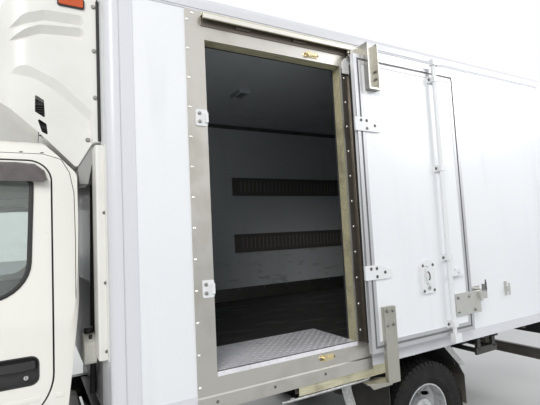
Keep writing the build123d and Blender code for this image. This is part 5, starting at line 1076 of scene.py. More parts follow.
JAMB_RIVET_INSET = 0.013
JAMB_RIVET_PITCH = 0.165
SILL_SCREW_X = (0.567, 0.232, -0.108)
SILL_SCREW_Z = 0.867
SILL_LIP_Y = FRAME_FACE_Y + 0.007
RECESS_X = -0.408
RECESS_Y = 1.094
REVEAL_BEAD = 0.006
RAIL_REACH = 0.046
RAIL_SHEET = 0.005
UPPER_LIP = 0.030
UPPER_RAIL_FRONT_X = 0.580
LOWER_RAIL_FRONT_X = 0.075


RAIL_TOP_HEIGHT = 0.058
LOWER_RAIL_HEIGHT = 0.062
RAIL_RETURN = (0.013, 0.004)
RAIL_CLIP_X = (0.330, -0.050)
RAIL_CLIP = (0.045, 0.040, 0.012)


def guide_rails():
    """The side door's two rails: an open-fronted channel above, a deeper one below the sill."""
    low, high = part_box("side_rails")
    lower_top = low.z + LOWER_RAIL_HEIGHT
    # The last number is the lip's slot: the upper lip takes the painted highlight, the lower lip plain
    # bronze.
    rails = ((UPPER_RAIL_FRONT_X, high.z - RAIL_TOP_HEIGHT, high.z, FRAME_FACE_Y, UPPER_LIP, 2),
             (LOWER_RAIL_FRONT_X, low.z, lower_top, FRAME_FACE_Y - RAIL_REACH, LOWER_RAIL_HEIGHT, 0))
    form = Form()
    for front, bottom, top, y, lip, lip_slot in rails:
        outer = y + RAIL_REACH
        inner = outer - RAIL_SHEET
        # The back web of each rail, and the clips below, take the dark bronze: painted shade inside the
        # channel, with grime.
        form.block((low.x, y, bottom), (front, y + RAIL_SHEET, top), slot=1)
        form.block((low.x, y + RAIL_SHEET, top - RAIL_SHEET), (front, outer, top))
        form.block((low.x, inner, top - lip), (front, outer, top - RAIL_SHEET), slot=lip_slot)
        form.block((low.x, outer - RAIL_RETURN[0], top - lip), (front, inner, top - lip + RAIL_RETURN[1]))
    half, below, above = RAIL_CLIP
    for x in RAIL_CLIP_X:
        form.block((x - half, FRAME_FACE_Y + 0.006, high.z - below),
                   (x + half, FRAME_FACE_Y + 0.018, high.z - above), slot=1)
    add_piece("guide_rails", form, "truck", "rail_bronze", BRONZE, SHADE_AND_GRIME_BRONZE, RAIL_LIP_HIGHLIGHT, bevel=0.001,
              replaces=("side_rails",))


def doorway_rivets():
    """Rivets down the front leg, in the rear leg's recess and at the head's corners."""
    x = FRAME_HIGH.x - JAMB_RIVET_INSET
    places = [(x, FRAME_FACE_Y, z) for _, _, z in
              spaced((0, 0, DOORWAY_SILL_Z - 0.064), (0, 0, DOORWAY_HEAD_Z + 0.097), JAMB_RIVET_PITCH)]
    places += spaced((RECESS_X, RECESS_Y, DOORWAY_SILL_Z + 0.06),
                     (RECESS_X, RECESS_Y, DOORWAY_HEAD_Z - 0.07), JAMB_RIVET_PITCH)
    places += [(x - 0.030, FRAME_FACE_Y, CEILING_Z - 0.020),
               (FRAME_LOW.x + 0.014, FRAME_FACE_Y, CEILING_Z - 0.020)]
    mesh = heads(rivet_head(), [(place, OUT["left"]) for place in places], RIVET_STEEL, 1.6)
    add_piece("doorway_rivets", mesh, "truck", "stainless")


def sill_screws():
    """Screws along the sill's lip."""
    places = [((x, SILL_LIP_Y, SILL_SCREW_Z), OUT["left"]) for x in SILL_SCREW_X]
    add_piece("sill_screws", heads(screw_head(), places, SCREW_STEEL, 0.8), "truck", "stainless")


def doorway_seal():
    """The dark bead around the doorway where the reveal meets the frame's face."""
    low, high = DOORWAY_REAR_X + 0.001, DOORWAY_FRONT_X - 0.001
    y, foot = WALL_INNER_Y + 0.004, FLOOR_Z + 0.004
    path = [(high, y, foot), (high, y, DOORWAY_HEAD_Z), (low, y, DOORWAY_HEAD_Z), (low, y, foot)]
    form = Form().tube(path, REVEAL_BEAD, 8, up=(0, 1, 0))
    add_piece("doorway_seal", form, "truck", "black_plastic", SOFT_RUBBER)


# The tread plate laid from the sill over the floor's edge
TREAD_INNER_Y = 0.640
TREAD_THICKNESS = 0.0025
TREAD_LIP = 0.003
TREAD_DROP = 0.024
LOZENGE_PITCH = 0.026


# Half of a lozenge's length, of its straight part and of its width, its height and its top's shrinkage
LOZENGE = (0.0105, 0.004, 0.0026, 0.0011)
LOZENGE_TOP = (0.72, 0.6)
LOZENGE_MARGIN = 0.016


def lozenge():
    """One raised grip of the tread plate."""
    form = Form()
    long, straight, wide, height = LOZENGE
    outline = [(long, 0), (straight, wide), (-straight, wide), (-long, 0), (-straight, -wide),
               (straight, -wide)]
    low = [(a, b, 0) for a, b in outline]
    high = [(a * LOZENGE_TOP[0], b * LOZENGE_TOP[1], height) for a, b in outline]
    rings = form.grid([low, high])
    form.mesh.faces.new(rings[-1])
    return form.mesh_named("lozenge")


def tread_plate():
    """The bright sheet over the floor's edge, its lip down the sill, and its grips."""
    low_x, high_x = DOORWAY_REAR_X + 0.001, DOORWAY_FRONT_X - 0.001
    top, lip_y = FLOOR_Z + TREAD_THICKNESS, FRAME_FACE_Y + TREAD_LIP
    foot = DOORWAY_SILL_Z - TREAD_DROP
    form = Form().block((low_x, TREAD_INNER_Y, FLOOR_Z), (high_x, WALL_INNER_Y, top))
    edge = [(FRAME_FACE_Y - 0.012, DOORWAY_SILL_Z), (lip_y, DOORWAY_SILL_Z), (lip_y, foot),
            (FRAME_FACE_Y, foot), (FRAME_FACE_Y, DOORWAY_SILL_Z - 0.001)]
    form.slab(edge, "YZ", low_x, high_x)
    add_piece("tread_plate", form, "truck", "stainless", TREAD_STEEL, bevel=0.0008)
    columns = round((high_x - low_x - 0.02) / LOZENGE_PITCH)
    rows = round((FRAME_FACE_Y - TREAD_INNER_Y - 0.02) / LOZENGE_PITCH)
    places = []
    for column in range(columns):
        for row in range(rows):
            x = low_x + LOZENGE_MARGIN + column * LOZENGE_PITCH
            y = TREAD_INNER_Y + LOZENGE_MARGIN + row * LOZENGE_PITCH
            level = top if y < WALL_INNER_Y else DOORWAY_SILL_Z
            turn = math.pi / 4 * (1 + 2 * ((row + column) % 2))
            places.append(((x, y, level), (0, 0, 1), turn))
    mesh = HEADS.grow(places_mesh(places), lozenge(), Size=1.0, Finish=TREAD_STEEL)
    add_piece("tread_lozenges", mesh, "truck", "stainless", smooth=0)


# Inside the hold
COVING = 0.034
COVING_SECTION = ((0.0005, 0.0005), (COVING, 0.0005), (COVING, 0.003), (0.020, 0.009), (0.009, 0.020),
                  (0.003, COVING), (0.0005, COVING))
KICK_PLATE_Z = 1.134
KICK_PLATE = 0.004
KICK_FOLD = 0.010
KICK_RIVET_PITCH = 0.30
KICK_RIVET_DROP = 0.016
HOLD_LAMP_PLACE = (-0.178, 0.010)
HOLD_LAMP_SIZE = (0.100, 0.200, 0.034)


def coving(start, end, into, up):
    """A sloping corner strip along an edge; into and up point away from the two faces."""
    into, up = Vector(into), Vector(up)
    rows = [[Vector(corner) + into * a + up * b for a, b in COVING_SECTION] for corner in (start, end)]
    form = Form()
    form.grid(rows, ends=True)
    return form.mesh_named("strip", merge=False)


def hold_covings():
    """Corner strips along the ceiling and up the front corners, near-black as the painted shadow line in
    those corners.
    """
    form = Form()
    y, low_x, high_x = WALL_INNER_Y, HOLD_REAR_X + 0.003, HOLD_FRONT_X
    for side in (LEFT, RIGHT):
        form.add(coving((low_x, side * y, CEILING_Z), (high_x, side * y, CEILING_Z),
                        (0, -side, 0), (0, 0, -1)))
        form.add(coving((high_x, side * y, KICK_PLATE_Z), (high_x, side * y, CEILING_Z),
                        (-1, 0, 0), (0, -side, 0)))
    form.add(coving((high_x, -y, CEILING_Z), (high_x, y, CEILING_Z), (-1, 0, 0), (0, 0, -1)))
    add_piece("hold_covings", form, "truck", "liner", LINER_PAINTED_SHADOW, smooth=50)


def kick_plates():
    """Aluminium plates along the foot of the walls, folded over at the top."""
    form = Form()
    y, low_x, high_x = WALL_INNER_Y, HOLD_REAR_X + 0.003, HOLD_FRONT_X
    for x0, x1 in ((low_x, FRAME_LOW.x), (FRAME_HIGH.x, high_x)):
        form.block((x0, y - KICK_PLATE, FLOOR_Z), (x1, y, KICK_PLATE_Z))
    form.block((low_x, -y, FLOOR_Z), (high_x, KICK_PLATE - y, KICK_PLATE_Z))
    form.block((high_x - KICK_PLATE, -y, FLOOR_Z), (high_x, y, KICK_PLATE_Z))
    for side, front in ((LEFT, FRAME_LOW.x), (RIGHT, high_x)):
        form.block((low_x, side * y, KICK_PLATE_Z),
                   (front, side * (y - KICK_FOLD), KICK_PLATE_Z + KICK_PLATE))
    add_piece("kick_plates", form, "truck", "galvanised", KICK_STEEL, bevel=0.0015)
    z = KICK_PLATE_Z - KICK_RIVET_DROP
    places = []
    for x, _, _ in spaced((low_x + 0.06, 0, 0), (high_x - 0.06, 0, 0), KICK_RIVET_PITCH):
        places.append(((x, KICK_PLATE - y, z), OUT["left"]))
        if not FRAME_LOW.x < x < FRAME_HIGH.x:
            places.append(((x, y - KICK_PLATE, z), OUT["right"]))
    add_piece("kick_plate_rivets", heads(rivet_head(), places, RIVET_STEEL), "truck", "stainless")


def hold_lamp():
    """The ceiling lamp: a white frame round a ribbed lens, the frame drawn in the grey liner trim as painted
    shade of the hold.
    """
    x, y = HOLD_LAMP_PLACE
    length, width, depth = HOLD_LAMP_SIZE
    outline = oblong(x - length / 2, x + length / 2, y - width / 2, y + width / 2, 0.014)
    form = Form().frame(outline, "XY", 0.016, CEILING_Z - depth, CEILING_Z)
    form.slab(taken_in(outline, 0.014), "XY", CEILING_Z - depth * 0.45, CEILING_Z, slot=1)
    add_piece("hold_lamp", form, "truck", "lamp_clear", LINER_TRIM_SHADED, DIM_LENS, bevel=0.002)


LASHING_SLOT_PITCH = 0.050
LASHING_RISES = (0.606, 1.229)
LASHING_BAR = (0.012, 0.0016, 0.124)


def lashing_slots():
    """The upright bars in the lashing boards."""
    low, high = part_box("lashing_rails")
    corner = Vector(LASHING_BAR) / 2
    bar = Form().block(-corner, corner).mesh_named("bar")
    form = Form()
    count = int((high.x - low.x - 0.06) / LASHING_SLOT_PITCH)
    for rise in LASHING_RISES:
        for side in (LEFT, RIGHT):
            form.add(ROW.grow(NO_PLACES, bar, Count=count,
                              Start=(low.x + 0.03, side * (high.y - 0.0072), FLOOR_Z + rise),
                              Step=(LASHING_SLOT_PITCH, 0, 0), Finish=BOARD_SLOT_AND_HIGHLIGHT))
    add_piece("lashing_slots", form, "truck", "galvanised", BOARD_SLOT_AND_HIGHLIGHT, smooth=0)


# Evaporator: outlet grille, and the rings and spokes of the fan guards under it
OUTLET_HALF_Y = 0.50
OUTLET_FINS = (13, 0.0076)
EVAPORATOR_FACE = 0.156
FAN_Y = (-0.26, 0.26)
GUARD_RINGS = (0.150, 0.122, 0.094, 0.066, 0.038)
GUARD_WIRE = 0.004
GUARD_SPOKE = (3, 0.152, 0.003)
GUARD_RIM = ((-0.010, 0.150), (-0.010, 0.172), (0.004, 0.172), (0.008, 0.158))
GUARD_BACK = ((-0.009, 0), (-0.009, 0.150), (-0.008, 0.150), (-0.008, 0))


def fan_guard():
    """Wire rings and spokes in a moulded rim over a dark back, drawn round the origin."""
    guard = Form()
    for radius in GUARD_RINGS:
        wire = [(GUARD_WIRE * math.cos(a), radius + GUARD_WIRE * math.sin(a)) for a in
                (0, 1.26, 2.51, 3.77, 5.03)]
        guard.turned(wire, ORIGIN, "Z", 40, slot=1)
    spokes, reach, thick = GUARD_SPOKE
    for number in range(spokes):
        angle = math.pi * number / spokes
        x, y = reach * math.cos(angle), reach * math.sin(angle)
        guard.rod((-x, -y, thick), (x, y, thick), thick, sides=8, slot=1)
    guard.turned(GUARD_RIM, ORIGIN, "Z", 40)
    return guard.turned(GUARD_BACK, ORIGIN, "Z", 40, slot=1, closed=False)


def evaporator_front():
    """Outlet grille and the two fan guards on the sloping face below it."""
    low, high = part_box("evaporator")
    form = Form()
    rear, face_low = low.x, high.z - EVAPORATOR_FACE
    outline = oblong(-OUTLET_HALF_Y, OUTLET_HALF_Y, face_low + 0.020, high.z - 0.018, 0.012)
    form.frame(outline, "YZ", 0.012, rear - 0.012, rear + 0.002)
    fin = Form().block((rear - 0.009, -0.488, -0.0012), (rear - 0.001, 0.488, 0.0012)).mesh_named("fin")
    count, step = OUTLET_FINS
    form.add(ROW.grow(NO_PLACES, fin, Count=count, Start=(0, 0, face_low + 0.035), Step=(0, 0, step),
                      Finish=WHITE_PLASTIC))
    slope = Vector((high.x - low.x, 0, low.z - face_low)).normalized()
    down = Vector((slope.z, 0, -slope.x))
    turn = down.to_track_quat("Z", "Y").to_matrix().to_4x4()
    for y in FAN_Y:
        centre = Vector(((low.x + high.x) / 2, y, (face_low + low.z) / 2)) + down * 0.006
        form.add(fan_guard().turn(Matrix.Translation(centre) @ turn).mesh_named("guard"))
    add_piece("evaporator_grilles", form, "truck", "panel_white", WHITE_PLASTIC, BLACK_PLASTIC,
              bevel=0.0006)


# The side door: paint by place, its screws, handle and latch


DOOR_EDGE_Y = 1.188
DOOR_FRONT_X = DOOR_HIGH.x
DOOR_REAR_X = DOOR_LOW.x
PLUG_INNER_Y = 1.13
EDGING_INNER_Y = 1.17
EDGING_LINES = (0.022, 0.041)
EDGING_WIDTH = 0.065
HOOK_RISES = (0.486, 1.420)
ROD_X = DOOR_FRONT_X - 0.722
ROD_GUIDE_Z = tuple(DOOR_LOW.z + rise for rise in (0.079, 0.532, 1.157)) + (DOOR_HIGH.z - 0.082,)


def door_colour(place, normal):
    """White skin, an aluminium edging with a dull line in it, and lining on the plug's inside."""
    if normal.y < -0.5 and place.y < PLUG_INNER_Y:
        return LINER
    edge = min(DOOR_FRONT_X - place.x, place.x - DOOR_REAR_X, DOOR_HIGH.z - place.z,
               place.z - DOOR_LOW.z)
    if place.y > DOOR_EDGE_Y - 0.0035 and edge < EDGING_WIDTH and normal.y > 0.5:
        return ALUMINIUM
    if place.y > EDGING_INNER_Y and edge < EDGING_LINES[1]:
        return ALUMINIUM if edge < EDGING_LINES[0] else DULL_EDGING
    return PANEL


# The brass catches on the frame: along the truck, above a height and inside a face
CATCH_X = (-0.20, -0.05)
CATCH_LOW_Z = 0.9
CATCH_FACE_Y = 1.130
# The hanger at the door's top: from the door's front edge, and above a height
HANGER_ALONG = (0.07, 0.215)
HANGER_LOW_Z = 2.58
KEEPERS_X = 0.5
# The other fittings' finishes: spans from the door's front edge and up; the first one that fits counts
ANY = math.inf
FITTING_ZONES = (
    (ZINC_OLIVE, (0.07, 0.215), (-ANY, 1.215)),
    (ZINC_OLIVE, (-ANY, 0.08), (-ANY, 0.83)),
    (ZINC_OLIVE, (-ANY, 0.08), (2.79, ANY)),
    (HOLDER_STEEL, (0.785, 1.14), (-ANY, 1.26)),
    (HOLDER_STEEL, (1.1, ANY), (-ANY, ANY)),
)


def fitting_colour(place, normal):
    """Zinc for the arms and hanger, with a darker copy on the hanger's faces that do not face out as painted
    shade; steel for the holder, white for the rest, brass for catches.
    """
    along = DOOR_FRONT_X - place.x
    if within(place.x, CATCH_X) and place.z > CATCH_LOW_Z and place.y < CATCH_FACE_Y:
        return BRASS
    if place.x > KEEPERS_X:
        return WHITE_METAL
    if within(along, HANGER_ALONG) and place.z > HANGER_LOW_Z:
        # Faces that face out keep the olive zinc; the others take the darker copy as painted shade in the
        # channel.
        return ZINC_OLIVE if normal.y > 0.5 else HANGER_SHADED_STEEL
    for finish, span, heights in FITTING_ZONES:
        if within(along, span) and within(place.z, heights):
            return finish
    return WHITE_METAL


# Fasteners of the side door's fittings: (from the door's front edge, above its foot)
HANGER_CHEEK_X = -0.585
HANGER_CHEEK_Z = (2.717, 2.667)
HOOK_SCREWS = ((0.024, 0.024), (0.070, 0.024), (0.070, -0.026), (0.138, -0.004))
GUIDE_SCREWS = (-0.031, 0.031)
PLATE_SCREWS = ((0.476, 0.326), (0.573, 0.326), (0.476, 0.494), (0.573, 0.494))
HOLDER_BOLTS = ((0.812, 0.146), (0.812, 0.242), (0.990, 0.142), (0.930, 0.242))
HANGER_BOLT_ALONG = 0.197
HANGER_BOLT_Z = (2.632, 2.752)
ARM_BOLTS = ((0.116, 0.160), (0.116, 0.245), (0.164, 0.160), (0.164, 0.245))


def door_screws():
    """Screws of the hooks, guides, handle plate, holder, hanger and lower arm."""
    def on_door(places, y, foot=DOOR_LOW.z):
        return [((DOOR_FRONT_X - along, y, foot + rise), OUT["left"]) for along, rise in places]

    screws = []
    for rise in HOOK_RISES:
        screws += on_door(HOOK_SCREWS, 1.197, DOOR_LOW.z + rise)
    for z in ROD_GUIDE_Z:
        screws += [((ROD_X + along, 1.195, z), OUT["left"]) for along in GUIDE_SCREWS]
    screws += on_door(PLATE_SCREWS, 1.200)
    screws += [((HANGER_CHEEK_X, 1.200, z), (1, 0, 0)) for z in HANGER_CHEEK_Z]
    bolts = on_door(HOLDER_BOLTS, 1.196)
    bolts += on_door([(HANGER_BOLT_ALONG, z) for z in HANGER_BOLT_Z], 1.196, 0)
    bolts += on_door(ARM_BOLTS, 1.212)
    add_piece("door_screws", heads(screw_head(), screws, SCREW_STEEL), "truck", "stainless")
    add_piece("door_bolts", heads(bolt_head(), bolts, BOLT_STEEL), "truck", "galvanised")


# Keepers on the frame's front leg and catches on its sill and head
KEEPER_Z = (1.432, 2.324)
CATCHES = ((1.195, 0.954), (1.207, 2.792))


def keeper_screws():
    """Two screws in each brass catch and two bolts in each of the hooks' keepers."""
    screws, bolts = [], []
    for z in KEEPER_Z:
        for up in (-0.022, 0.022):
            bolts.append(((DOORWAY_FRONT_X + 0.046, FRAME_FACE_Y + 0.009, z + up), OUT["left"]))
    for behind, z in CATCHES:
        for along in (-0.046, 0.046):
            screws.append(((FRONT_HIGH.x - behind + along, FRAME_FACE_Y + 0.006, z), OUT["left"]))
    add_piece("catch_screws", heads(screw_head(), screws, SCREW_STEEL, 0.8), "truck", "stainless")
    add_piece("keeper_bolts", heads(bolt_head(), bolts, BOLT_STEEL, 0.8), "truck", "stainless")


HANDLE_MIDDLE = (DOOR_FRONT_X - 0.5245, 1.200, DOOR_LOW.z + 0.4165)


# The side door's handle, out from its middle. Outlines: back, front, foot, top and corner radius
PADDLE = (-0.018, 0.020, -0.012, 0.060, 0.010)
PADDLE_FOOT = (-0.014, 0.016, -0.046, -0.010, 0.008)
PADDLE_GRIP = ((0.008, 0.008, -0.020), (0.008, 0.018, -0.010), (0.008, 0.018, 0.024), (0.008, 0.004, 0.036))
KEY_CYLINDER = ((0.001, -0.004, -0.072), (0.001, 0.006, -0.072))
KEY_SLOT = ((-0.0005, 0.0055, -0.078), (0.0025, 0.0065, -0.066))
PADDLE_BACK = 0.006


def door_handle():
    """The paddle in the handle's pocket and the key cylinder below it."""
    x, y, z = HANDLE_MIDDLE
    grip = Form()
    for (back, front, foot, top, radius), out in ((PADDLE, 0.002), (PADDLE_FOOT, 0.010)):
        grip.slab(oblong(x + back, x + front, z + foot, z + top, radius), "XZ", y - PADDLE_BACK, y + out,
                  slot=2)
    cylinder, slot, pull = ([(x + along, y + out, z + up) for along, out, up in places]
                            for places in (KEY_CYLINDER, KEY_SLOT, PADDLE_GRIP))
    grip.rod(*cylinder, 0.014, sides=24, slot=1)
    grip.block(*slot, slot=0)
    grip.tube(pull, 0.004, 10, up=(1, 0, 0))
    add_piece("door_handle", grip, "truck", "stainless", BLACK_METAL, FITTING_STEEL, WHITE_METAL,
              bevel=0.0012)


GASKET_INSET = (0.024, 0.048)
GASKET_WIDTH = 0.014


def door_gasket():
    """The double rubber lip around the door's plug that closes on the frame."""
    across, up = GASKET_INSET
    low_x, high_x = DOOR_REAR_X + across, DOOR_FRONT_X - across
    low_z, high_z = DOOR_LOW.z + up, DOOR_HIGH.z - up
    outline = [(low_x, low_z), (high_x, low_z), (high_x, high_z), (low_x, high_z)]
    form = Form().frame(outline, "XZ", GASKET_WIDTH, 1.1135, 1.134)
    form.frame(taken_in(outline, -0.006), "XZ", 0.012, 1.136, 1.1575)
    add_piece("door_gasket", form, "truck", "black_plastic", SOFT_RUBBER, bevel=0.002)


SPRING_TURNS = 9
SPRING_RADIUS = 0.0085
SPRING_RISE = 0.052
SPRING_STEPS = 12


def latch_spring():
    """The coil spring and its pin on the latch that holds the open door."""
    x, y, z = DOOR_FRONT_X - 1.108, 1.2135, DOOR_LOW.z + 0.300
    path = []
    for step in range(SPRING_TURNS * SPRING_STEPS + 1):
        angle = 2 * math.pi * step / SPRING_STEPS
        rise = SPRING_RISE * step / (SPRING_TURNS * SPRING_STEPS) - SPRING_RISE / 2
        out = SPRING_RADIUS * math.sin(angle) * 0.8
        path.append((x + SPRING_RADIUS * math.cos(angle), y + out, z + rise))
    form = Form().tube(path, 0.0014, 6)
    form.rod((x, y, z - 0.040), (x, y, z + 0.044), 0.0042, sides=10)
    add_piece("latch_spring", form, "truck", "black_frame", BLACK_METAL)


SILL_PIPE = ((0.190, 1.098, 0.767), (0.160, 1.098, 0.765), (-0.430, 1.098, 0.765), (-0.455, 1.090, 0.775))
SILL_PIPE_CLIPS = (0.120, -0.160, -0.420)


def sill_pipe():
    """The thin pipe under the sill, ahead of the lower rail, on its clips."""
    form = Form().tube(SILL_PIPE, 0.008, 12)
    for x in SILL_PIPE_CLIPS:
        form.block((x - 0.012, 1.086, 0.756), (x + 0.012, 1.100, 0.7775))
    add_piece("lower_rail_tube", form, "truck", "galvanised", ZINC, bevel=0.001)


CORNER_BLOCK = ((-0.464, 2.712, 0.004), (-0.382, 2.712, 0.004), (-0.382, 2.786, 0.022),
                (-0.410, 2.818, 0.010), (-0.464, 2.818, 0.004))


def wall_corner_block():
    """The white block on the wall above the recess, behind the open door's top."""
    form = Form().slab(rounded(CORNER_BLOCK), "XZ", FRAME_FACE_Y, 1.1115)
    add_piece("wall_corner_block", form, "truck", "rail_white", WHITE_PLASTIC, bevel=0.001)


# The refrigeration unit's cover, its lamp and what stands between it and the cab

UNIT_TOP_Z = part_box("refrigeration_covers")[1].z
COVER_HALF_Y = 0.900
COVER_SEAL_X = (1.0652, 1.0800)
COVER_BOLTS = ((0.026, 0.062), (0.026, 0.300), (0.024, 0.548), (0.060, 0.765))
DUCT_SCREW_X = 1.0705
DUCT_SCREW_Z = (1.838, 1.501, 1.180)
MARKER_LAMP_X = (1.134, 1.260)
MARKER_LAMP_Z = (2.895, 2.950)


def cover_bolts():
    """Bolts down the cover's rear flanges, and screws in the duct's edge below it."""
    bolts = []
    for side in (LEFT, RIGHT):
        for ahead, below in COVER_BOLTS:
            x, z = FRONT_HIGH.x + ahead, UNIT_TOP_Z - below
            y = surface_y(x, z, side)
            if y:
                bolts.append(((x, side * y, z), (0, side, 0)))
    add_piece("cover_bolts", heads(bolt_head(), bolts, BOLT_STEEL, 0.95), "truck", "stainless")
    screws = []
    for z in DUCT_SCREW_Z:
        y = surface_y(DUCT_SCREW_X, z, LEFT)
        if y:
            screws.append(((DUCT_SCREW_X, y, z), OUT["left"]))
    add_piece("duct_screws", heads(screw_head(), screws, SCREW_STEEL, 0.8), "truck", "stainless")


def cover_edge_seal():
    """Black foam between the cover's flange and the box, down both sides and along the top, which also
    darkens the gap there as painted shadow.
    """
    form = Form()
    for side in (LEFT, RIGHT):
        y0, y1 = side * (COVER_HALF_Y - 0.004), side * (COVER_HALF_Y + 0.010)
        form.block((COVER_SEAL_X[0], y0, 2.210), (COVER_SEAL_X[1], y1, UNIT_TOP_Z - 0.030))
    form.block((COVER_SEAL_X[0], -COVER_HALF_Y, UNIT_TOP_Z - 0.034),
               (COVER_SEAL_X[1], COVER_HALF_Y, UNIT_TOP_Z - 0.016))
    add_piece("cover_edge_seal", form, "truck", "black_plastic", SOFT_RUBBER, bevel=0.003)


# The side vents' corners, ahead of the box and below the cover's top
VENTS = (((0.252, 0.602), (0.295, 0.585), (0.296, 0.664), (0.254, 0.688)),
         ((0.243, 0.722), (0.285, 0.700), (0.267, 0.758), (0.241, 0.773)))
VENT_DEPTH = 0.052
BLADE_PITCH = 0.012
BLADE_REACH = 0.016


def vent_mesh():
    """Black louvre blades deep in the cover's four side vents."""
    form = Form()
    for side in (LEFT, RIGHT):
        depth = side * (COVER_HALF_Y - VENT_DEPTH)
        for corners in VENTS:
            aheads, belows = zip(*corners)
            outline = [(FRONT_HIGH.x + ahead, UNIT_TOP_Z - below) for ahead, below in corners]
            form.slab(outline, "XZ", depth, depth + side * 0.002)
            x0 = FRONT_HIGH.x + min(aheads) + 0.004
            x1 = FRONT_HIGH.x + max(aheads) - 0.004
            for number in range(int((max(belows) - min(belows) - 0.02) / BLADE_PITCH)):
                z = UNIT_TOP_Z - min(belows) - 0.018 - BLADE_PITCH * number
                form.block((x0, depth, z), (x1, depth + side * BLADE_REACH, z + 0.0022))
    add_piece("vent_mesh", form, "truck", "black_plastic", BLACK_PLASTIC)


def cover_marker_lamps():
    """The amber side lamp let into the cover's upper edge, one on each side."""
    x0, x1 = MARKER_LAMP_X
    z0, z1 = MARKER_LAMP_Z
    form = Form()
    for side in (LEFT, RIGHT):
        y = side * min(surface_y(x0 + 0.01, (z0 + z1) / 2, side) or COVER_HALF_Y, COVER_HALF_Y + 0.001)
        outline = oblong(x0, x1, z0, z1, 0.012)
        form.frame(outline, "XZ", 0.007, y - side * 0.004, y + side * 0.010, slot=1)
        form.slab(taken_in(outline, 0.006), "XZ", y - side * 0.004, y + side * 0.014)
    add_piece("cover_marker_lamps", form, "truck", "lens_red", AMBER_LENS, BLACK_PLASTIC, bevel=0.002)


BOTTLE = ((0.725, 1.110, 0.016), (0.800, 1.085, 0.016), (0.855, 1.100, 0.020), (0.855, 1.200, 0.026),
          (0.815, 1.232, 0.020), (0.715, 1.232, 0.026))
BOTTLE_X = (1.0975, 1.155)


def coolant_bottle():
    """The coolant bottle on the box's front wall, with its cap, spout and bracket."""
    body = Form().slab(rounded(BOTTLE), "YZ", *BOTTLE_X)
    body.rod((1.124, 0.755, 1.230), (1.124, 0.755, 1.262), 0.022, sides=24, slot=1)
    body.rod((1.124, 0.830, 1.215), (1.124, 0.830, 1.236), 0.008, sides=12, slot=1)
    body.block((1.0935, 0.712, 1.128), (1.0965, 0.865, 1.150), slot=1)
    add_piece("coolant_bottle", body, "truck", "cover_white", BOTTLE_PLASTIC, BLACK_PLASTIC,
              bevel=0.006)


# Pipes down the box's front wall: radius, sides and path
WALL_PIPES = (
    (0.016, 14, ((1.085, 0.700, 2.010), (1.085, 0.700, 1.900), (1.090, 0.690, 1.500),
                 (1.090, 0.640, 1.100), (1.090, 0.600, 0.880))),
    (0.011, 12, ((1.082, 0.660, 2.010), (1.082, 0.655, 1.900), (1.084, 0.645, 1.500),
                 (1.084, 0.600, 1.100), (1.084, 0.560, 0.880))),
)
WALL_PIPE_CLIPS = (1.85, 1.50, 1.15)


def front_wall_pipes():
    """Lagged refrigerant pipes and a loom from the unit down the box's front wall."""
    form = Form()
    for radius, sides, path in WALL_PIPES:
        form.tube(path, radius, sides, up=(1, 0, 0))
    for z in WALL_PIPE_CLIPS:
        form.block((1.0652, 0.585, z), (1.072, 0.735, z + 0.018), slot=1)
    add_piece("front_wall_pipes", form, "truck", "black_plastic", SOFT_RUBBER, ZINC)


# The kick sheet: half its width, its foot and head, thickness, and its ribs' number and depth
KICK_SHEET_HALF_Y = 0.82
KICK_SHEET_Z = (0.862, 1.452)
KICK_SHEET = 0.0016
KICK_RIBS = 16
KICK_RIB_DEPTH = 0.0045


def front_wall_sheet():
    """The ribbed aluminium kick sheet on the lower part of the box's front wall."""
    low, high = KICK_SHEET_Z
    rows = []
    for number in range(KICK_RIBS * 4 + 1):
        y = KICK_SHEET_HALF_Y * (number / (KICK_RIBS * 2) - 1)
        x = FRONT_HIGH.x + 0.0005 + (KICK_RIB_DEPTH if number % 4 in (1, 2) else 0.0)
        rows.append([(x, y, low), (x, y, high), (x + KICK_SHEET, y, high), (x + KICK_SHEET, y, low)])
    form = Form()
    form.grid(rows, ends=True)
    add_piece("front_wall_sheet", form, "truck", "galvanised", ALUMINIUM, smooth=20)


# The cab: rubbers, trim, handles, lamps and wipers laid on its own surface


def in_steps(outline, step, closed):
    """The outline's points with more laid between them, about a step apart."""
    path = []
    for (a0, b0), (a1, b1) in zip(outline, outline[1:] + (outline[:1] if closed else [])):
        parts = max(1, round(math.hypot(a1 - a0, b1 - b0) / step))
        path += [(a0 + (a1 - a0) * part / parts, b0 + (b1 - b0) * part / parts) for part in range(parts)]
    return path if closed else path + [outline[-1]]


def on_side_surface(node, outline, side, out=0.0, step=0.04, closed=True):
    """An (x, z) outline laid on a node's outer side, each point moved out a little."""
    hits = [(x, struck(node, (x, side * CAB_SIDE_START, z), (0, -side, 0)), z)
            for x, z in in_steps(outline, step, closed)]
    return [(x, hit.y + side * out, z) for x, hit, z in hits if hit]


def on_front_surface(node, outline, out=0.0, step=0.04, closed=True, way=1, start=FRONT_START):
    """A (y, z) outline laid on a node's front (way 1) or back (way -1)."""
    hits = [(struck(node, (start, y, z), (-way, 0, 0)), y, z) for y, z in in_steps(outline, step, closed)]
    return [(hit.x + way * out, y, z) for hit, y, z in hits if hit]


def rubber_ring(width, proud):
    """A flat-bottomed rubber profile with a rounded back."""
    half = width / 2
    return [(-half, -0.003), (half, -0.003), (half, proud * 0.4), (half * 0.6, proud * 0.9),
            (0, proud), (-half * 0.6, proud * 0.9), (-half, proud * 0.4)]


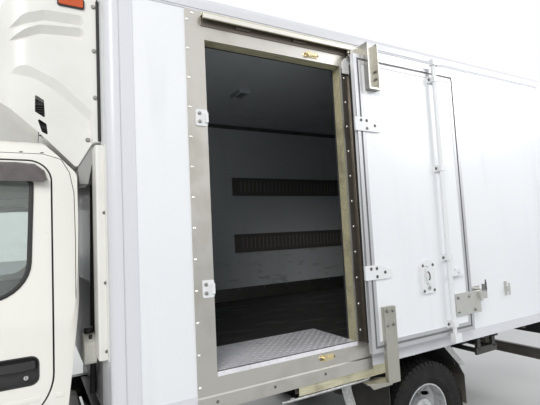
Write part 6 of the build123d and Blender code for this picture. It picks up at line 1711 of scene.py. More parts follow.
CAB_DOORS = {LEFT: "cab_door_left", RIGHT: "cab_door_right"}
DOOR_WINDOW = ((1.400, 1.490, 0.150), (2.385, 1.400, 0.050), (2.296, 2.036, 0.040),
               (1.384, 2.036, 0.070))
WINDSCREEN = ((-0.850, 1.392, 0.070), (0.850, 1.392, 0.070), (0.790, 2.090, 0.070),
              (-0.790, 2.090, 0.070))
REAR_WINDOW = ((-0.560, 1.480, 0.050), (0.560, 1.480, 0.050), (0.560, 1.900, 0.050),
               (-0.560, 1.900, 0.050))
RUBBER_WIDTH = 0.020
SWAGE_Z = 1.026


def window_rubbers():
    """Rubber round the door windows, the windscreen and the rear window."""
    for side in (LEFT, RIGHT):
        outline = taken_in(rounded(DOOR_WINDOW, 8), -RUBBER_WIDTH * 0.45)
        path = on_side_surface(CAB_DOORS[side], outline, side, 0.001)
        form = Form().swept(path, rubber_ring(RUBBER_WIDTH, 0.006), closed=True, up=(0, side, 0))
        add_piece(f"door_window_rubber_{SIDE_NAMES[side]}", form, CAB_DOORS[side], "black_plastic",
                  SOFT_RUBBER)
    path = on_front_surface("cab_shell", taken_in(rounded(WINDSCREEN, 8), -0.010), 0.001)
    form = Form().swept(path, rubber_ring(0.026, 0.008), closed=True, up=(1, 0, 0))
    outline = taken_in(rounded(REAR_WINDOW, 8), -0.010)
    path = on_front_surface("cab_shell", outline, 0.001, way=-1, start=1.0)
    form.swept(path, rubber_ring(0.024, 0.007), closed=True, up=(-1, 0, 0))
    add_piece("cab_window_rubbers", form, "cab", "black_plastic", SOFT_RUBBER)


SWAGE_SECTION = ((-0.011, -0.002), (0.011, -0.002), (0.009, 0.0022), (0, 0.0036), (-0.009, 0.0022))


def body_swage():
    """The pressed line along the doors and the rear quarters, and its end on the front panel."""
    for side in (LEFT, RIGHT):
        path = on_side_surface(CAB_DOORS[side], [(1.309, SWAGE_Z), (2.405, SWAGE_Z)], side, 0,
                               closed=False)
        form = Form().swept(path, SWAGE_SECTION, up=(0, side, 0))
        add_piece(f"door_swage_{SIDE_NAMES[side]}", form, CAB_DOORS[side], "cab_paint", CAB_PAINT)
    form = Form()
    for side in (LEFT, RIGHT):
        path = on_side_surface("cab_shell", [(1.256, SWAGE_Z), (1.288, SWAGE_Z)], side, 0, 0.01, False)
        form.swept(path, SWAGE_SECTION, up=(0, side, 0))
        path = on_side_surface("cab_front_panel", [(2.490, SWAGE_Z), (2.600, SWAGE_Z)], side, 0, 0.01,
                               False)
        form.swept(path, SWAGE_SECTION, up=(0, side, 0))
    add_piece("cab_swage", form, "cab", "cab_paint", CAB_PAINT)


ROOF_SEAM = ((2.235, 2.128), (1.330, 2.128), (1.251, 2.104), (1.216, 2.040), (1.198, 1.940),
             (1.196, 1.700), (1.200, 1.440))
ROOF_SEAM_SIZE = (0.0016, 0.0010)
ROOF_SLOT_X = (1.418, 1.332)
ROOF_SLOT_Z = 2.134


def roof_seams():
    """The welded seam between the roof and the sides, drawn as a black bead that paints the seam's shadow
    line, and the small drain slots above it, black as the shade inside them.
    """
    form = Form()
    across, up = ROOF_SEAM_SIZE
    ring = [(across * math.cos(a), up * math.sin(a)) for a in (0, 1.05, 2.09, 3.14, 4.19, 5.24)]
    for side in (LEFT, RIGHT):
        path = on_side_surface("cab_shell", list(ROOF_SEAM), side, 0.0002, 0.03, False)
        form.swept(path, ring, up=(0, side, 0))
        for x in ROOF_SLOT_X:
            y = surface_y(x, ROOF_SLOT_Z, side, "cab_shell")
            if y:
                form.slab(oblong(x - 0.008, x + 0.008, ROOF_SLOT_Z - 0.003, ROOF_SLOT_Z + 0.003, 0.003),
                          "XZ", side * (y - 0.004), side * (y + 0.0012))
    add_piece("roof_seams", form, "cab", "black_plastic", SOFT_RUBBER)


# Window visors: upper and lower edges from front to rear, and how far out along the way down
VISOR_OUTER = ((2.300, 2.066), (1.440, 2.083), (1.362, 2.077), (1.322, 2.046), (1.308, 2.002))
VISOR_INNER = ((2.280, 1.975), (1.480, 1.990), (1.400, 1.990), (1.360, 1.988), (1.330, 1.984))
VISOR_SECTION = ((0.0, 0.004), (0.12, 0.016), (0.4, 0.030), (0.75, 0.041), (1.0, 0.044))
VISOR_SHEET = 0.0025
VISOR_STEPS = (12, 3, 3, 3)


def visor_section(upper, lower, side, y):
    """A ring round the sheet from its outer face's bottom up its back."""
    face = list(VISOR_SECTION)
    back = [(share, out + VISOR_SHEET) for share, out in reversed(VISOR_SECTION)]
    points = [(upper.lerp(lower, share), out) for share, out in face + back]
    return [(point.x, side * (y + out), point.y) for point, out in points]


def window_visors():
    """The smoked strip that stands off along each door window's top and rear edges."""
    for side in (LEFT, RIGHT):
        front = on_side_surface(CAB_DOORS[side], list(VISOR_OUTER[:2]), side, 0.0, 0.10, False)[0]
        edges = [[Vector(point) for point in edge] for edge in (VISOR_OUTER, VISOR_INNER)]
        pairs = []
        for number, steps in enumerate(VISOR_STEPS):
            for part in range(steps):
                pairs.append([edge[number].lerp(edge[number + 1], part / steps) for edge in edges])
        pairs.append([edge[-1] for edge in edges])
        rows = []
        for upper, lower in pairs:
            y = (surface_y(upper.x, upper.y, side, CAB_DOORS[side])
                 or surface_y(upper.x, upper.y, side, "cab_shell") or abs(front[1]))
            rows.append(visor_section(upper, lower, side, y))
        form = Form()
        form.grid(rows, ends=True)
        add_piece(f"window_visor_{SIDE_NAMES[side]}", form, CAB_DOORS[side], "glass", SMOKED,
                  smooth=50)


# A cab door's handle. The bowl and its rim: back, front, foot, top and corner radius
HANDLE_BOWL = (1.352, 1.531, 1.091, 1.213, 0.032)
HANDLE_RIM = (1.350, 1.533, 1.089, 1.215, 0.034)
HANDLE_RIM_WIDTH = 0.006
HANDLE_PROBE = (1.44, 1.24)
# The pull's path, along and out from the door, and its section
PULL_PATH = ((1.362, -0.014), (1.376, -0.001), (1.412, 0.008), (1.472, 0.008), (1.508, -0.001),
             (1.522, -0.014))
PULL_Z = 1.176
PULL_SECTION = ((-0.005, -0.017), (0.003, -0.019), (0.006, -0.010), (0.006, 0.010), (0.003, 0.019),
                (-0.005, 0.017))
CAB_LOCK = (1.402, 1.122)
CAB_LOCK_RADIUS = 0.0095
CAB_KEY_SLOT = (0.0012, 0.006)


def cab_door_handles():
    """A black pull across the hand recess, its dished bowl and the key cylinder below."""
    for side in (LEFT, RIGHT):
        y = surface_y(*HANDLE_PROBE, side, CAB_DOORS[side])
        form = Form()
        form.slab(oblong(*HANDLE_BOWL), "XZ", side * (y - 0.0225), side * (y - 0.0195), slot=1)
        form.frame(oblong(*HANDLE_RIM), "XZ", HANDLE_RIM_WIDTH, side * (y - 0.016), side * (y + 0.0022),
                   slot=1)
        form.swept([(x, side * (y + out), PULL_Z) for x, out in PULL_PATH], PULL_SECTION, up=(0, 0, 1))
        x, z = CAB_LOCK
        form.rod((x, side * (y - 0.020), z), (x, side * (y - 0.008), z), CAB_LOCK_RADIUS, sides=24, slot=2)
        half, tall = CAB_KEY_SLOT
        form.block((x - half, side * (y - 0.0062), z - tall), (x + half, side * (y - 0.0052), z + tall),
                   slot=1)
        add_piece(f"cab_door_handle_{SIDE_NAMES[side]}", form, CAB_DOORS[side], "black_plastic",
                  BLACK_PLASTIC, GRAINED, FITTING_STEEL, bevel=0.0015)


def mirror_glass():
    """The glass of each outside mirror."""
    form = Form()
    for side in (LEFT, RIGHT):
        outline = oblong(side * 1.0945, side * 1.2205, 1.500, 1.830, 0.016)
        form.slab(outline, "YZ", 2.6085, 2.6115)
    add_piece("mirror_glass", form, "cab", "glass", MIRROR)


# Each wiper's pivot and the middle of its sweep across the truck, and the heights of both
WIPERS = ((-0.620, -0.060), (0.080, 0.640))
WIPER_PIVOT_Z = 1.352
WIPER_BLADE_Z = 1.430
# The blade's ends, across from its middle and up
BLADE_ENDS = ((-0.300, 0.004), (0.180, 0.050))
BLADE_SECTION = ((-0.004, -0.008), (0.004, -0.008), (0.007, 0.002), (0.003, 0.007), (-0.003, 0.007),
                 (-0.007, 0.002))
ARM_SECTION = ((-0.006, -0.002), (0.006, -0.002), (0.005, 0.003), (-0.005, 0.003))
WIPER_UP = (1, 0, 0.4)
# Where a pivot lies if the ray to the shell misses
WIPER_PIVOT_X = 2.68


def wipers():
    """Two wipers parked along the windscreen's foot."""
    form, z = Form(), WIPER_PIVOT_Z
    for pivot, tip in WIPERS:
        ends = [(tip + across, WIPER_BLADE_Z + up) for across, up in BLADE_ENDS]
        blade = on_front_surface("cab_windows", ends, 0.012, 0.05, False)
        form.swept(blade, BLADE_SECTION, up=WIPER_UP)
        base = on_front_surface("cab_shell", [(pivot, z)], 0.006, closed=False)
        base = base[0] if base else (WIPER_PIVOT_X, pivot, z)
        middle = blade[len(blade) // 2]
        arm = [base, (base[0] + 0.018, pivot + 0.03, z + 0.010),
               ((base[0] + middle[0]) / 2 + 0.024, (pivot + middle[1]) / 2, (z + middle[2]) / 2 + 0.008),
               (middle[0] + 0.014, middle[1], middle[2])]
        form.swept(arm, ARM_SECTION, up=WIPER_UP)
        form.rod((base[0] - 0.010, pivot, z), (base[0] + 0.016, pivot, z + 0.006), 0.012, sides=16)
    add_piece("wipers", form, "cab", "black_plastic", BLACK_PLASTIC, bevel=0.0008)


def grille():
    """Upright fins on a backing plate, behind the front panel's slots."""
    form = Form().block((2.676, -0.445, 0.925), (2.682, 0.445, 1.085))
    fin = Form().block((2.682, -0.0012, 0.930), (2.700, 0.0012, 1.080)).mesh_named("fin")
    form.add(ROW.grow(NO_PLACES, fin, Count=44, Start=(0, -0.430, 0), Step=(0, 0.02, 0),
                      Finish=BLACK_PLASTIC))
    add_piece("grille_fins", form, "cab", "black_plastic", BLACK_PLASTIC)


HEAD_LAMP_Z = 0.785
HEAD_LAMP_BOWLS = ((0.665, 0.062), (0.800, 0.056))
# A reflector's section: (behind its mouth, share of its radius)
BOWL_SECTION = ((0.0, 1.0), (-0.012, 0.86), (-0.030, 0.60), (-0.044, 0.30), (-0.046, 0.0), (-0.050, 0.0),
                (-0.048, 0.34), (-0.034, 0.66), (-0.014, 0.94), (-0.002, 1.06))


def lamp_bowls():
    """The reflectors, bulbs and black backing behind the head lamps' lenses."""
    form = Form()
    for side in (LEFT, RIGHT):
        for y, radius in HEAD_LAMP_BOWLS:
            lens = struck("head_lamps", (FRONT_START, side * y, HEAD_LAMP_Z), (-1, 0, 0))
            mouth = lens.x - 0.036
            bowl = [(along, radius * share) for along, share in BOWL_SECTION]
            form.turned(bowl, (mouth, side * y, HEAD_LAMP_Z), "X", 40)
            form.rod((mouth - 0.044, side * y, HEAD_LAMP_Z), (mouth - 0.018, side * y, HEAD_LAMP_Z),
                     0.008, sides=16, slot=1)
            form.ball((mouth - 0.016, side * y, HEAD_LAMP_Z), 0.010, slot=1)
        form.slab([(side * 0.560, 0.708), (side * 0.926, 0.708), (side * 0.926, 0.886),
                   (side * 0.560, 0.852)], "YZ", 2.552, 2.556, slot=2)
    add_piece("lamp_bowls", form, "cab", "stainless", CHROME, CLEAR_LENS, BLACK_PLASTIC)


def turn_lamps():
    """The amber turn lamp at each front corner, ahead of the door."""
    form = Form()
    for side in (LEFT, RIGHT):
        y = surface_y(2.560, 0.800, side, "cab_front_panel") or 0.99
        outline = rounded([(2.515, 0.750, 0.012), (2.600, 0.750, 0.012), (2.600, 0.842, 0.012),
                           (2.515, 0.842, 0.012)])
        form.frame(outline, "XZ", 0.005, side * (y - 0.006), side * (y + 0.003), slot=1)
        form.slab(taken_in(outline, 0.004), "XZ", side * (y - 0.006), side * (y + 0.0045))
    add_piece("turn_lamps", form, "cab", "lens_red", AMBER_LENS, BLACK_PLASTIC, bevel=0.002)


# Half the width, half the height and the corner radius of a blank plate and of its carrier
PLATE = (0.165, 0.078, 0.008)
CARRIER = (0.176, 0.088, 0.010)
# The front plate's drop below the head lamps' middle, and how thick a carrier and a plate are
PLATE_DROP = 0.012
CARRIER_DEPTH = 0.007
PLATE_DEPTH = 0.0015
# The rear plate under the sill: its height, the carrier's back and front, and its two hangers
REAR_PLATE_Z = 0.560
REAR_CARRIER_X = (-2.758, -2.752)
HANGER_Y = (-0.10, 0.10)
HANGER_HALF_WIDTH = 0.012
HANGER_DEPTH = 0.004
HANGER_Z = (0.600, 0.700)


def plate_outline(size, z):
    """A plate's outline round the truck's middle."""
    half, up, radius = size
    return oblong(-half, half, z - up, z + up, radius)


def blank_plates():
    """Plain white plates in their carriers: on the cab's front panel, and under the rear sill."""
    lamps_low, lamps_high = part_box("head_lamps")
    z = (lamps_low.z + lamps_high.z) / 2 - PLATE_DROP
    hits = [struck("cab_front_panel", (FRONT_START, 0, z + up), (-1, 0, 0)) for up in
            (-CARRIER[1], 0, CARRIER[1])]
    x = max(hit.x for hit in hits if hit)
    face = x + CARRIER_DEPTH
    form = Form().slab(plate_outline(CARRIER, z), "YZ", x, face, slot=1)
    form.slab(plate_outline(PLATE, z), "YZ", face, face + PLATE_DEPTH)
    add_piece("front_plate", form, "cab", "rail_white", PLATE_WHITE, BLACK_PLASTIC, bevel=0.001)
    back, front = REAR_CARRIER_X
    form = Form().slab(plate_outline(CARRIER, REAR_PLATE_Z), "YZ", back, front, slot=1)
    form.slab(plate_outline(PLATE, REAR_PLATE_Z), "YZ", back - PLATE_DEPTH, back)
    for y in HANGER_Y:
        form.block((front, y - HANGER_HALF_WIDTH, HANGER_Z[0]),
                   (front + HANGER_DEPTH, y + HANGER_HALF_WIDTH, HANGER_Z[1]), slot=1)
    add_piece("rear_plate", form, "truck", "rail_white", PLATE_WHITE, BLACK_PLASTIC, bevel=0.001)


CAB_DOOR_OUTLINE = ((1.298, 0.925, 0.205), (2.170, 0.925, 0.080), (2.290, 0.660, 0.080),
                    (2.430, 0.660, 0.040), (2.430, 1.345, 0.200), (2.322, 2.090, 0.050),
                    (1.298, 2.090, 0.095))
SEAL_SECTION = ((-0.0035, -0.004), (0.0035, -0.004), (0.0035, 0.003), (-0.0035, 0.003))
SEAL_DEPTH = 0.016


def door_seals():
    """Dark rubber in the gap round each cab door, which also darkens the gap as painted shadow."""
    form = Form()
    for side in (LEFT, RIGHT):
        path = []
        for x, z in taken_in(rounded(CAB_DOOR_OUTLINE, 8), -0.004):
            y = (surface_y(x - 0.02, z, side, "cab_shell") or surface_y(x, z + 0.02, side, "cab_shell")
                 or surface_y(x + 0.02, z, side, "cab_shell")
                 or surface_y(x + 0.02, z, side, CAB_DOORS[side]))
            if y:
                path.append((x, side * (y - SEAL_DEPTH), z))
        form.swept(path, SEAL_SECTION, closed=True, up=(0, side, 0))
    add_piece("cab_door_seals", form, "cab", "black_plastic", SOFT_RUBBER)


# Wheels: tyres with moulded blocks, nuts, caps, valves and brake drums

TYRE_RADIUS = 0.362
BEAD_RADIUS = 0.204
BLOCK_COUNT = 52
GROOVE_DEPTH = 0.008
TREAD_RINGS = ((0.0, 0.026), (0.034, 0.024), (0.066, 0.022))
SIDEWALL = ((0.0975, 0.292), (0.0968, 0.318), (0.0925, 0.338), (0.0860, 0.3500), (0.0800, 0.3535))
FRONT_AXLE_X = 1.780
REAR_AXLE_X = -1.080
# Each wheel: its tyres' node, the body that turns, the axle's place along and the tyres' middles
WHEELS = (("front_tyre_left", "front_wheel_left", FRONT_AXLE_X, (0.800,)),
          ("front_tyre_right", "front_wheel_right", FRONT_AXLE_X, (-0.800,)),
          ("rear_tyres_left", "rear_wheels_left", REAR_AXLE_X, (0.900, 0.674)),
          ("rear_tyres_right", "rear_wheels_right", REAR_AXLE_X, (-0.900, -0.674)))
AXLE_HEIGHT = 0.362


def tyre_carcass():
    """The casing under the tread blocks, with a moulded ring on each sidewall."""
    half = [(0.0750, BEAD_RADIUS), (0.0800, 0.212), (0.0880, 0.222), (0.0945, 0.240),
            (0.0962, 0.246), (0.0945, 0.252), (0.0965, 0.270)] + list(SIDEWALL)
    crown = TYRE_RADIUS - GROOVE_DEPTH
    profile = half + [(0.040, crown), (0.0, crown + 0.0005)]
    mirrored = [(-along, radius) for along, radius in reversed(profile[:-1])]
    inside = [(-0.070, BEAD_RADIUS), (-0.080, 0.240), (-0.086, 0.290), (-0.070, 0.338),
              (0.070, 0.338), (0.086, 0.290), (0.080, 0.240), (0.070, BEAD_RADIUS)]
    return profile + mirrored + inside


def tread_block(middle, width, length, skew):
    """One tread block at the top of the tyre, skewed along the rolling way."""
    block = Form()
    top, low = TYRE_RADIUS - 0.0008, TYRE_RADIUS - GROOVE_DEPTH - 0.003
    rows = []
    for height, grow in ((low, 0.002), (top, 0.0)):
        ring = []
        for side, along in ((-1, -1), (1, -1), (1, 1), (-1, 1)):
            across = middle + side * (width / 2 + grow)
            drop = 0.004 * (abs(across) / 0.08) ** 3
            ring.append((along * (length / 2 + grow) + side * skew, across, height - drop))
        rows.append(ring)
    block.mesh.faces.new(block.grid(rows)[-1])
    return block.mesh_named("tread_block")


def shoulder_lug():
    """A lug that wraps from the tread down on to the shoulder."""
    lug = Form()
    section = ((0.0835, 0.3600), (0.0925, 0.3490), (0.0962, 0.3330), (0.0955, 0.3180))
    rows = [[(along, across, up) for across, up in section] for along in (-0.012, 0.012)]
    under = [[(along, across - 0.010, up - 0.006) for across, up in section] for along in (0.014, -0.014)]
    rings = lug.grid(rows + under, closed_rows=True, closed_ring=False)
    for column in (0, -1):
        lug.mesh.faces.new([ring[column] for ring in rings])
    return lug.mesh_named("shoulder_lug")


def moulded_tyre():
    """Casing, blocks and lugs of one tyre round the origin, its axle along Y."""
    tyre = Form().turned(tyre_carcass(), (0, 0, 0), "Y", 96)
    pitch = 2 * math.pi * TYRE_RADIUS / BLOCK_COUNT
    for number, (middle, width) in enumerate(TREAD_RINGS):
        for side in (1, -1) if middle else (1,):
            block = tread_block(side * middle, width, pitch * 0.80, side * 0.004)
            tyre.add(RING.grow(NO_PLACES, block, Count=BLOCK_COUNT, Finish=RUBBER),
                     Matrix.Rotation(math.pi / BLOCK_COUNT * (number % 2), 4, "Y"))
    for side in (1, -1):
        lugs = RING.grow(NO_PLACES, shoulder_lug(), Count=BLOCK_COUNT, Finish=RUBBER)
        tyre.add(lugs, Matrix.Diagonal((1, side, 1, 1)))
    return tyre.mesh_named("tyre_pattern", merge=False)


def tyres():
    """The moulded tyres in place of the plain ones, turning with their wheels."""
    pattern = moulded_tyre()
    for tyre, body, x, places in WHEELS:
        form = Form()
        for y in places:
            form.add(pattern, Matrix.Translation((x, y, AXLE_HEIGHT)))
        add_piece("moulded_" + tyre, form, body, "tyre", RUBBER, smooth=35, replaces=(tyre,))


# A wheel nut's parts: sides and (outwards, radius) profile of its washer, hexagon and stud
NUT_PARTS = ((16, ((0.0, 0), (0.0, 0.0165), (0.0030, 0.0165), (0.0030, 0))),
             (6, ((0.0030, 0), (0.0030, 0.0135), (0.0200, 0.0135), (0.0225, 0.0112), (0.0225, 0))),
             (10, ((0.0225, 0), (0.0225, 0.0080), (0.0330, 0.0080), (0.0340, 0.0066), (0.0340, 0))))


def wheel_nut():
    nut = Form()
    for sides, profile in NUT_PARTS:
        nut.turned(profile, ORIGIN, "Y", sides, closed=False)
    return nut


VALVE_REACH = 0.150


def valve_stem():
    """A tyre valve with its cap, at its reach above the origin."""
    form = Form().rod((0, 0, VALVE_REACH), (0, 0.022, VALVE_REACH), 0.0042, sides=10)
    return form.rod((0, 0.022, VALVE_REACH), (0, 0.032, VALVE_REACH), 0.0050, sides=10)


# Wheel fittings: body, rim's node, axle's place, hub cap's radius, then the nuts' number and reach
FITTINGS = (("front_wheel", "front_rim", FRONT_AXLE_X, 0.062, 5, 0.0905),
            ("rear_wheels", "rear_rims", REAR_AXLE_X, 0.088, 6, 0.111))
# The hub cap's section: (outwards, share of its radius)
HUB_CAP = ((0, 0), (0, 0.62), (0.006, 0.60), (0.016, 0.48), (0.018, 0.30), (0.0185, 0))


def wheel_fittings():
    """Nuts, the cap of the hub and the valve, drawn outwards from the disc."""
    for body, rim, x, hub_radius, count, reach in FITTINGS:
        for side in (LEFT, RIGHT):
            name, away = SIDE_NAMES[side], (0, -side, 0)
            disc = struck(f"{rim}_{name}", (x + reach * 0.6, side * 1.5, AXLE_HEIGHT + reach * 0.8), away)
            hub = struck(f"{rim}_{name}", (x, side * 1.5, AXLE_HEIGHT), away)
            on_disc = Matrix.Translation((x, disc.y * side, AXLE_HEIGHT))
            nut = wheel_nut().turn(Matrix.Translation((0, 0, reach))).mesh_named("wheel_nut")
            form = Form().add(RING.grow(NO_PLACES, nut, Count=count, Finish=ZINC), on_disc)
            form.turned([(out, hub_radius * share) for out, share in HUB_CAP],
                        (x, hub.y * side, AXLE_HEIGHT), "Y", 32, closed=False)
            form.add(valve_stem().turn(on_disc).mesh_named("valve"))
            add_piece(f"{body}_nuts_{name}", form.on(side), f"{body}_{name}", "galvanised", ZINC, smooth=35)


# Brake drums: piece, the body that turns, place along and across; and the ribbed section
BRAKE_DRUMS = (("brake_drum", "front_wheel", FRONT_AXLE_X, 0.800),
               ("rear_brake_drum", "rear_wheels", REAR_AXLE_X, 0.770))
DRUM_SECTION = ((-0.060, 0), (-0.060, 0.146), (-0.052, 0.158), (-0.040, 0.158), (-0.036, 0.151),
                (-0.024, 0.151), (-0.020, 0.158), (-0.010, 0.158), (-0.006, 0.151), (0.010, 0.150),
                (0.016, 0.140), (0.018, 0))


def brake_drums():
    """Ribbed drums behind the discs, turning with the wheels."""
    for piece, body, x, y in BRAKE_DRUMS:
        for side in (LEFT, RIGHT):
            form = Form().turned(DRUM_SECTION, (x, y, AXLE_HEIGHT), "Y", 48, closed=False)
            add_piece(f"{piece}_{SIDE_NAMES[side]}", form.on(side), f"{body}_{SIDE_NAMES[side]}", "cast",
                      CASTING, smooth=30)


# Chassis: straps, clamps, U-bolts, pipes and the brackets below the box

SPRING_SEATS = ((1.780, 0.366), (-1.080, 0.470))
SPRING_CLIP_AHEAD = (-0.30, -0.17, 0.17, 0.30)
UBOLT_AHEAD = 0.042
UBOLT_HALF = 0.037
UBOLT_CROWN = 0.014
UBOLT_STEPS = 6


def spring_faces(x, y):
    """The heights of the leaf springs' top and underside at a place."""
    top = struck("leaf_springs", (x, y, 1.2), (0, 0, -1))
    under = struck("leaf_springs", (x, y, 0.05), (0, 0, 1))
    return (top.z, under.z) if top and under else None


def spring_bolts():
    """Two U-bolts, a plate and nuts on each spring seat."""
    form = Form()
    for seat_x, seat_y in SPRING_SEATS:
        for y in (seat_y, -seat_y):
            top, base = spring_faces(seat_x, y)
            crown = top + 0.002
            for x in (seat_x - UBOLT_AHEAD, seat_x + UBOLT_AHEAD):
                path = [(x, y - UBOLT_HALF, base - 0.046), (x, y - UBOLT_HALF, crown)]
                for step in range(UBOLT_STEPS + 1):
                    angle = math.pi * (1 - step / UBOLT_STEPS)
                    path.append((x, y + UBOLT_HALF * math.cos(angle), crown + UBOLT_CROWN * math.sin(angle)))
                path.append((x, y + UBOLT_HALF, base - 0.046))
                form.tube(path, 0.007, 10, up=(1, 0, 0))
                for leg in (y - UBOLT_HALF, y + UBOLT_HALF):
                    form.rod((x, leg, base - 0.032), (x, leg, base - 0.018), 0.0135, sides=6)
            form.block((seat_x - 0.062, y - 0.052, base - 0.018), (seat_x + 0.062, y + 0.052, base - 0.004))
    add_piece("spring_bolts", form, "truck", "black_frame", FRAME_BLACK, bevel=0.001, smooth=35)


def spring_clips():
    """The clips that hold each spring's leaves together."""
    form = Form()
    for seat_x, seat_y in SPRING_SEATS:
        for y in (seat_y, -seat_y):
            for x in (seat_x + ahead for ahead in SPRING_CLIP_AHEAD):
                faces = spring_faces(x, y)
                if not faces:
                    continue
                low, high = faces[1] - 0.004, faces[0] + 0.004
                outline = [(y - 0.036, low), (y + 0.036, low), (y + 0.036, high), (y - 0.036, high)]
                form.frame(outline, "YZ", 0.005, x - 0.015, x + 0.015)
    add_piece("spring_clips", form, "truck", "black_frame", FRAME_BLACK, smooth=35)


TANK_OUTLINE = (-0.832, -0.428, 0.398, 0.692, 0.052)
TANK_STRAP_X = (0.545, 0.885)
TANK_STRAP_HALF = 0.018
TANK_STRAP = 0.004
CAP_PLACE = (0.720, -0.795, 0.672)
CAP_TILT = 42
CAP_SECTION = ((0, 0), (0, 0.034), (0.020, 0.034), (0.022, 0.046), (0.044, 0.045), (0.048, 0.040), (0.048, 0))


def tank_straps():
    """Two steel bands round the fuel tank, each with its tightening bolt."""
    bands = Form()
    outline = taken_in(oblong(*TANK_OUTLINE), -TANK_STRAP)
    for x in TANK_STRAP_X:
        bands.frame(outline, "YZ", TANK_STRAP, x - TANK_STRAP_HALF, x + TANK_STRAP_HALF)
        bands.rod((x, -0.839, 0.560), (x, -0.839, 0.630), 0.006, sides=8)
        for low, high in ((0.552, 0.566), (0.624, 0.638)):
            bands.block((x - 0.014, -0.846, low), (x + 0.014, -0.832, high))
    add_piece("tank_straps", bands, "truck", "galvanised", ZINC, bevel=0.0006, smooth=35)


def tank_cap():
    """The filler's neck and its cap with six grips."""
    cap = Form().turned(CAP_SECTION, ORIGIN, "Z", 32, closed=False)
    for step in range(3):
        bar = Form().block((-0.044, -0.006, 0.046), (0.044, 0.006, 0.054))
        cap.add(bar.turn(Matrix.Rotation(math.radians(60 * step), 4, "Z")).mesh_named("grip"))
    cap.turn(Matrix.Translation(CAP_PLACE) @ Matrix.Rotation(math.radians(CAP_TILT), 4, "X"))
    add_piece("tank_cap", cap, "truck", "black_plastic", BLACK_PLASTIC, bevel=0.001, smooth=35)


BATTERY_RIB_X = (0.630, 0.700, 0.770, 0.860, 0.930)
BATTERY_LATCH_X = (0.660, 0.900)


# The ribs' half width, foot and top, the face that they stand on, and the rim's outline
BATTERY_RIB = (0.006, 0.470, 0.660)
BATTERY_FACE_Y = 0.757
BATTERY_RIM = (0.566, 0.994, 0.676, 0.698, 0.004)
# A latch's hasp, low and high corner, and the path of its wire, along from the latch's middle
LATCH_HASP = ((-0.016, 0.758, 0.640), (0.016, 0.768, 0.668))
LATCH_WIRE = ((-0.012, 0.769, 0.645), (-0.012, 0.771, 0.705), (0.012, 0.771, 0.705), (0.012, 0.769, 0.645))
LATCH_WIRE_RADIUS = 0.0025


def battery_clamps():
    """Ribs, a rim under the lid and two wire latches on the battery box."""
    form, latch = Form(), Form()
    half, foot, top = BATTERY_RIB
    for x in BATTERY_RIB_X:
        form.block((x - half, BATTERY_FACE_Y, foot), (x + half, BATTERY_FACE_Y + 0.0075, top))
    form.frame(oblong(*BATTERY_RIM), "XZ", 0.004, BATTERY_FACE_Y, BATTERY_FACE_Y + 0.0065)
    add_piece("battery_ribs", form, "truck", "black_plastic", BLACK_PLASTIC, bevel=0.001, smooth=35)
    for x in BATTERY_LATCH_X:
        hasp, wire = ([(x + along, y, z) for along, y, z in places] for places in (LATCH_HASP, LATCH_WIRE))
        latch.block(*hasp)
        latch.tube(wire, LATCH_WIRE_RADIUS, 8, up=(0, 1, 0))
    add_piece("battery_latches", latch, "truck", "galvanised", ZINC, bevel=0.0006, smooth=35)


SILENCER_Y, SILENCER_Z = -0.580, 0.560
# The silencer's bands: place along, half width, inner radius, outer radius and if it has a bolt
SILENCER_BANDS = ((-0.352, 0.008, 0.104, 0.1145, False), (0.152, 0.008, 0.104, 0.1145, False),
                  (-0.170, 0.013, 0.108, 0.1125, True), (0.060, 0.013, 0.108, 0.1125, True))


def exhaust_clamps():
    """The silencer's end seams, and two clamped bands with their bolts."""
    form = Form()
    for x, half, inner, outer, bolted in SILENCER_BANDS:
        section = [(-half, inner), (-half, outer), (half, outer), (half, inner)]
        form.turned(section, (x, SILENCER_Y, SILENCER_Z), "X", 48)
        if bolted:
            form.rod((x, -0.698, SILENCER_Z), (x, -0.684, SILENCER_Z), 0.006, sides=8)
    add_piece("silencer_bands", form, "truck", "galvanised", ZINC, bevel=0.0006, smooth=35)


# Bolts on the frame rails, and what runs along the left one: height, distance out and radius
RAIL_WEB_Y = 0.4002
FRAME_BOLT_X = (2.60, 1.04, 0.25, -0.38, -1.76, -2.70)
FRAME_BOLT_Z = (0.610, 0.650, 0.690)
FRAME_PIPES = ((0.328, 0.676, 0.009), (0.331, 0.652, 0.005), (0.331, 0.638, 0.005))
PIPE_ENDS_X = (2.30, -2.50)
PIPE_CLIP_X = (2.1, 1.6, 0.9, 0.5, 0.0, -0.6, -1.3, -1.9, -2.3)
TUBE_X = (-1.700, -1.890)


def frame_bolts():
    """Bolt heads in groups of six along the frame rails' webs."""
    rows = [((x + ahead, side * RAIL_WEB_Y, z), (0, side, 0)) for side in (LEFT, RIGHT)
            for x in FRAME_BOLT_X for z in FRAME_BOLT_Z for ahead in (-0.02, 0.02)]
    add_piece("frame_bolts", heads(bolt_head(), rows, ZINC, 0.9), "truck", "galvanised")


def frame_pipes():
    """Wiring conduit and brake pipes clipped along the left frame rail."""
    form = Form()
    for y, z, radius in FRAME_PIPES:
        form.rod((PIPE_ENDS_X[0], y, z), (PIPE_ENDS_X[1], y, z), radius, sides=10)
    for x in PIPE_CLIP_X:
        form.block((x - 0.010, 0.318, 0.632), (x + 0.010, 0.3945, 0.690))
    add_piece("frame_pipes", form, "truck", "black_plastic", BLACK_PLASTIC, smooth=35)


def side_guard_bracket():
    """Two dark tubes out from the frame rail to a plate and two stays behind the rear wheel."""
    form = Form()
    for x in TUBE_X:
        form.rod((x, 0.400, 0.690), (x, 0.985, 0.690), 0.019, sides=16)
    form.block((-1.925, 0.968, 0.664), (-1.665, 0.990, 0.716))
    for x in TUBE_X:
        form.block((x - 0.020, 0.962, 0.700), (x + 0.020, 0.990, 0.838))
    add_piece("side_guard_bracket", form, "truck", "black_frame", FRAME_BLACK, bevel=0.003, smooth=35)


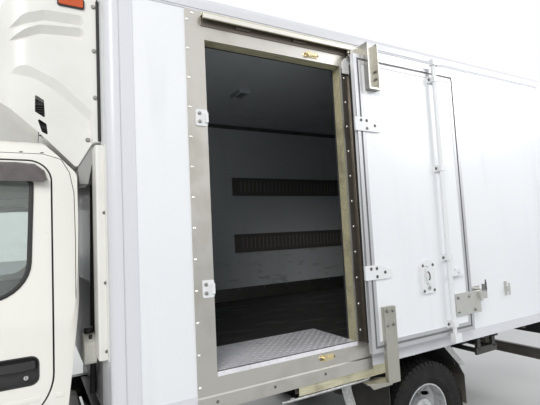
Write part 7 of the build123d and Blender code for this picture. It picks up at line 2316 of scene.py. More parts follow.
# A mudguard's stay bolts, and the section of the flap behind it, from the rearmost edge and up
STAY_BOLT_Y = (0.64, 0.80, 0.94)
STAY_Z = 0.42
FLAP_SECTION = ((0.004, 0.44), (-0.004, 0.38), (-0.008, 0.30), (-0.004, 0.30), (0.0, 0.38), (0.010, 0.44))
FLAP_Y = (0.60, 0.975)


def mudguard_stays():
    """Flat stays, bolts and the rubber flap of each rear mudguard."""
    low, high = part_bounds("mudguards")
    stays, flap, rows = Form(), Form(), []
    for side in (LEFT, RIGHT):
        for x, out in ((low[0] + 0.03, -1), (high[0] - 0.03, 1)):
            stays.block((x - 0.006, side * 0.60, STAY_Z), (x + 0.006, side * 0.97, STAY_Z + 0.030))
            for y in STAY_BOLT_Y:
                rows.append(((x + out * 0.0065, side * y, STAY_Z + 0.015), (out, 0, 0)))
        rearmost = low[0] + 0.008
        flap.grid([[(rearmost + x, side * y, z) for x, z in FLAP_SECTION] for y in FLAP_Y], ends=True)
    add_piece("mudguard_stays", stays, "truck", "black_frame", FRAME_BLACK, bevel=0.001, smooth=35)
    add_piece("mudguard_bolts", heads(bolt_head(), rows, ZINC, 0.8), "truck", "galvanised")
    add_piece("mudguard_flaps", flap, "truck", "black_plastic", SOFT_RUBBER, bevel=0.001, smooth=35)


# Engine: the sump's ribs, the belt wheels as (height, across, radius) and the bolt rows
SUMP_RIBS = (7, 1.66, 0.06)
BELT_WHEELS = ((0.560, 0.0, 0.075), (0.740, 0.130, 0.050), (0.760, -0.120, 0.055))
ENGINE_BOLT_X = (1.62, 2.08)
ENGINE_BOLT_Z = (0.90, 0.50)


def engine_details():
    """Sump ribs, grooved belt wheels and rows of bolts on the plain engine block."""
    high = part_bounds("engine_block")[1]
    form, belt, rows = Form(), Form(), []
    count, first, pitch = SUMP_RIBS
    for x in (first + pitch * number for number in range(count)):
        form.block((x - 0.006, -0.262, 0.422), (x + 0.006, 0.262, 0.436))
    for z, y, radius in BELT_WHEELS:
        belt.turned([(0, 0.012), (0, radius), (0.008, radius), (0.014, radius - 0.008),
                     (0.020, radius), (0.028, radius), (0.028, 0.012)], (high[0], y, z), "X", 32,
                    closed=False)
    for side in (-1, 1):
        for x, _, _ in spaced((ENGINE_BOLT_X[0], 0, 0), (ENGINE_BOLT_X[1], 0, 0), 0.09):
            rows += [((x, side * (high[1] + 0.0002), z), (0, side, 0)) for z in ENGINE_BOLT_Z]
    add_piece("sump_ribs", form, "truck", "cast", CASTING, bevel=0.002, smooth=35)
    add_piece("belt_wheels", belt, "truck", "black_frame", FRAME_BLACK, smooth=35)
    add_piece("engine_bolts", heads(bolt_head(), rows, ZINC), "truck", "galvanised")


STAY_SHEET = 0.004
SILL_STAY = ((-0.300, 0.770), (-0.378, 0.770), (-0.392, 0.680), (-0.425, 0.560), (-0.350, 0.560),
             (-0.318, 0.680))
SILL_STAY_Y = 0.984
GUARD_STAY = ((-1.262, 0.800), (-1.325, 0.800), (-1.480, 0.639), (-1.420, 0.639))
GUARD_STAY_Y = 1.0105


def side_stays():
    """The flat stay under the sill ahead of the rear wheel, and those along the mudguards."""
    form = Form().slab(SILL_STAY, "XZ", SILL_STAY_Y, SILL_STAY_Y + STAY_SHEET)
    for side in (LEFT, RIGHT):
        low, high = sorted((side * GUARD_STAY_Y, side * (GUARD_STAY_Y + STAY_SHEET)))
        form.slab(GUARD_STAY, "XZ", low, high)
    add_piece("side_stays", form, "truck", "galvanised", ZINC, bevel=0.001)


# Rear: gaskets, hinge bolts, cams, handle grips, lamps and reflectors

REAR_FACE_X = -2.815
LEAF_INNER_X = -2.7349
REAR_HINGE_HEIGHTS = (1.150, 1.560, 2.340, 2.750)
HINGE_BOLT_Y = (0.905, 0.945, 0.985)
ROD_GUIDE_HEIGHTS = (1.075, 1.525, 2.125, 2.853)
ROD_GUIDE_Y = (0.074, 0.116)
ROD_Y = 0.095
# Each cam's height, and whether it closes downwards or upwards
CAMS = ((1.022, -1), (2.886, 1))
CAM_COLLAR = ((-0.016, 0.0122), (-0.016, 0.0172), (0.010, 0.0172), (0.016, 0.0150), (0.016, 0.0122))
MIDDLE_LIP = ((-2.815, 0.022), (-2.8195, 0.022), (-2.8195, -0.024), (-2.816, -0.024), (-2.816, 0.004),
              (-2.815, 0.004))


def rear_gaskets():
    """Double rubber lip round the inner edge of each rear leaf."""
    for side in (LEFT, RIGHT):
        outline = oblong(0.008, 1.021, FLOOR_Z + 0.009, REAR_HIGH.z - 0.117, 0.010)
        form = Form().frame(outline, "YZ", 0.016, LEAF_INNER_X, -2.728)
        form.frame(taken_in(outline, 0.022), "YZ", 0.010, LEAF_INNER_X, -2.731)
        add_piece("rear_gasket_" + SIDE_NAMES[side], form.on(side), "rear_door_" + SIDE_NAMES[side],
                  "black_plastic", SOFT_RUBBER, bevel=0.002)


def rear_edging():
    """Thin edging round each leaf's outer face and the lip over the middle joint."""
    for side in (LEFT, RIGHT):
        outline = oblong(0.007, 1.022, FLOOR_Z + 0.008, REAR_HIGH.z - 0.116, 0.004)
        form = Form().frame(outline, "YZ", 0.030, REAR_FACE_X - 0.0025, REAR_FACE_X + 0.001)
        add_piece("rear_edging_" + SIDE_NAMES[side], form.on(side), "rear_door_" + SIDE_NAMES[side],
                  "rail_white", ALUMINIUM, bevel=0.0008)
    lip = Form().slab(MIDDLE_LIP, "XY", FLOOR_Z + 0.02, REAR_HIGH.z - 0.128)
    add_piece("rear_middle_lip", lip, "rear_door_left", "black_plastic", SOFT_RUBBER)


def rear_fasteners():
    """Bolts on the hinge straps and on the lock rods' guides."""
    for side in (LEFT, RIGHT):
        name = SIDE_NAMES[side]
        starts = [("rear_door_" + name, side * y, z + rise) for z in REAR_HINGE_HEIGHTS
                  for y in HINGE_BOLT_Y for rise in (-0.024, 0.024)]
        starts += [("rear_lock_" + name, side * y, z + rise) for z in ROD_GUIDE_HEIGHTS
                   for y in ROD_GUIDE_Y for rise in (-0.010, 0.010)]
        hits = [struck(node, (REAR_START, y, z), (1, 0, 0)) for node, y, z in starts]
        rows = [(tuple(hit), (-1, 0, 0)) for hit in hits if hit]
        add_piece("rear_bolts_" + name, heads(bolt_head(), rows, ZINC, 0.62), "rear_door_" + name,
                  "galvanised")


# Low and high corners of a cam's blade, from its rod and its height
CAM_BLADE = ((-2.8495, -0.010, -0.012), (-2.826, 0.028, 0.0))
CAM_COLLAR_X = -2.8325
CAM_COLLAR_SHIFT = 0.012
# A keeper's base plate and one of its two claws, from the rod and the keeper's own height
KEEPER_BASE = ((-2.823, -0.034, -0.022), (-2.8145, 0.046, 0.032))
KEEPER_CLAW = ((-2.842, -0.006, -0.010), (-2.8185, 0.006, 0.020))
KEEPER_CLAW_Y = (-0.026, 0.036)
KEEPER_BELOW = 0.030
KEEPER_ABOVE = 0.020
# The grip on the lock's handle: out from the truck, across and up
LOCK_GRIP = ((-2.839, 0.350, 1.405), (-2.843, 0.300, 1.405), (-2.843, 0.180, 1.405))
LOCK_GRIP_RADIUS = 0.0068


def rear_block(form, corners, y, z):
    """A block of the rear locks, moved across and up to its place."""
    low, high = ((x, y + across, z + up) for x, across, up in corners)
    form.block(low, high)


def rear_lock_parts():
    """Cams in keepers at both ends of each rod, and a grip on the handle."""
    keepers = Form()
    for side in (LEFT, RIGHT):
        form, y = Form(), side * ROD_Y
        for z, way in CAMS:
            form.turned(CAM_COLLAR, (CAM_COLLAR_X, y, z - way * CAM_COLLAR_SHIFT), "Z", 20)
            rear_block(form, CAM_BLADE, y, z)
            base = z - KEEPER_BELOW if way < 0 else z + KEEPER_ABOVE
            rear_block(keepers, KEEPER_BASE, y, base)
            for across in KEEPER_CLAW_Y:
                rear_block(keepers, KEEPER_CLAW, y + across, base)
        form.tube([(x, side * across, z) for x, across, z in LOCK_GRIP], LOCK_GRIP_RADIUS, 12)
        add_piece("rear_cams_" + SIDE_NAMES[side], form, "rear_door_" + SIDE_NAMES[side], "stainless",
                  REAR_STEEL, bevel=0.0012, smooth=35)
    add_piece("rear_keepers", keepers, "truck", "stainless", REAR_STEEL, bevel=0.0015, smooth=35)


# The tail lamp's three parts: name, inner and outer edge, and lens
TAIL_LENSES = (("stop", 0.648, 0.765, RED_LENS), ("turn", 0.769, 0.880, AMBER_LENS),
               ("reverse", 0.884, 0.972, CLEAR_LENS))
# A lens's section: (ahead of its crown, height); its foot lies on the housing
LENS_SECTION = ((0.003, 0.658), (0.0, 0.666), (-0.001, 0.710), (0.0, 0.754), (0.003, 0.762))
LENS_FOOT_X = -2.799
LENS_FACE_X = -2.8005
LENS_CROWN = 0.006
LENS_RIB = 0.0012
TAIL_HOUSING = ((0.636, 0.646), (0.984, 0.646), (0.984, 0.774), (0.636, 0.774))


def tail_lamp_lenses():
    """Each lamp in three parts, red, amber and clear, with ribs across the lens."""
    low, high = LENS_SECTION[0][1], LENS_SECTION[-1][1]
    for side in (LEFT, RIGHT):
        for label, y0, y1, material in TAIL_LENSES:
            rows = []
            steps = max(4, round((y1 - y0) / 0.006))
            for step in range(steps + 1):
                y = y0 + (y1 - y0) * step / steps
                crown = LENS_CROWN * math.sin(math.pi * step / steps) ** 0.5 if 0 < step < steps else 0.0
                out = LENS_FACE_X - crown - LENS_RIB * (step % 2)
                rows.append([(out + ahead, y, z) for ahead, z in LENS_SECTION]
                            + [(LENS_FOOT_X, y, high), (LENS_FOOT_X, y, low)])
            form = Form()
            form.grid(rows, ends=True)
            add_piece(f"tail_{label}_{SIDE_NAMES[side]}", form.on(side), "truck", "lens_red", material,
                      smooth=50)
    housing = Form()
    for side in (LEFT, RIGHT):
        housing.frame([(side * y, z) for y, z in TAIL_HOUSING], "YZ", 0.010, -2.806, -2.748)
    add_piece("tail_housings", housing, "truck", "black_plastic", BLACK_PLASTIC, bevel=0.002)


# A reflector and a corner lamp with its rim: place across, half width, foot, top and corner radius
REFLECTOR = (0.930, 0.030, 0.425, 0.475, 0.006)
CORNER_LAMP = (1.000, 0.035, 2.945, 2.968, 0.008)
CORNER_LAMP_RIM = (1.000, 0.040, 2.940, 2.973, 0.010)
CORNER_LAMP_FOOT_X = -2.8145
BRACKET_PLATE = (-0.165, 0.165, 0.560, 0.725, 0.008)
BRACKET_PLATE_X = (-2.795, -2.792)
# Dark blocks that carry the rear plate and its lamp: low and high corners
PLATE_BRACKET = (((-2.792, -0.150, 0.585), (-2.770, 0.150, 0.600)),
                 ((-2.792, -0.150, 0.690), (-2.770, 0.150, 0.705)),
                 ((-2.776, -0.134, 0.500), (-2.768, -0.106, 0.708)),
                 ((-2.776, 0.106, 0.500), (-2.768, 0.134, 0.708)),
                 ((-2.812, -0.060, 0.728), (-2.775, 0.060, 0.748)))


def rear_oblong(side, across, half, foot, top, radius):
    """The outline of a small fitting at one side of the rear."""
    y = side * across
    return oblong(y - half, y + half, foot, top, radius)


def rear_details():
    """Reflectors, corner lamps, and the rear plate with its bracket and lamp."""
    corners, black, white, red = Form(), Form(), Form(), Form()
    for side in (LEFT, RIGHT):
        red.slab(rear_oblong(side, *REFLECTOR), "YZ", -2.8075, -2.7995)
        corners.slab(rear_oblong(side, *CORNER_LAMP), "YZ", -2.8255, CORNER_LAMP_FOOT_X)
        black.frame(rear_oblong(side, *CORNER_LAMP_RIM), "YZ", 0.006, -2.8225, CORNER_LAMP_FOOT_X)
    white.slab(oblong(*BRACKET_PLATE), "YZ", *BRACKET_PLATE_X)
    for low, high in PLATE_BRACKET:
        black.block(low, high)
    add_piece("rear_reflectors", red, "truck", "lens_red", RED_LENS, bevel=0.002)
    add_piece("rear_corner_lamps", corners, "truck", "lens_red", RED_LENS, bevel=0.002)
    add_piece("rear_plate_bracket", black, "truck", "black_plastic", BLACK_PLASTIC, bevel=0.002)
    add_piece("rear_plate", white, "truck", "panel_white", PLATE_WHITE, bevel=0.0012)


EDGE_RIVET_X = (0.90, -2.66)
EDGE_RIVET_Z = (2.925, 0.866)
EDGE_RIVET_PITCH = 0.20


def rail_rivets():
    """Rivets along the roof rails and the bottom rails, laid on the rails' own surface."""
    front, rear = EDGE_RIVET_X
    rivets = []
    for side in (LEFT, RIGHT):
        for height in EDGE_RIVET_Z:
            for x, _, z in spaced((front, 0, height), (rear, 0, height), EDGE_RIVET_PITCH):
                at_doorway = side == LEFT and z < DOORWAY_SILL_Z and FRAME_LOW.x < x < FRAME_HIGH.x
                hit = struck("box_edge_rails", (x, side * FRAME_FACE_Y * 1.3, z), (0, -side, 0))
                if hit and not at_doorway and abs(hit.y) > WALL_FACE_Y - 0.004:
                    rivets.append((tuple(hit), (0, side, 0)))
    add_piece("rail_rivets", heads(rivet_head(), rivets, RAIL_WHITE), "truck", "rail_white")


# Inside the cab

WHEEL_CENTRE = Vector((2.085, -0.520, 1.395))
WHEEL_AXIS = Vector((-0.530, 0, 0.848))


def dash_x(y, z):
    """Where the dashboard's face lies, seen from the seats."""
    return struck("dashboard", (2.0, y, z), (1, 0, 0)).x


# Dials: across, height and radius; vents: across and half width; framed panels: across and up
HOOD_MIDDLE_Y = -0.520
HOOD_HALF_Y = 0.190
DIALS = ((-0.585, 1.345, 0.040), (-0.470, 1.345, 0.040), (-0.400, 1.335, 0.020), (-0.650, 1.335, 0.020))
DASH_VENTS = ((-0.800, 0.060), (-0.100, 0.075), (0.080, 0.075), (0.800, 0.060))
DASH_PANELS = ((0.270, 0.720, 1.070, 1.190), (-0.215, 0.215, 1.070, 1.195))
KNOB_Y = (-0.130, 0.0, 0.130)
SWITCH_Y = tuple(-0.125 + 0.050 * number for number in range(6))


HOOD_FOOT_Z = 1.335
HOOD_RISE = 0.055
HOOD_SKIRT_Z = 1.310


def dash_hood():
    """The hood over the dials."""
    rows = []
    for part in range(-9, 10):
        y = HOOD_MIDDLE_Y + HOOD_HALF_Y * part / 10
        z = HOOD_FOOT_Z + HOOD_RISE * math.cos((y - HOOD_MIDDLE_Y) / HOOD_HALF_Y * math.pi / 2) ** 0.7
        rows.append([(2.385, y, HOOD_SKIRT_Z), (2.345, y, z), (2.365, y, z + 0.006), (2.460, y, z - 0.004),
                     (2.480, y, HOOD_SKIRT_Z)])
    hood = Form()
    hood.grid(rows, ends=True)
    add_piece("dash_hood", hood, "cab", "black_plastic", GRAINED, bevel=0.002, smooth=50)


def dash_dials():
    """Blank dials with marks and a needle each."""
    dials, faces = Form(), Form()
    for y, z, radius in DIALS:
        rim = radius - 0.003
        dials.turned([(0.004, rim), (-0.004, rim), (-0.004, radius), (0.004, radius)], (2.344, y, z),
                     "X", 32)
        faces.rod((2.3465, y, z), (2.3435, y, z), radius - 0.004, sides=32)
        for step in range(9):
            angle = math.radians(220 - 32.5 * step)
            outer = radius - 0.006
            mark = Form().block((-0.0008, -0.0009, outer - radius * 0.16), (0.0008, 0.0009, outer))
            mark.turn(Matrix.Translation((2.3430, y, z)) @ Matrix.Rotation(angle - math.pi / 2, 4, "X"))
            dials.add(mark.mesh_named("mark"))
        needle = Form().block((-0.001, -0.0015, -radius * 0.15), (0.001, 0.0015, radius * 0.7))
        needle.turn(Matrix.Translation((2.3420, y, z)) @ Matrix.Rotation(math.radians(120), 4, "X"))
        dials.add(needle.mesh_named("needle"))
    add_piece("dial_rings", dials, "cab", "wheel_silver", WHITE_PLASTIC, smooth=35)
    add_piece("dial_faces", faces, "cab", "black_plastic", BLACK_PLASTIC, smooth=35)


# A vent's foot and top, its blades' section with their first height and pitch, and its tab
DASH_VENT_Z = (1.215, 1.275)
VENT_BLADE = ((-0.001, 0.0), (0.012, 0.005), (0.012, 0.007), (-0.001, 0.002))
VENT_BLADES = 5
VENT_BLADE_Z = 1.228
VENT_BLADE_PITCH = 0.0090
VENT_TAB_Z = (1.236, 1.262)
KNOB_Z = 1.098
KNOB_RADIUS = 0.019
SWITCH_Z = (1.150, 1.172)
HAZARD_SWITCH = ((0.455, 1.165), (0.535, 1.180))


def dash_fittings():
    """Vents, a glove box, a radio panel with knobs and switches."""
    vents = Form()
    foot, top = DASH_VENT_Z
    for y, wide in DASH_VENTS:
        x = dash_x(y, (foot + top) / 2)
        low, high = y - wide, y + wide
        vents.frame([(low, foot), (high, foot), (high, top), (low, top)], "YZ", 0.008, x - 0.006,
                    x + 0.030)
        for number in range(VENT_BLADES):
            z = VENT_BLADE_Z + VENT_BLADE_PITCH * number
            vents.slab([(x + ahead, z + up) for ahead, up in VENT_BLADE], "XZ", low + 0.006, high - 0.006)
        vents.block((x - 0.003, y - 0.004, VENT_TAB_Z[0]), (x + 0.001, y + 0.004, VENT_TAB_Z[1]))
    for y0, y1, z0, z1 in DASH_PANELS:
        x = dash_x((y0 + y1) / 2, (z0 + z1) / 2)
        vents.frame(oblong(y0, y1, z0, z1, 0.012), "YZ", 0.006, x - 0.006, x + 0.012)
    x = dash_x(0.0, 1.130)
    for y in KNOB_Y:
        vents.rod((x - 0.020, y, KNOB_Z), (x + 0.004, y, KNOB_Z), KNOB_RADIUS, sides=20)
    for y in SWITCH_Y:
        vents.block((x - 0.007, y - 0.018, SWITCH_Z[0]), (x + 0.004, y + 0.018, SWITCH_Z[1]))
    (y0, z0), (y1, z1) = HAZARD_SWITCH
    vents.block((x - 0.010, y0, z0), (x + 0.004, y1, z1))
    add_piece("dash_fittings", vents, "cab", "black_plastic", BLACK_PLASTIC, bevel=0.001, smooth=35)


# Steering wheel: the rim's radius, its grip's thickness and how it swells, and the boss's section
RIM_RADIUS = 0.200
GRIP_RADIUS = 0.0150
GRIP_RIB = 0.0010
GRIP_SWELL = 0.0012
BOSS_SECTION = ((-0.014, 0), (-0.014, 0.056), (0.010, 0.060), (0.022, 0.052), (0.028, 0.030), (0.029, 0))
COLUMN_SECTION = ((-0.190, 0.031), (-0.190, 0.042), (-0.080, 0.050), (-0.062, 0.044), (-0.062, 0.031))
STALK_PATH = ((0.040, 0.0), (0.100, 0.012), (0.160, 0.034))


def steering_grip():
    """Moulded grip round the rim, the boss pad, the column's cover and the stalks."""
    turn = WHEEL_AXIS.to_track_quat("Z", "X").to_matrix().to_4x4()
    place = Matrix.Translation(WHEEL_CENTRE) @ turn
    rows = []
    for step in range(96):
        angle = 2 * math.pi * step / 96
        swell = GRIP_RADIUS + GRIP_RIB * (step % 4 == 0) + GRIP_SWELL * math.cos(4 * angle)
        ring = []
        for part in range(14):
            turning = 2 * math.pi * part / 14
            reach = RIM_RADIUS + swell * math.cos(turning)
            ring.append((reach * math.cos(angle), reach * math.sin(angle), swell * math.sin(turning)))
        rows.append(ring)
    grip = Form()
    grip.grid(rows, closed_rows=True)
    grip.turned(BOSS_SECTION, ORIGIN, "Z", 40, closed=False)
    add_piece("steering_grip", grip.turn(place), "steering_wheel", "black_plastic", GRAINED, smooth=50)
    cover = Form().turned(COLUMN_SECTION, ORIGIN, "Z", 28)
    add_piece("column_cover", cover.turn(place), "cab", "black_plastic", GRAINED, smooth=50, bevel=0.001)
    stalks = Form()
    start = WHEEL_CENTRE - WHEEL_AXIS * 0.095
    for side in (-1, 1):
        path = [start + Vector((0, side * out, up)) for out, up in STALK_PATH]
        stalks.tube(path, 0.0065, 10, up=(1, 0, 0))
    add_piece("column_stalks", stalks, "cab", "black_plastic", BLACK_PLASTIC, smooth=50)


# Pedals: across and half width; mats: from and to across; the gear lever's boot: (up, radius)
# Each pedal's place across and the half width of its pad, then its arm, forward and up
PEDALS = ((-0.400, 0.032), (-0.560, 0.032), (-0.680, 0.022))
PEDAL_ARM = ((2.395, 0.985), (2.350, 0.930), (2.330, 0.880))
PEDAL_PAD = (2.322, 0.872)
PEDAL_TILT = 25
PAD_HEIGHT = 0.030
PAD_RIBS = (-0.021, -0.007, 0.007, 0.021)
# The floor mats: across, along, their foot and top, and the top of their ribs
MAT_Y = ((-0.860, -0.270), (0.270, 0.860))
MAT_X = (2.215, 2.480)
MAT_Z = (0.770, 0.776)
MAT_RIB_X = (2.235, 2.460)
MAT_RIB_TOP = 0.7785
GEAR_BOOT = ((0.0, 0.060), (0.004, 0.060), (0.012, 0.048), (0.018, 0.052), (0.028, 0.040), (0.034, 0.044),
             (0.046, 0.030), (0.052, 0.033), (0.066, 0.014), (0.070, 0.012), (0.070, 0), (0.0, 0))
GEAR_BOOT_PLACE = (2.130, -0.180, 1.010)
GEAR_LEVER = ((2.130, -0.180, 1.070), (2.120, -0.190, 1.180), (2.085, -0.215, 1.300))
GEAR_KNOB = (2.080, -0.218, 1.318)
GEAR_KNOB_RADIUS = 0.024
HANDBRAKE = ((2.060, -0.281, 1.040), (2.000, -0.281, 1.130), (1.982, -0.281, 1.160))
HANDBRAKE_FOOT = ((1.985, -0.300, 1.009), (2.100, -0.262, 1.050))
HANDBRAKE_GRIP = ((1.985, -0.281, 1.150), (1.975, -0.281, 1.175))


def pedals():
    """Three hanging pedals with ribbed pads."""
    form = Form()
    for y, width in PEDALS:
        form.tube([(x, y, z) for x, z in PEDAL_ARM], 0.007, 10, up=(0, 1, 0))
        pad = Form().block((-0.006, -width, -PAD_HEIGHT), (0.006, width, PAD_HEIGHT))
        for z in PAD_RIBS:
            pad.block((-0.010, -width + 0.004, z - 0.003), (-0.005, width - 0.004, z + 0.003))
        x, z = PEDAL_PAD
        pad.turn(Matrix.Translation((x, y, z)) @ Matrix.Rotation(math.radians(PEDAL_TILT), 4, "Y"))
        form.add(pad.mesh_named("pad"))
    add_piece("pedals", form, "cab", "black_plastic", SOFT_RUBBER, bevel=0.0015, smooth=35)


def levers():
    """The gear lever with its boot and knob, and the handbrake."""
    soft, rods = Form(), Form()
    soft.turned(GEAR_BOOT, GEAR_BOOT_PLACE, "Z", 32, closed=False)
    rods.tube(GEAR_LEVER, 0.007, 12, up=(0, 1, 0))
    soft.ball(GEAR_KNOB, GEAR_KNOB_RADIUS, (1, 1, 1.15))
    soft.block(*HANDBRAKE_FOOT)
    soft.rod(*HANDBRAKE_GRIP, 0.014, sides=14)
    rods.tube(HANDBRAKE, 0.008, 10, up=(0, 1, 0))
    add_piece("lever_boots", soft, "cab", "black_plastic", SOFT_RUBBER, smooth=50, bevel=0.001)
    add_piece("lever_rods", rods, "cab", "galvanised", CHROME, smooth=50)


def floor_mats():
    """A ribbed rubber mat in each footwell."""
    mats = Form()
    start, end = MAT_RIB_X
    for y0, y1 in MAT_Y:
        mats.slab(oblong(*MAT_X, y0, y1, 0.030), "XY", *MAT_Z)
        for x, _, _ in spaced((start, 0, 0), (end, 0, 0), 0.018):
            mats.block((x - 0.003, y0 + 0.030, MAT_Z[1] - 0.001), (x + 0.003, y1 - 0.030, MAT_RIB_TOP))
    add_piece("floor_mats", mats, "cab", "black_plastic", SOFT_RUBBER, smooth=35)


# A door card, the frame of its pocket, and where the door's inner face is measured
CARD = ((1.420, 1.060, 0.050), (2.330, 1.060, 0.050), (2.330, 1.380, 0.030), (1.420, 1.440, 0.050))
POCKET = ((1.480, 1.090, 0.030), (2.290, 1.090, 0.030), (2.290, 1.180, 0.030), (1.480, 1.180, 0.030))
CARD_PROBES = ((1.6, 1.1), (2.2, 1.1), (1.9, 1.3))
# The armrest: its back end, length and rise, how far it swells, and its section. A row of the section
# says what share of the swell it takes, or None on the door, and its place up
ARMREST_STEPS = 12
ARMREST_BACK = (1.560, 1.245)
ARMREST_LENGTH = 0.460
ARMREST_RISE = 0.030
ARMREST_SWELL = 0.052
ARMREST_SECTION = ((None, 0.022), (0.8, 0.024), (1.0, 0.014), (1.0, -0.006), (0.7, -0.022), (None, -0.024))
ARMREST_ROOT = 0.006
# The window winder: its hub, the bend of its arm and its knob, and the pull's recess
WINDER_HUB = (2.140, 1.300)
WINDER_BEND = (2.110, 1.285)
WINDER_KNOB = (2.060, 1.262)
PULL_RECESS = (2.190, 2.290, 1.290, 1.340, 0.014)
PULL_LEVER = ((2.200, 1.308), (2.270, 1.322))


def inner_face(node, side, x, z):
    """How far across a door's inner face lies at a place."""
    return abs(struck(node, (x, 0, z), (0, side, 0)).y)


def armrest_rows(y):
    """Rings along an armrest that swells out of a door's inner face and thins to the front."""
    rows = []
    for step in range(ARMREST_STEPS + 1):
        share = step / ARMREST_STEPS
        x = ARMREST_BACK[0] + ARMREST_LENGTH * share
        swell = ARMREST_SWELL * math.sin(math.pi * min(1, share * 3 + 0.12) / 2) * (1 - 0.25 * share)
        z = ARMREST_BACK[1] + ARMREST_RISE * share
        rows.append([(x, y - (ARMREST_ROOT if part is None else swell * part), z + up)
                     for part, up in ARMREST_SECTION])
    return rows


def door_winder(y):
    """The window winder and the door's pull in its recess, on an inner face."""
    form = Form()
    (hub_x, hub_z), (bend_x, bend_z), (knob_x, knob_z) = WINDER_HUB, WINDER_BEND, WINDER_KNOB
    form.rod((hub_x, y - 0.008, hub_z), (hub_x, y - 0.026, hub_z), 0.021, sides=24)
    form.tube([(hub_x, y - 0.024, hub_z), (bend_x, y - 0.030, bend_z), (knob_x, y - 0.030, knob_z)],
              0.0065, 10, up=(0, 1, 0))
    form.rod((knob_x, y - 0.026, knob_z), (knob_x, y - 0.056, knob_z), 0.011, sides=16)
    form.frame(oblong(*PULL_RECESS), "XZ", 0.008, y - 0.014, y - 0.006)
    (x0, z0), (x1, z1) = PULL_LEVER
    form.block((x0, y - 0.014, z0), (x1, y - 0.008, z1))
    return form


def door_cards():
    """Moulded inner panel, armrest, pull, winder and pocket on each cab door."""
    for side in (LEFT, RIGHT):
        node = CAB_DOORS[side]
        y = min(inner_face(node, side, x, z) for x, z in CARD_PROBES) - 0.001
        card = Form().slab(rounded(CARD, 5), "XZ", y - 0.009, y + 0.002)
        card.frame(rounded(POCKET, 4), "XZ", 0.012, y - 0.015, y - 0.008)
        card.grid(armrest_rows(y), ends=True)
        add_piece("door_card_" + SIDE_NAMES[side], card.on(side), node, "black_plastic", CAB_TRIM,
                  bevel=0.002, smooth=45)
        add_piece("door_winder_" + SIDE_NAMES[side], door_winder(y).on(side), node, "black_plastic",
                  BLACK_PLASTIC, bevel=0.001, smooth=40)


# Sun visors: from and to across, then up; the inner mirror; and a belt's path at the left
VISOR_Y = ((-0.700, -0.240), (0.240, 0.700))
INNER_MIRROR = ((-0.125, 1.900, 0.024), (0.125, 1.900, 0.024), (0.125, 1.962, 0.024),
                (-0.125, 1.962, 0.024))
MIRROR_STEM = ((2.392, 0, 1.935), (2.400, 0, 1.985), (2.385, 0, 2.100))
BELT_PATH = ((1.345, 0.905, 1.780), (1.352, 0.895, 1.600), (1.385, 0.845, 1.300), (1.420, 0.825, 1.060))
BELT_SECTION = ((-0.0012, -0.023), (0.0012, -0.023), (0.0012, 0.023), (-0.0012, 0.023))


def cab_furniture():
    """Sun visors, the inner mirror and the belts' webbing."""
    soft, hard, web = Form(), Form(), Form()
    for y0, y1 in VISOR_Y:
        outline = [(y0, 1.985, 0.020), (y1, 1.985, 0.020), (y1, 2.105, 0.030), (y0, 2.105, 0.030)]
        soft.slab(rounded(outline, 5), "YZ", 2.330, 2.344)
    add_piece("sun_visors", soft, "cab", "liner", CAB_TRIM, bevel=0.005, smooth=45)
    hard.slab(rounded(INNER_MIRROR, 5), "YZ", 2.372, 2.392)
    hard.tube(MIRROR_STEM, 0.006, 10, up=(0, 1, 0))
    add_piece("inner_mirror", hard, "cab", "black_plastic", BLACK_PLASTIC, bevel=0.003, smooth=45)
    for side in (LEFT, RIGHT):
        web.swept([(x, side * y, z) for x, y, z in BELT_PATH], BELT_SECTION, up=(1, 0, 0))
    add_piece("belt_webbing", web, "cab", "seat_cloth", BELT_WEB, smooth=0)


# The rear lining: its foot, height and rows of quilting, and the quilting's depth
LINING_Z = 1.060
LINING_HEIGHT = 0.380
LINING_ROWS = 24
LINING_PUFF = 0.008
LINING_HALF_Y = 0.860
LINING_STEP = 0.06


def cab_lining():
    """Quilted rear panel behind the seats."""
    x = struck("cab_shell", (1.6, 0, 1.35), (-1, 0, 0)).x + 0.0005
    columns = int(2 * LINING_HALF_Y / LINING_STEP) + 1
    rows = []
    for step in range(LINING_ROWS + 1):
        z = LINING_Z + LINING_HEIGHT * step / LINING_ROWS
        puff = LINING_PUFF * abs(math.sin(math.pi * step / 4)) ** 0.5
        rows.append([(x + 0.003 + puff, LINING_STEP * part - LINING_HALF_Y, z) for part in range(columns)])
    back = [[(x - 0.001, y, z) for _, y, z in ring] for ring in reversed(rows)]
    form = Form()
    form.grid(rows + back, closed_rows=True, closed_ring=False)
    add_piece("cab_rear_lining", form, "cab", "liner", CAB_TRIM, smooth=60)


# Seats: each pad is a loose cover blown up over its block by a cloth simulation

# Each seat: name, middle across and width; then the pads' side outlines
SEATS = (("driver", -0.560, 0.500), ("middle", -0.060, 0.360), ("passenger", 0.480, 0.560))
CUSHION_SIDE = ((1.424, 1.024, 0.020), (1.888, 1.024, 0.030), (1.892, 1.140, 0.045),
                (1.424, 1.126, 0.025))
BACK_SIDE = ((1.406, 1.132, 0.025), (1.352, 1.540, 0.030), (1.296, 1.540, 0.030), (1.318, 1.032, 0.025),
             (1.400, 1.032, 0.025))
HEADREST_SIDE = ((1.366, 1.580, 0.030), (1.354, 1.690, 0.030), (1.292, 1.690, 0.030),
                 (1.296, 1.580, 0.030))
SHELL_SIDE = ((1.430, 1.010, 0.010), (1.880, 1.010, 0.020), (1.885, 1.036, 0.010), (1.430, 1.036, 0.010))
HINGE_SIDE = ((1.350, 1.030, 0.020), (1.500, 1.020, 0.020), (1.500, 1.060, 0.020), (1.400, 1.130, 0.025),
              (1.345, 1.120, 0.020))
CLOTH_FRAMES = 20
CLOTH_VOXEL = 0.006
SEAM_DEPTH = 0.006
SEAM_INSET = 0.070
HEADREST_WIDTH = 0.270
CHANNEL_DEPTH = 0.007
PAD_CLEARANCE = 0.012
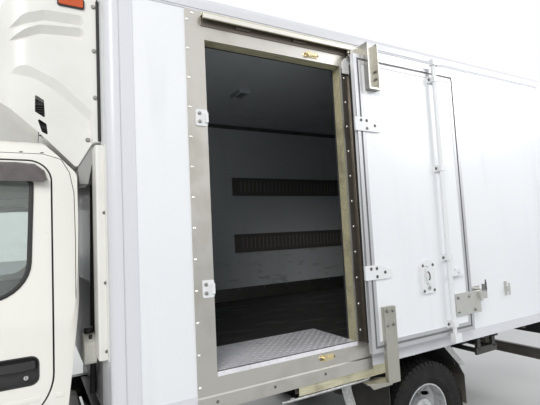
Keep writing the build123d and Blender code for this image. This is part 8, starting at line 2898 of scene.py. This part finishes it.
# How far the sewing reaches round from the face: the least cosine between a normal and the facing
FACE_COSINE = 0.25


def pad_block(side_outline, y, width):
    """The pad's block, a little smaller than the finished pad."""
    half = width / 2 - PAD_CLEARANCE
    return Form().slab(rounded(side_outline), "XZ", y - half, y + half).mesh_named("pad_block")


def capped(before, after, most):
    """Holds every point within the most that it may move."""
    for old, new in zip(before, after):
        away = new.co - old
        if away.length > most:
            new.co = old + away.normalized() * most


def cloth_bag(name, mesh, pressure=4.0):
    """A copy of the block, remeshed, with a cloth bag's air pressure on it for the simulation."""
    made = bpy.data.objects.new(name, mesh)
    bpy.context.scene.collection.objects.link(made)
    fine = made.modifiers.new("fine", "REMESH")
    fine.mode, fine.voxel_size = "VOXEL", CLOTH_VOXEL
    bag = applied(made, name)
    before = [vert.co.copy() for vert in bag.vertices]
    cloth = made.modifiers.new("bag", "CLOTH")
    cloth.settings.use_pressure = True
    cloth.settings.uniform_pressure_force = pressure
    cloth.settings.effector_weights.gravity = 0.0
    cloth.settings.quality = 5
    cloth.collision_settings.use_collision = False
    cloth.point_cache.frame_start = 1
    cloth.point_cache.frame_end = CLOTH_FRAMES
    return made, before


def blow_up(bags, most=0.024):
    """Runs the frames once for all the bags, then keeps each swelled shape as its mesh."""
    for frame_number in range(1, CLOTH_FRAMES + 1):
        bpy.context.scene.frame_set(frame_number)
    for made, before in bags:
        capped(before, applied(made, made.name).vertices, most)
    bpy.context.scene.frame_set(1)


def applied(made, name):
    """Bakes the object's modifiers into its mesh and takes them off."""
    bpy.context.view_layer.update()
    ready = made.evaluated_get(bpy.context.evaluated_depsgraph_get())
    mesh = bpy.data.meshes.new_from_object(ready)
    mesh.name = name
    made.modifiers.clear()
    made.data = mesh
    return mesh


def groove(distance, width):
    """How deep a stitched groove is at a distance from its line, from 0 to 1."""
    return math.exp(-(distance / width) ** 2)


def sew(mesh, channels, axis, facing):
    """Pulls in a seam along both edges of the face and the sewn channels across it."""
    acrosses = [vert.co.y for vert in mesh.vertices]
    low_y, high_y = min(acrosses), max(acrosses)
    normals = [vert.normal.copy() for vert in mesh.vertices]
    for vert, normal in zip(mesh.vertices, normals):
        out = normal.dot(facing)
        if out < FACE_COSINE:
            continue
        edge = min(vert.co.y - low_y, high_y - vert.co.y)
        pull = SEAM_DEPTH * groove(edge - SEAM_INSET, 0.005)
        if edge > SEAM_INSET:
            nearest = min(abs(vert.co[axis] - line) for line in channels)
            pull += CHANNEL_DEPTH * groove(nearest, 0.006)
        vert.co -= normal * pull * min(1, (out - FACE_COSINE) * 3)


def padded_piece(made, channels, axis, facing, levels):
    """Sews the swelled bag, smooths it and covers it in the seats' cloth."""
    mesh = made.data
    sew(mesh, channels, axis, facing)
    smoother = made.modifiers.new("smoother", "SUBSURF")
    smoother.levels = smoother.render_levels = levels
    mesh.materials.append(CLOTH)
    mesh.polygons.foreach_set("use_smooth", [True] * len(mesh.polygons))
    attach(made, "cab")
    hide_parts("seats")


# Where the sewn channels lie: along the cushions, up the backrests and across the headrests
UPWARD, FORWARD = Vector((0, 0, 1)), Vector((1, 0, 0))
CUSHION_SEWING = ((1.520, 1.640, 1.760), 0, UPWARD, 0.7)
BACKREST_SEWING = ((1.200, 1.300, 1.400), 2, FORWARD, 0.6)
HEADREST_SEWING = ((0.0,), 2, FORWARD, 0.6)


def seat_pads():
    """A cushion and a backrest in each place, and headrests in the outer two."""
    bags, sewing = [], []
    for name, y, width in SEATS:
        pads = [("cushion_", CUSHION_SIDE, width, CUSHION_SEWING),
                ("backrest_", BACK_SIDE, width, BACKREST_SEWING)]
        if name != "middle":
            pads.append(("headrest_", HEADREST_SIDE, HEADREST_WIDTH, HEADREST_SEWING))
        for label, outline, wide, sewn in pads:
            bags.append(cloth_bag(label + name, pad_block(outline, y, wide)))
            sewing.append((*sewn, 0 if name == "middle" else 1))
    blow_up(bags)
    for (made, _), (channels, axis, facing, fill, levels) in zip(bags, sewing):
        padded_piece(made, channels, axis, facing, levels)


def seat_frames():
    """Shells and hinges under and beside the pads, and headrest posts."""
    steel, shell = Form(), Form()
    for name, y, width in SEATS:
        half = width / 2
        shell.slab(rounded(SHELL_SIDE, 3), "XZ", y - half + 0.020, y + half - 0.020)
        for side in (-1, 1):
            edge = y + side * (half - 0.006)
            shell.slab(rounded(HINGE_SIDE, 3), "XZ", edge - 0.006, edge + 0.005)
        if name != "middle":
            for post in (y - 0.060, y + 0.060):
                steel.rod((1.326, post, 1.500), (1.328, post, 1.620), 0.006, sides=12)
    add_piece("seat_shells", shell, "cab", "black_plastic", BLACK_PLASTIC, bevel=0.003, smooth=45)
    add_piece("headrest_posts", steel, "cab", "galvanised", CHROME, smooth=45)


# Every piece, drawn group by group
BOX = (guide_rails, doorway_rivets, sill_screws, doorway_seal, tread_plate, hold_covings, kick_plates,
       hold_lamp, lashing_slots, evaporator_front, rail_rivets)
SIDE_DOOR = (door_screws, keeper_screws, door_handle, door_gasket, latch_spring, sill_pipe,
             wall_corner_block)
COVER_GROUP = (cover_bolts, cover_edge_seal, vent_mesh, cover_marker_lamps, coolant_bottle,
               front_wall_pipes, front_wall_sheet)
CAB = (window_rubbers, body_swage, roof_seams, window_visors, cab_door_handles, mirror_glass, wipers,
       grille, lamp_bowls, turn_lamps, blank_plates, door_seals)
CHASSIS = (tyres, wheel_fittings, brake_drums, spring_bolts, spring_clips, tank_straps, tank_cap,
           battery_clamps, exhaust_clamps, frame_bolts, frame_pipes, side_guard_bracket, mudguard_stays,
           side_stays, engine_details)
REAR = (rear_gaskets, rear_edging, rear_fasteners, rear_lock_parts, tail_lamp_lenses, rear_details)
CAB_INSIDE = (dash_hood, dash_dials, dash_fittings, steering_grip, pedals, levers, floor_mats, door_cards,
              cab_furniture, cab_lining, seat_pads, seat_frames)

finish_nodes()
for draw in BOX + SIDE_DOOR + COVER_GROUP + CAB + CHASSIS + REAR + CAB_INSIDE:
    draw()


# Camera, light and floor

PHOTO_PLACE = (1.371, 3.160, 1.690)
PHOTO_YAW = 29.6
PHOTO_PITCH = 4.42
PHOTO_ROLL = -2.9
PHOTO_LENS = 27.93


def photo_camera():
    """The photograph's viewpoint: beside the cab's rear corner, looking in and to the rear."""
    yaw, pitch, roll = (math.radians(a) for a in (PHOTO_YAW, PHOTO_PITCH, PHOTO_ROLL))
    level = Vector((-math.sin(yaw), -math.cos(yaw), 0))
    ahead = level * math.cos(pitch) + Vector((0, 0, math.sin(pitch)))
    right = Vector((-math.cos(yaw), math.sin(yaw), 0))
    up = right.cross(ahead)
    right, up = (right * math.cos(roll) + up * math.sin(roll),
                 up * math.cos(roll) - right * math.sin(roll))
    data = bpy.data.cameras.new("photo_camera")
    data.lens = PHOTO_LENS
    data.sensor_width = 36
    data.clip_start = 0.01
    data.clip_end = 200
    camera = bpy.data.objects.new("photo_camera", data)
    turn = Matrix((right, up, -ahead)).transposed().to_4x4()
    camera.matrix_world = Matrix.Translation(PHOTO_PLACE) @ turn
    bpy.context.scene.collection.objects.link(camera)
    bpy.context.scene.camera = camera


# Lamps: name, place, what it looks at, size, power and colour
LAMPS = (("key_lamp", (5.5, 7.5, 6.5), (0, 0.8, 1.4), 5.0, 540, (1.0, 0.985, 0.96)),
         ("fill_lamp", (-6.5, 5.0, 5.0), (-1, 0.8, 1.4), 4.0, 225, (0.97, 0.98, 1.0)),
         ("far_lamp", (2.0, -8.0, 6.0), (0, -0.8, 1.4), 5.0, 320, (1.0, 1.0, 1.0)))
FLOOR_REACH = 60
SKY = (0.92, 0.96, 1.0)
SKY_POWER = 0.58


def soft_lamp(name, place, target, size, power, colour):
    """A round lamp that looks at a place."""
    data = bpy.data.lights.new(name, "AREA")
    data.shape = "DISK"
    data.size = size
    data.energy = power
    data.color = colour
    lamp = bpy.data.objects.new(name, data)
    lamp.location = place
    lamp.rotation_mode = "QUATERNION"
    lamp.rotation_quaternion = (Vector(target) - Vector(place)).to_track_quat("-Z", "Y")
    bpy.context.scene.collection.objects.link(lamp)


def studio():
    """A surround that is seen white and lights softly, three large lamps and a pale floor."""
    bpy.context.scene.view_settings.view_transform = "Standard"
    world = bpy.data.worlds.new("studio")
    bpy.context.scene.world = world
    world.use_nodes = True
    tree = world.node_tree
    tree.nodes.clear()
    out = tree.nodes.new("ShaderNodeOutputWorld")
    shown, light = (tree.nodes.new("ShaderNodeBackground") for _ in range(2))
    shown.inputs["Color"].default_value = (1, 1, 1, 1)
    light.inputs["Color"].default_value = (*SKY, 1)
    light.inputs["Strength"].default_value = SKY_POWER
    path = tree.nodes.new("ShaderNodeLightPath")
    seen, both = (tree.nodes.new("ShaderNodeMath") for _ in range(2))
    seen.operation = both.operation = "MAXIMUM"
    tree.links.new(path.outputs["Is Camera Ray"], seen.inputs[0])
    tree.links.new(path.outputs["Is Transmission Ray"], seen.inputs[1])
    tree.links.new(seen.outputs[0], both.inputs[0])
    tree.links.new(path.outputs["Is Glossy Ray"], both.inputs[1])
    mix = tree.nodes.new("ShaderNodeMixShader")
    tree.links.new(both.outputs[0], mix.inputs[0])
    tree.links.new(light.outputs[0], mix.inputs[1])
    tree.links.new(shown.outputs[0], mix.inputs[2])
    tree.links.new(mix.outputs[0], out.inputs["Surface"])

    mesh = bpy.data.meshes.new("studio_floor")
    corners = ((-1, -1), (1, -1), (1, 1), (-1, 1))
    mesh.from_pydata([(FLOOR_REACH * x, FLOOR_REACH * y, 0) for x, y in corners], [], [(0, 1, 2, 3)])
    floor = bpy.data.objects.new("studio_floor", mesh)
    bpy.context.scene.collection.objects.link(floor)
    ground = Finish("studio_floor", roughness=0.85)
    ground.feed("Base Color", ground.mixed((0.62, 0.62, 0.61), (0.58, 0.58, 0.57),
                                           ground.noise(0.8, 3)))
    mesh.materials.append(ground.material)

    for row in LAMPS:
        soft_lamp(*row)


photo_camera()
studio()
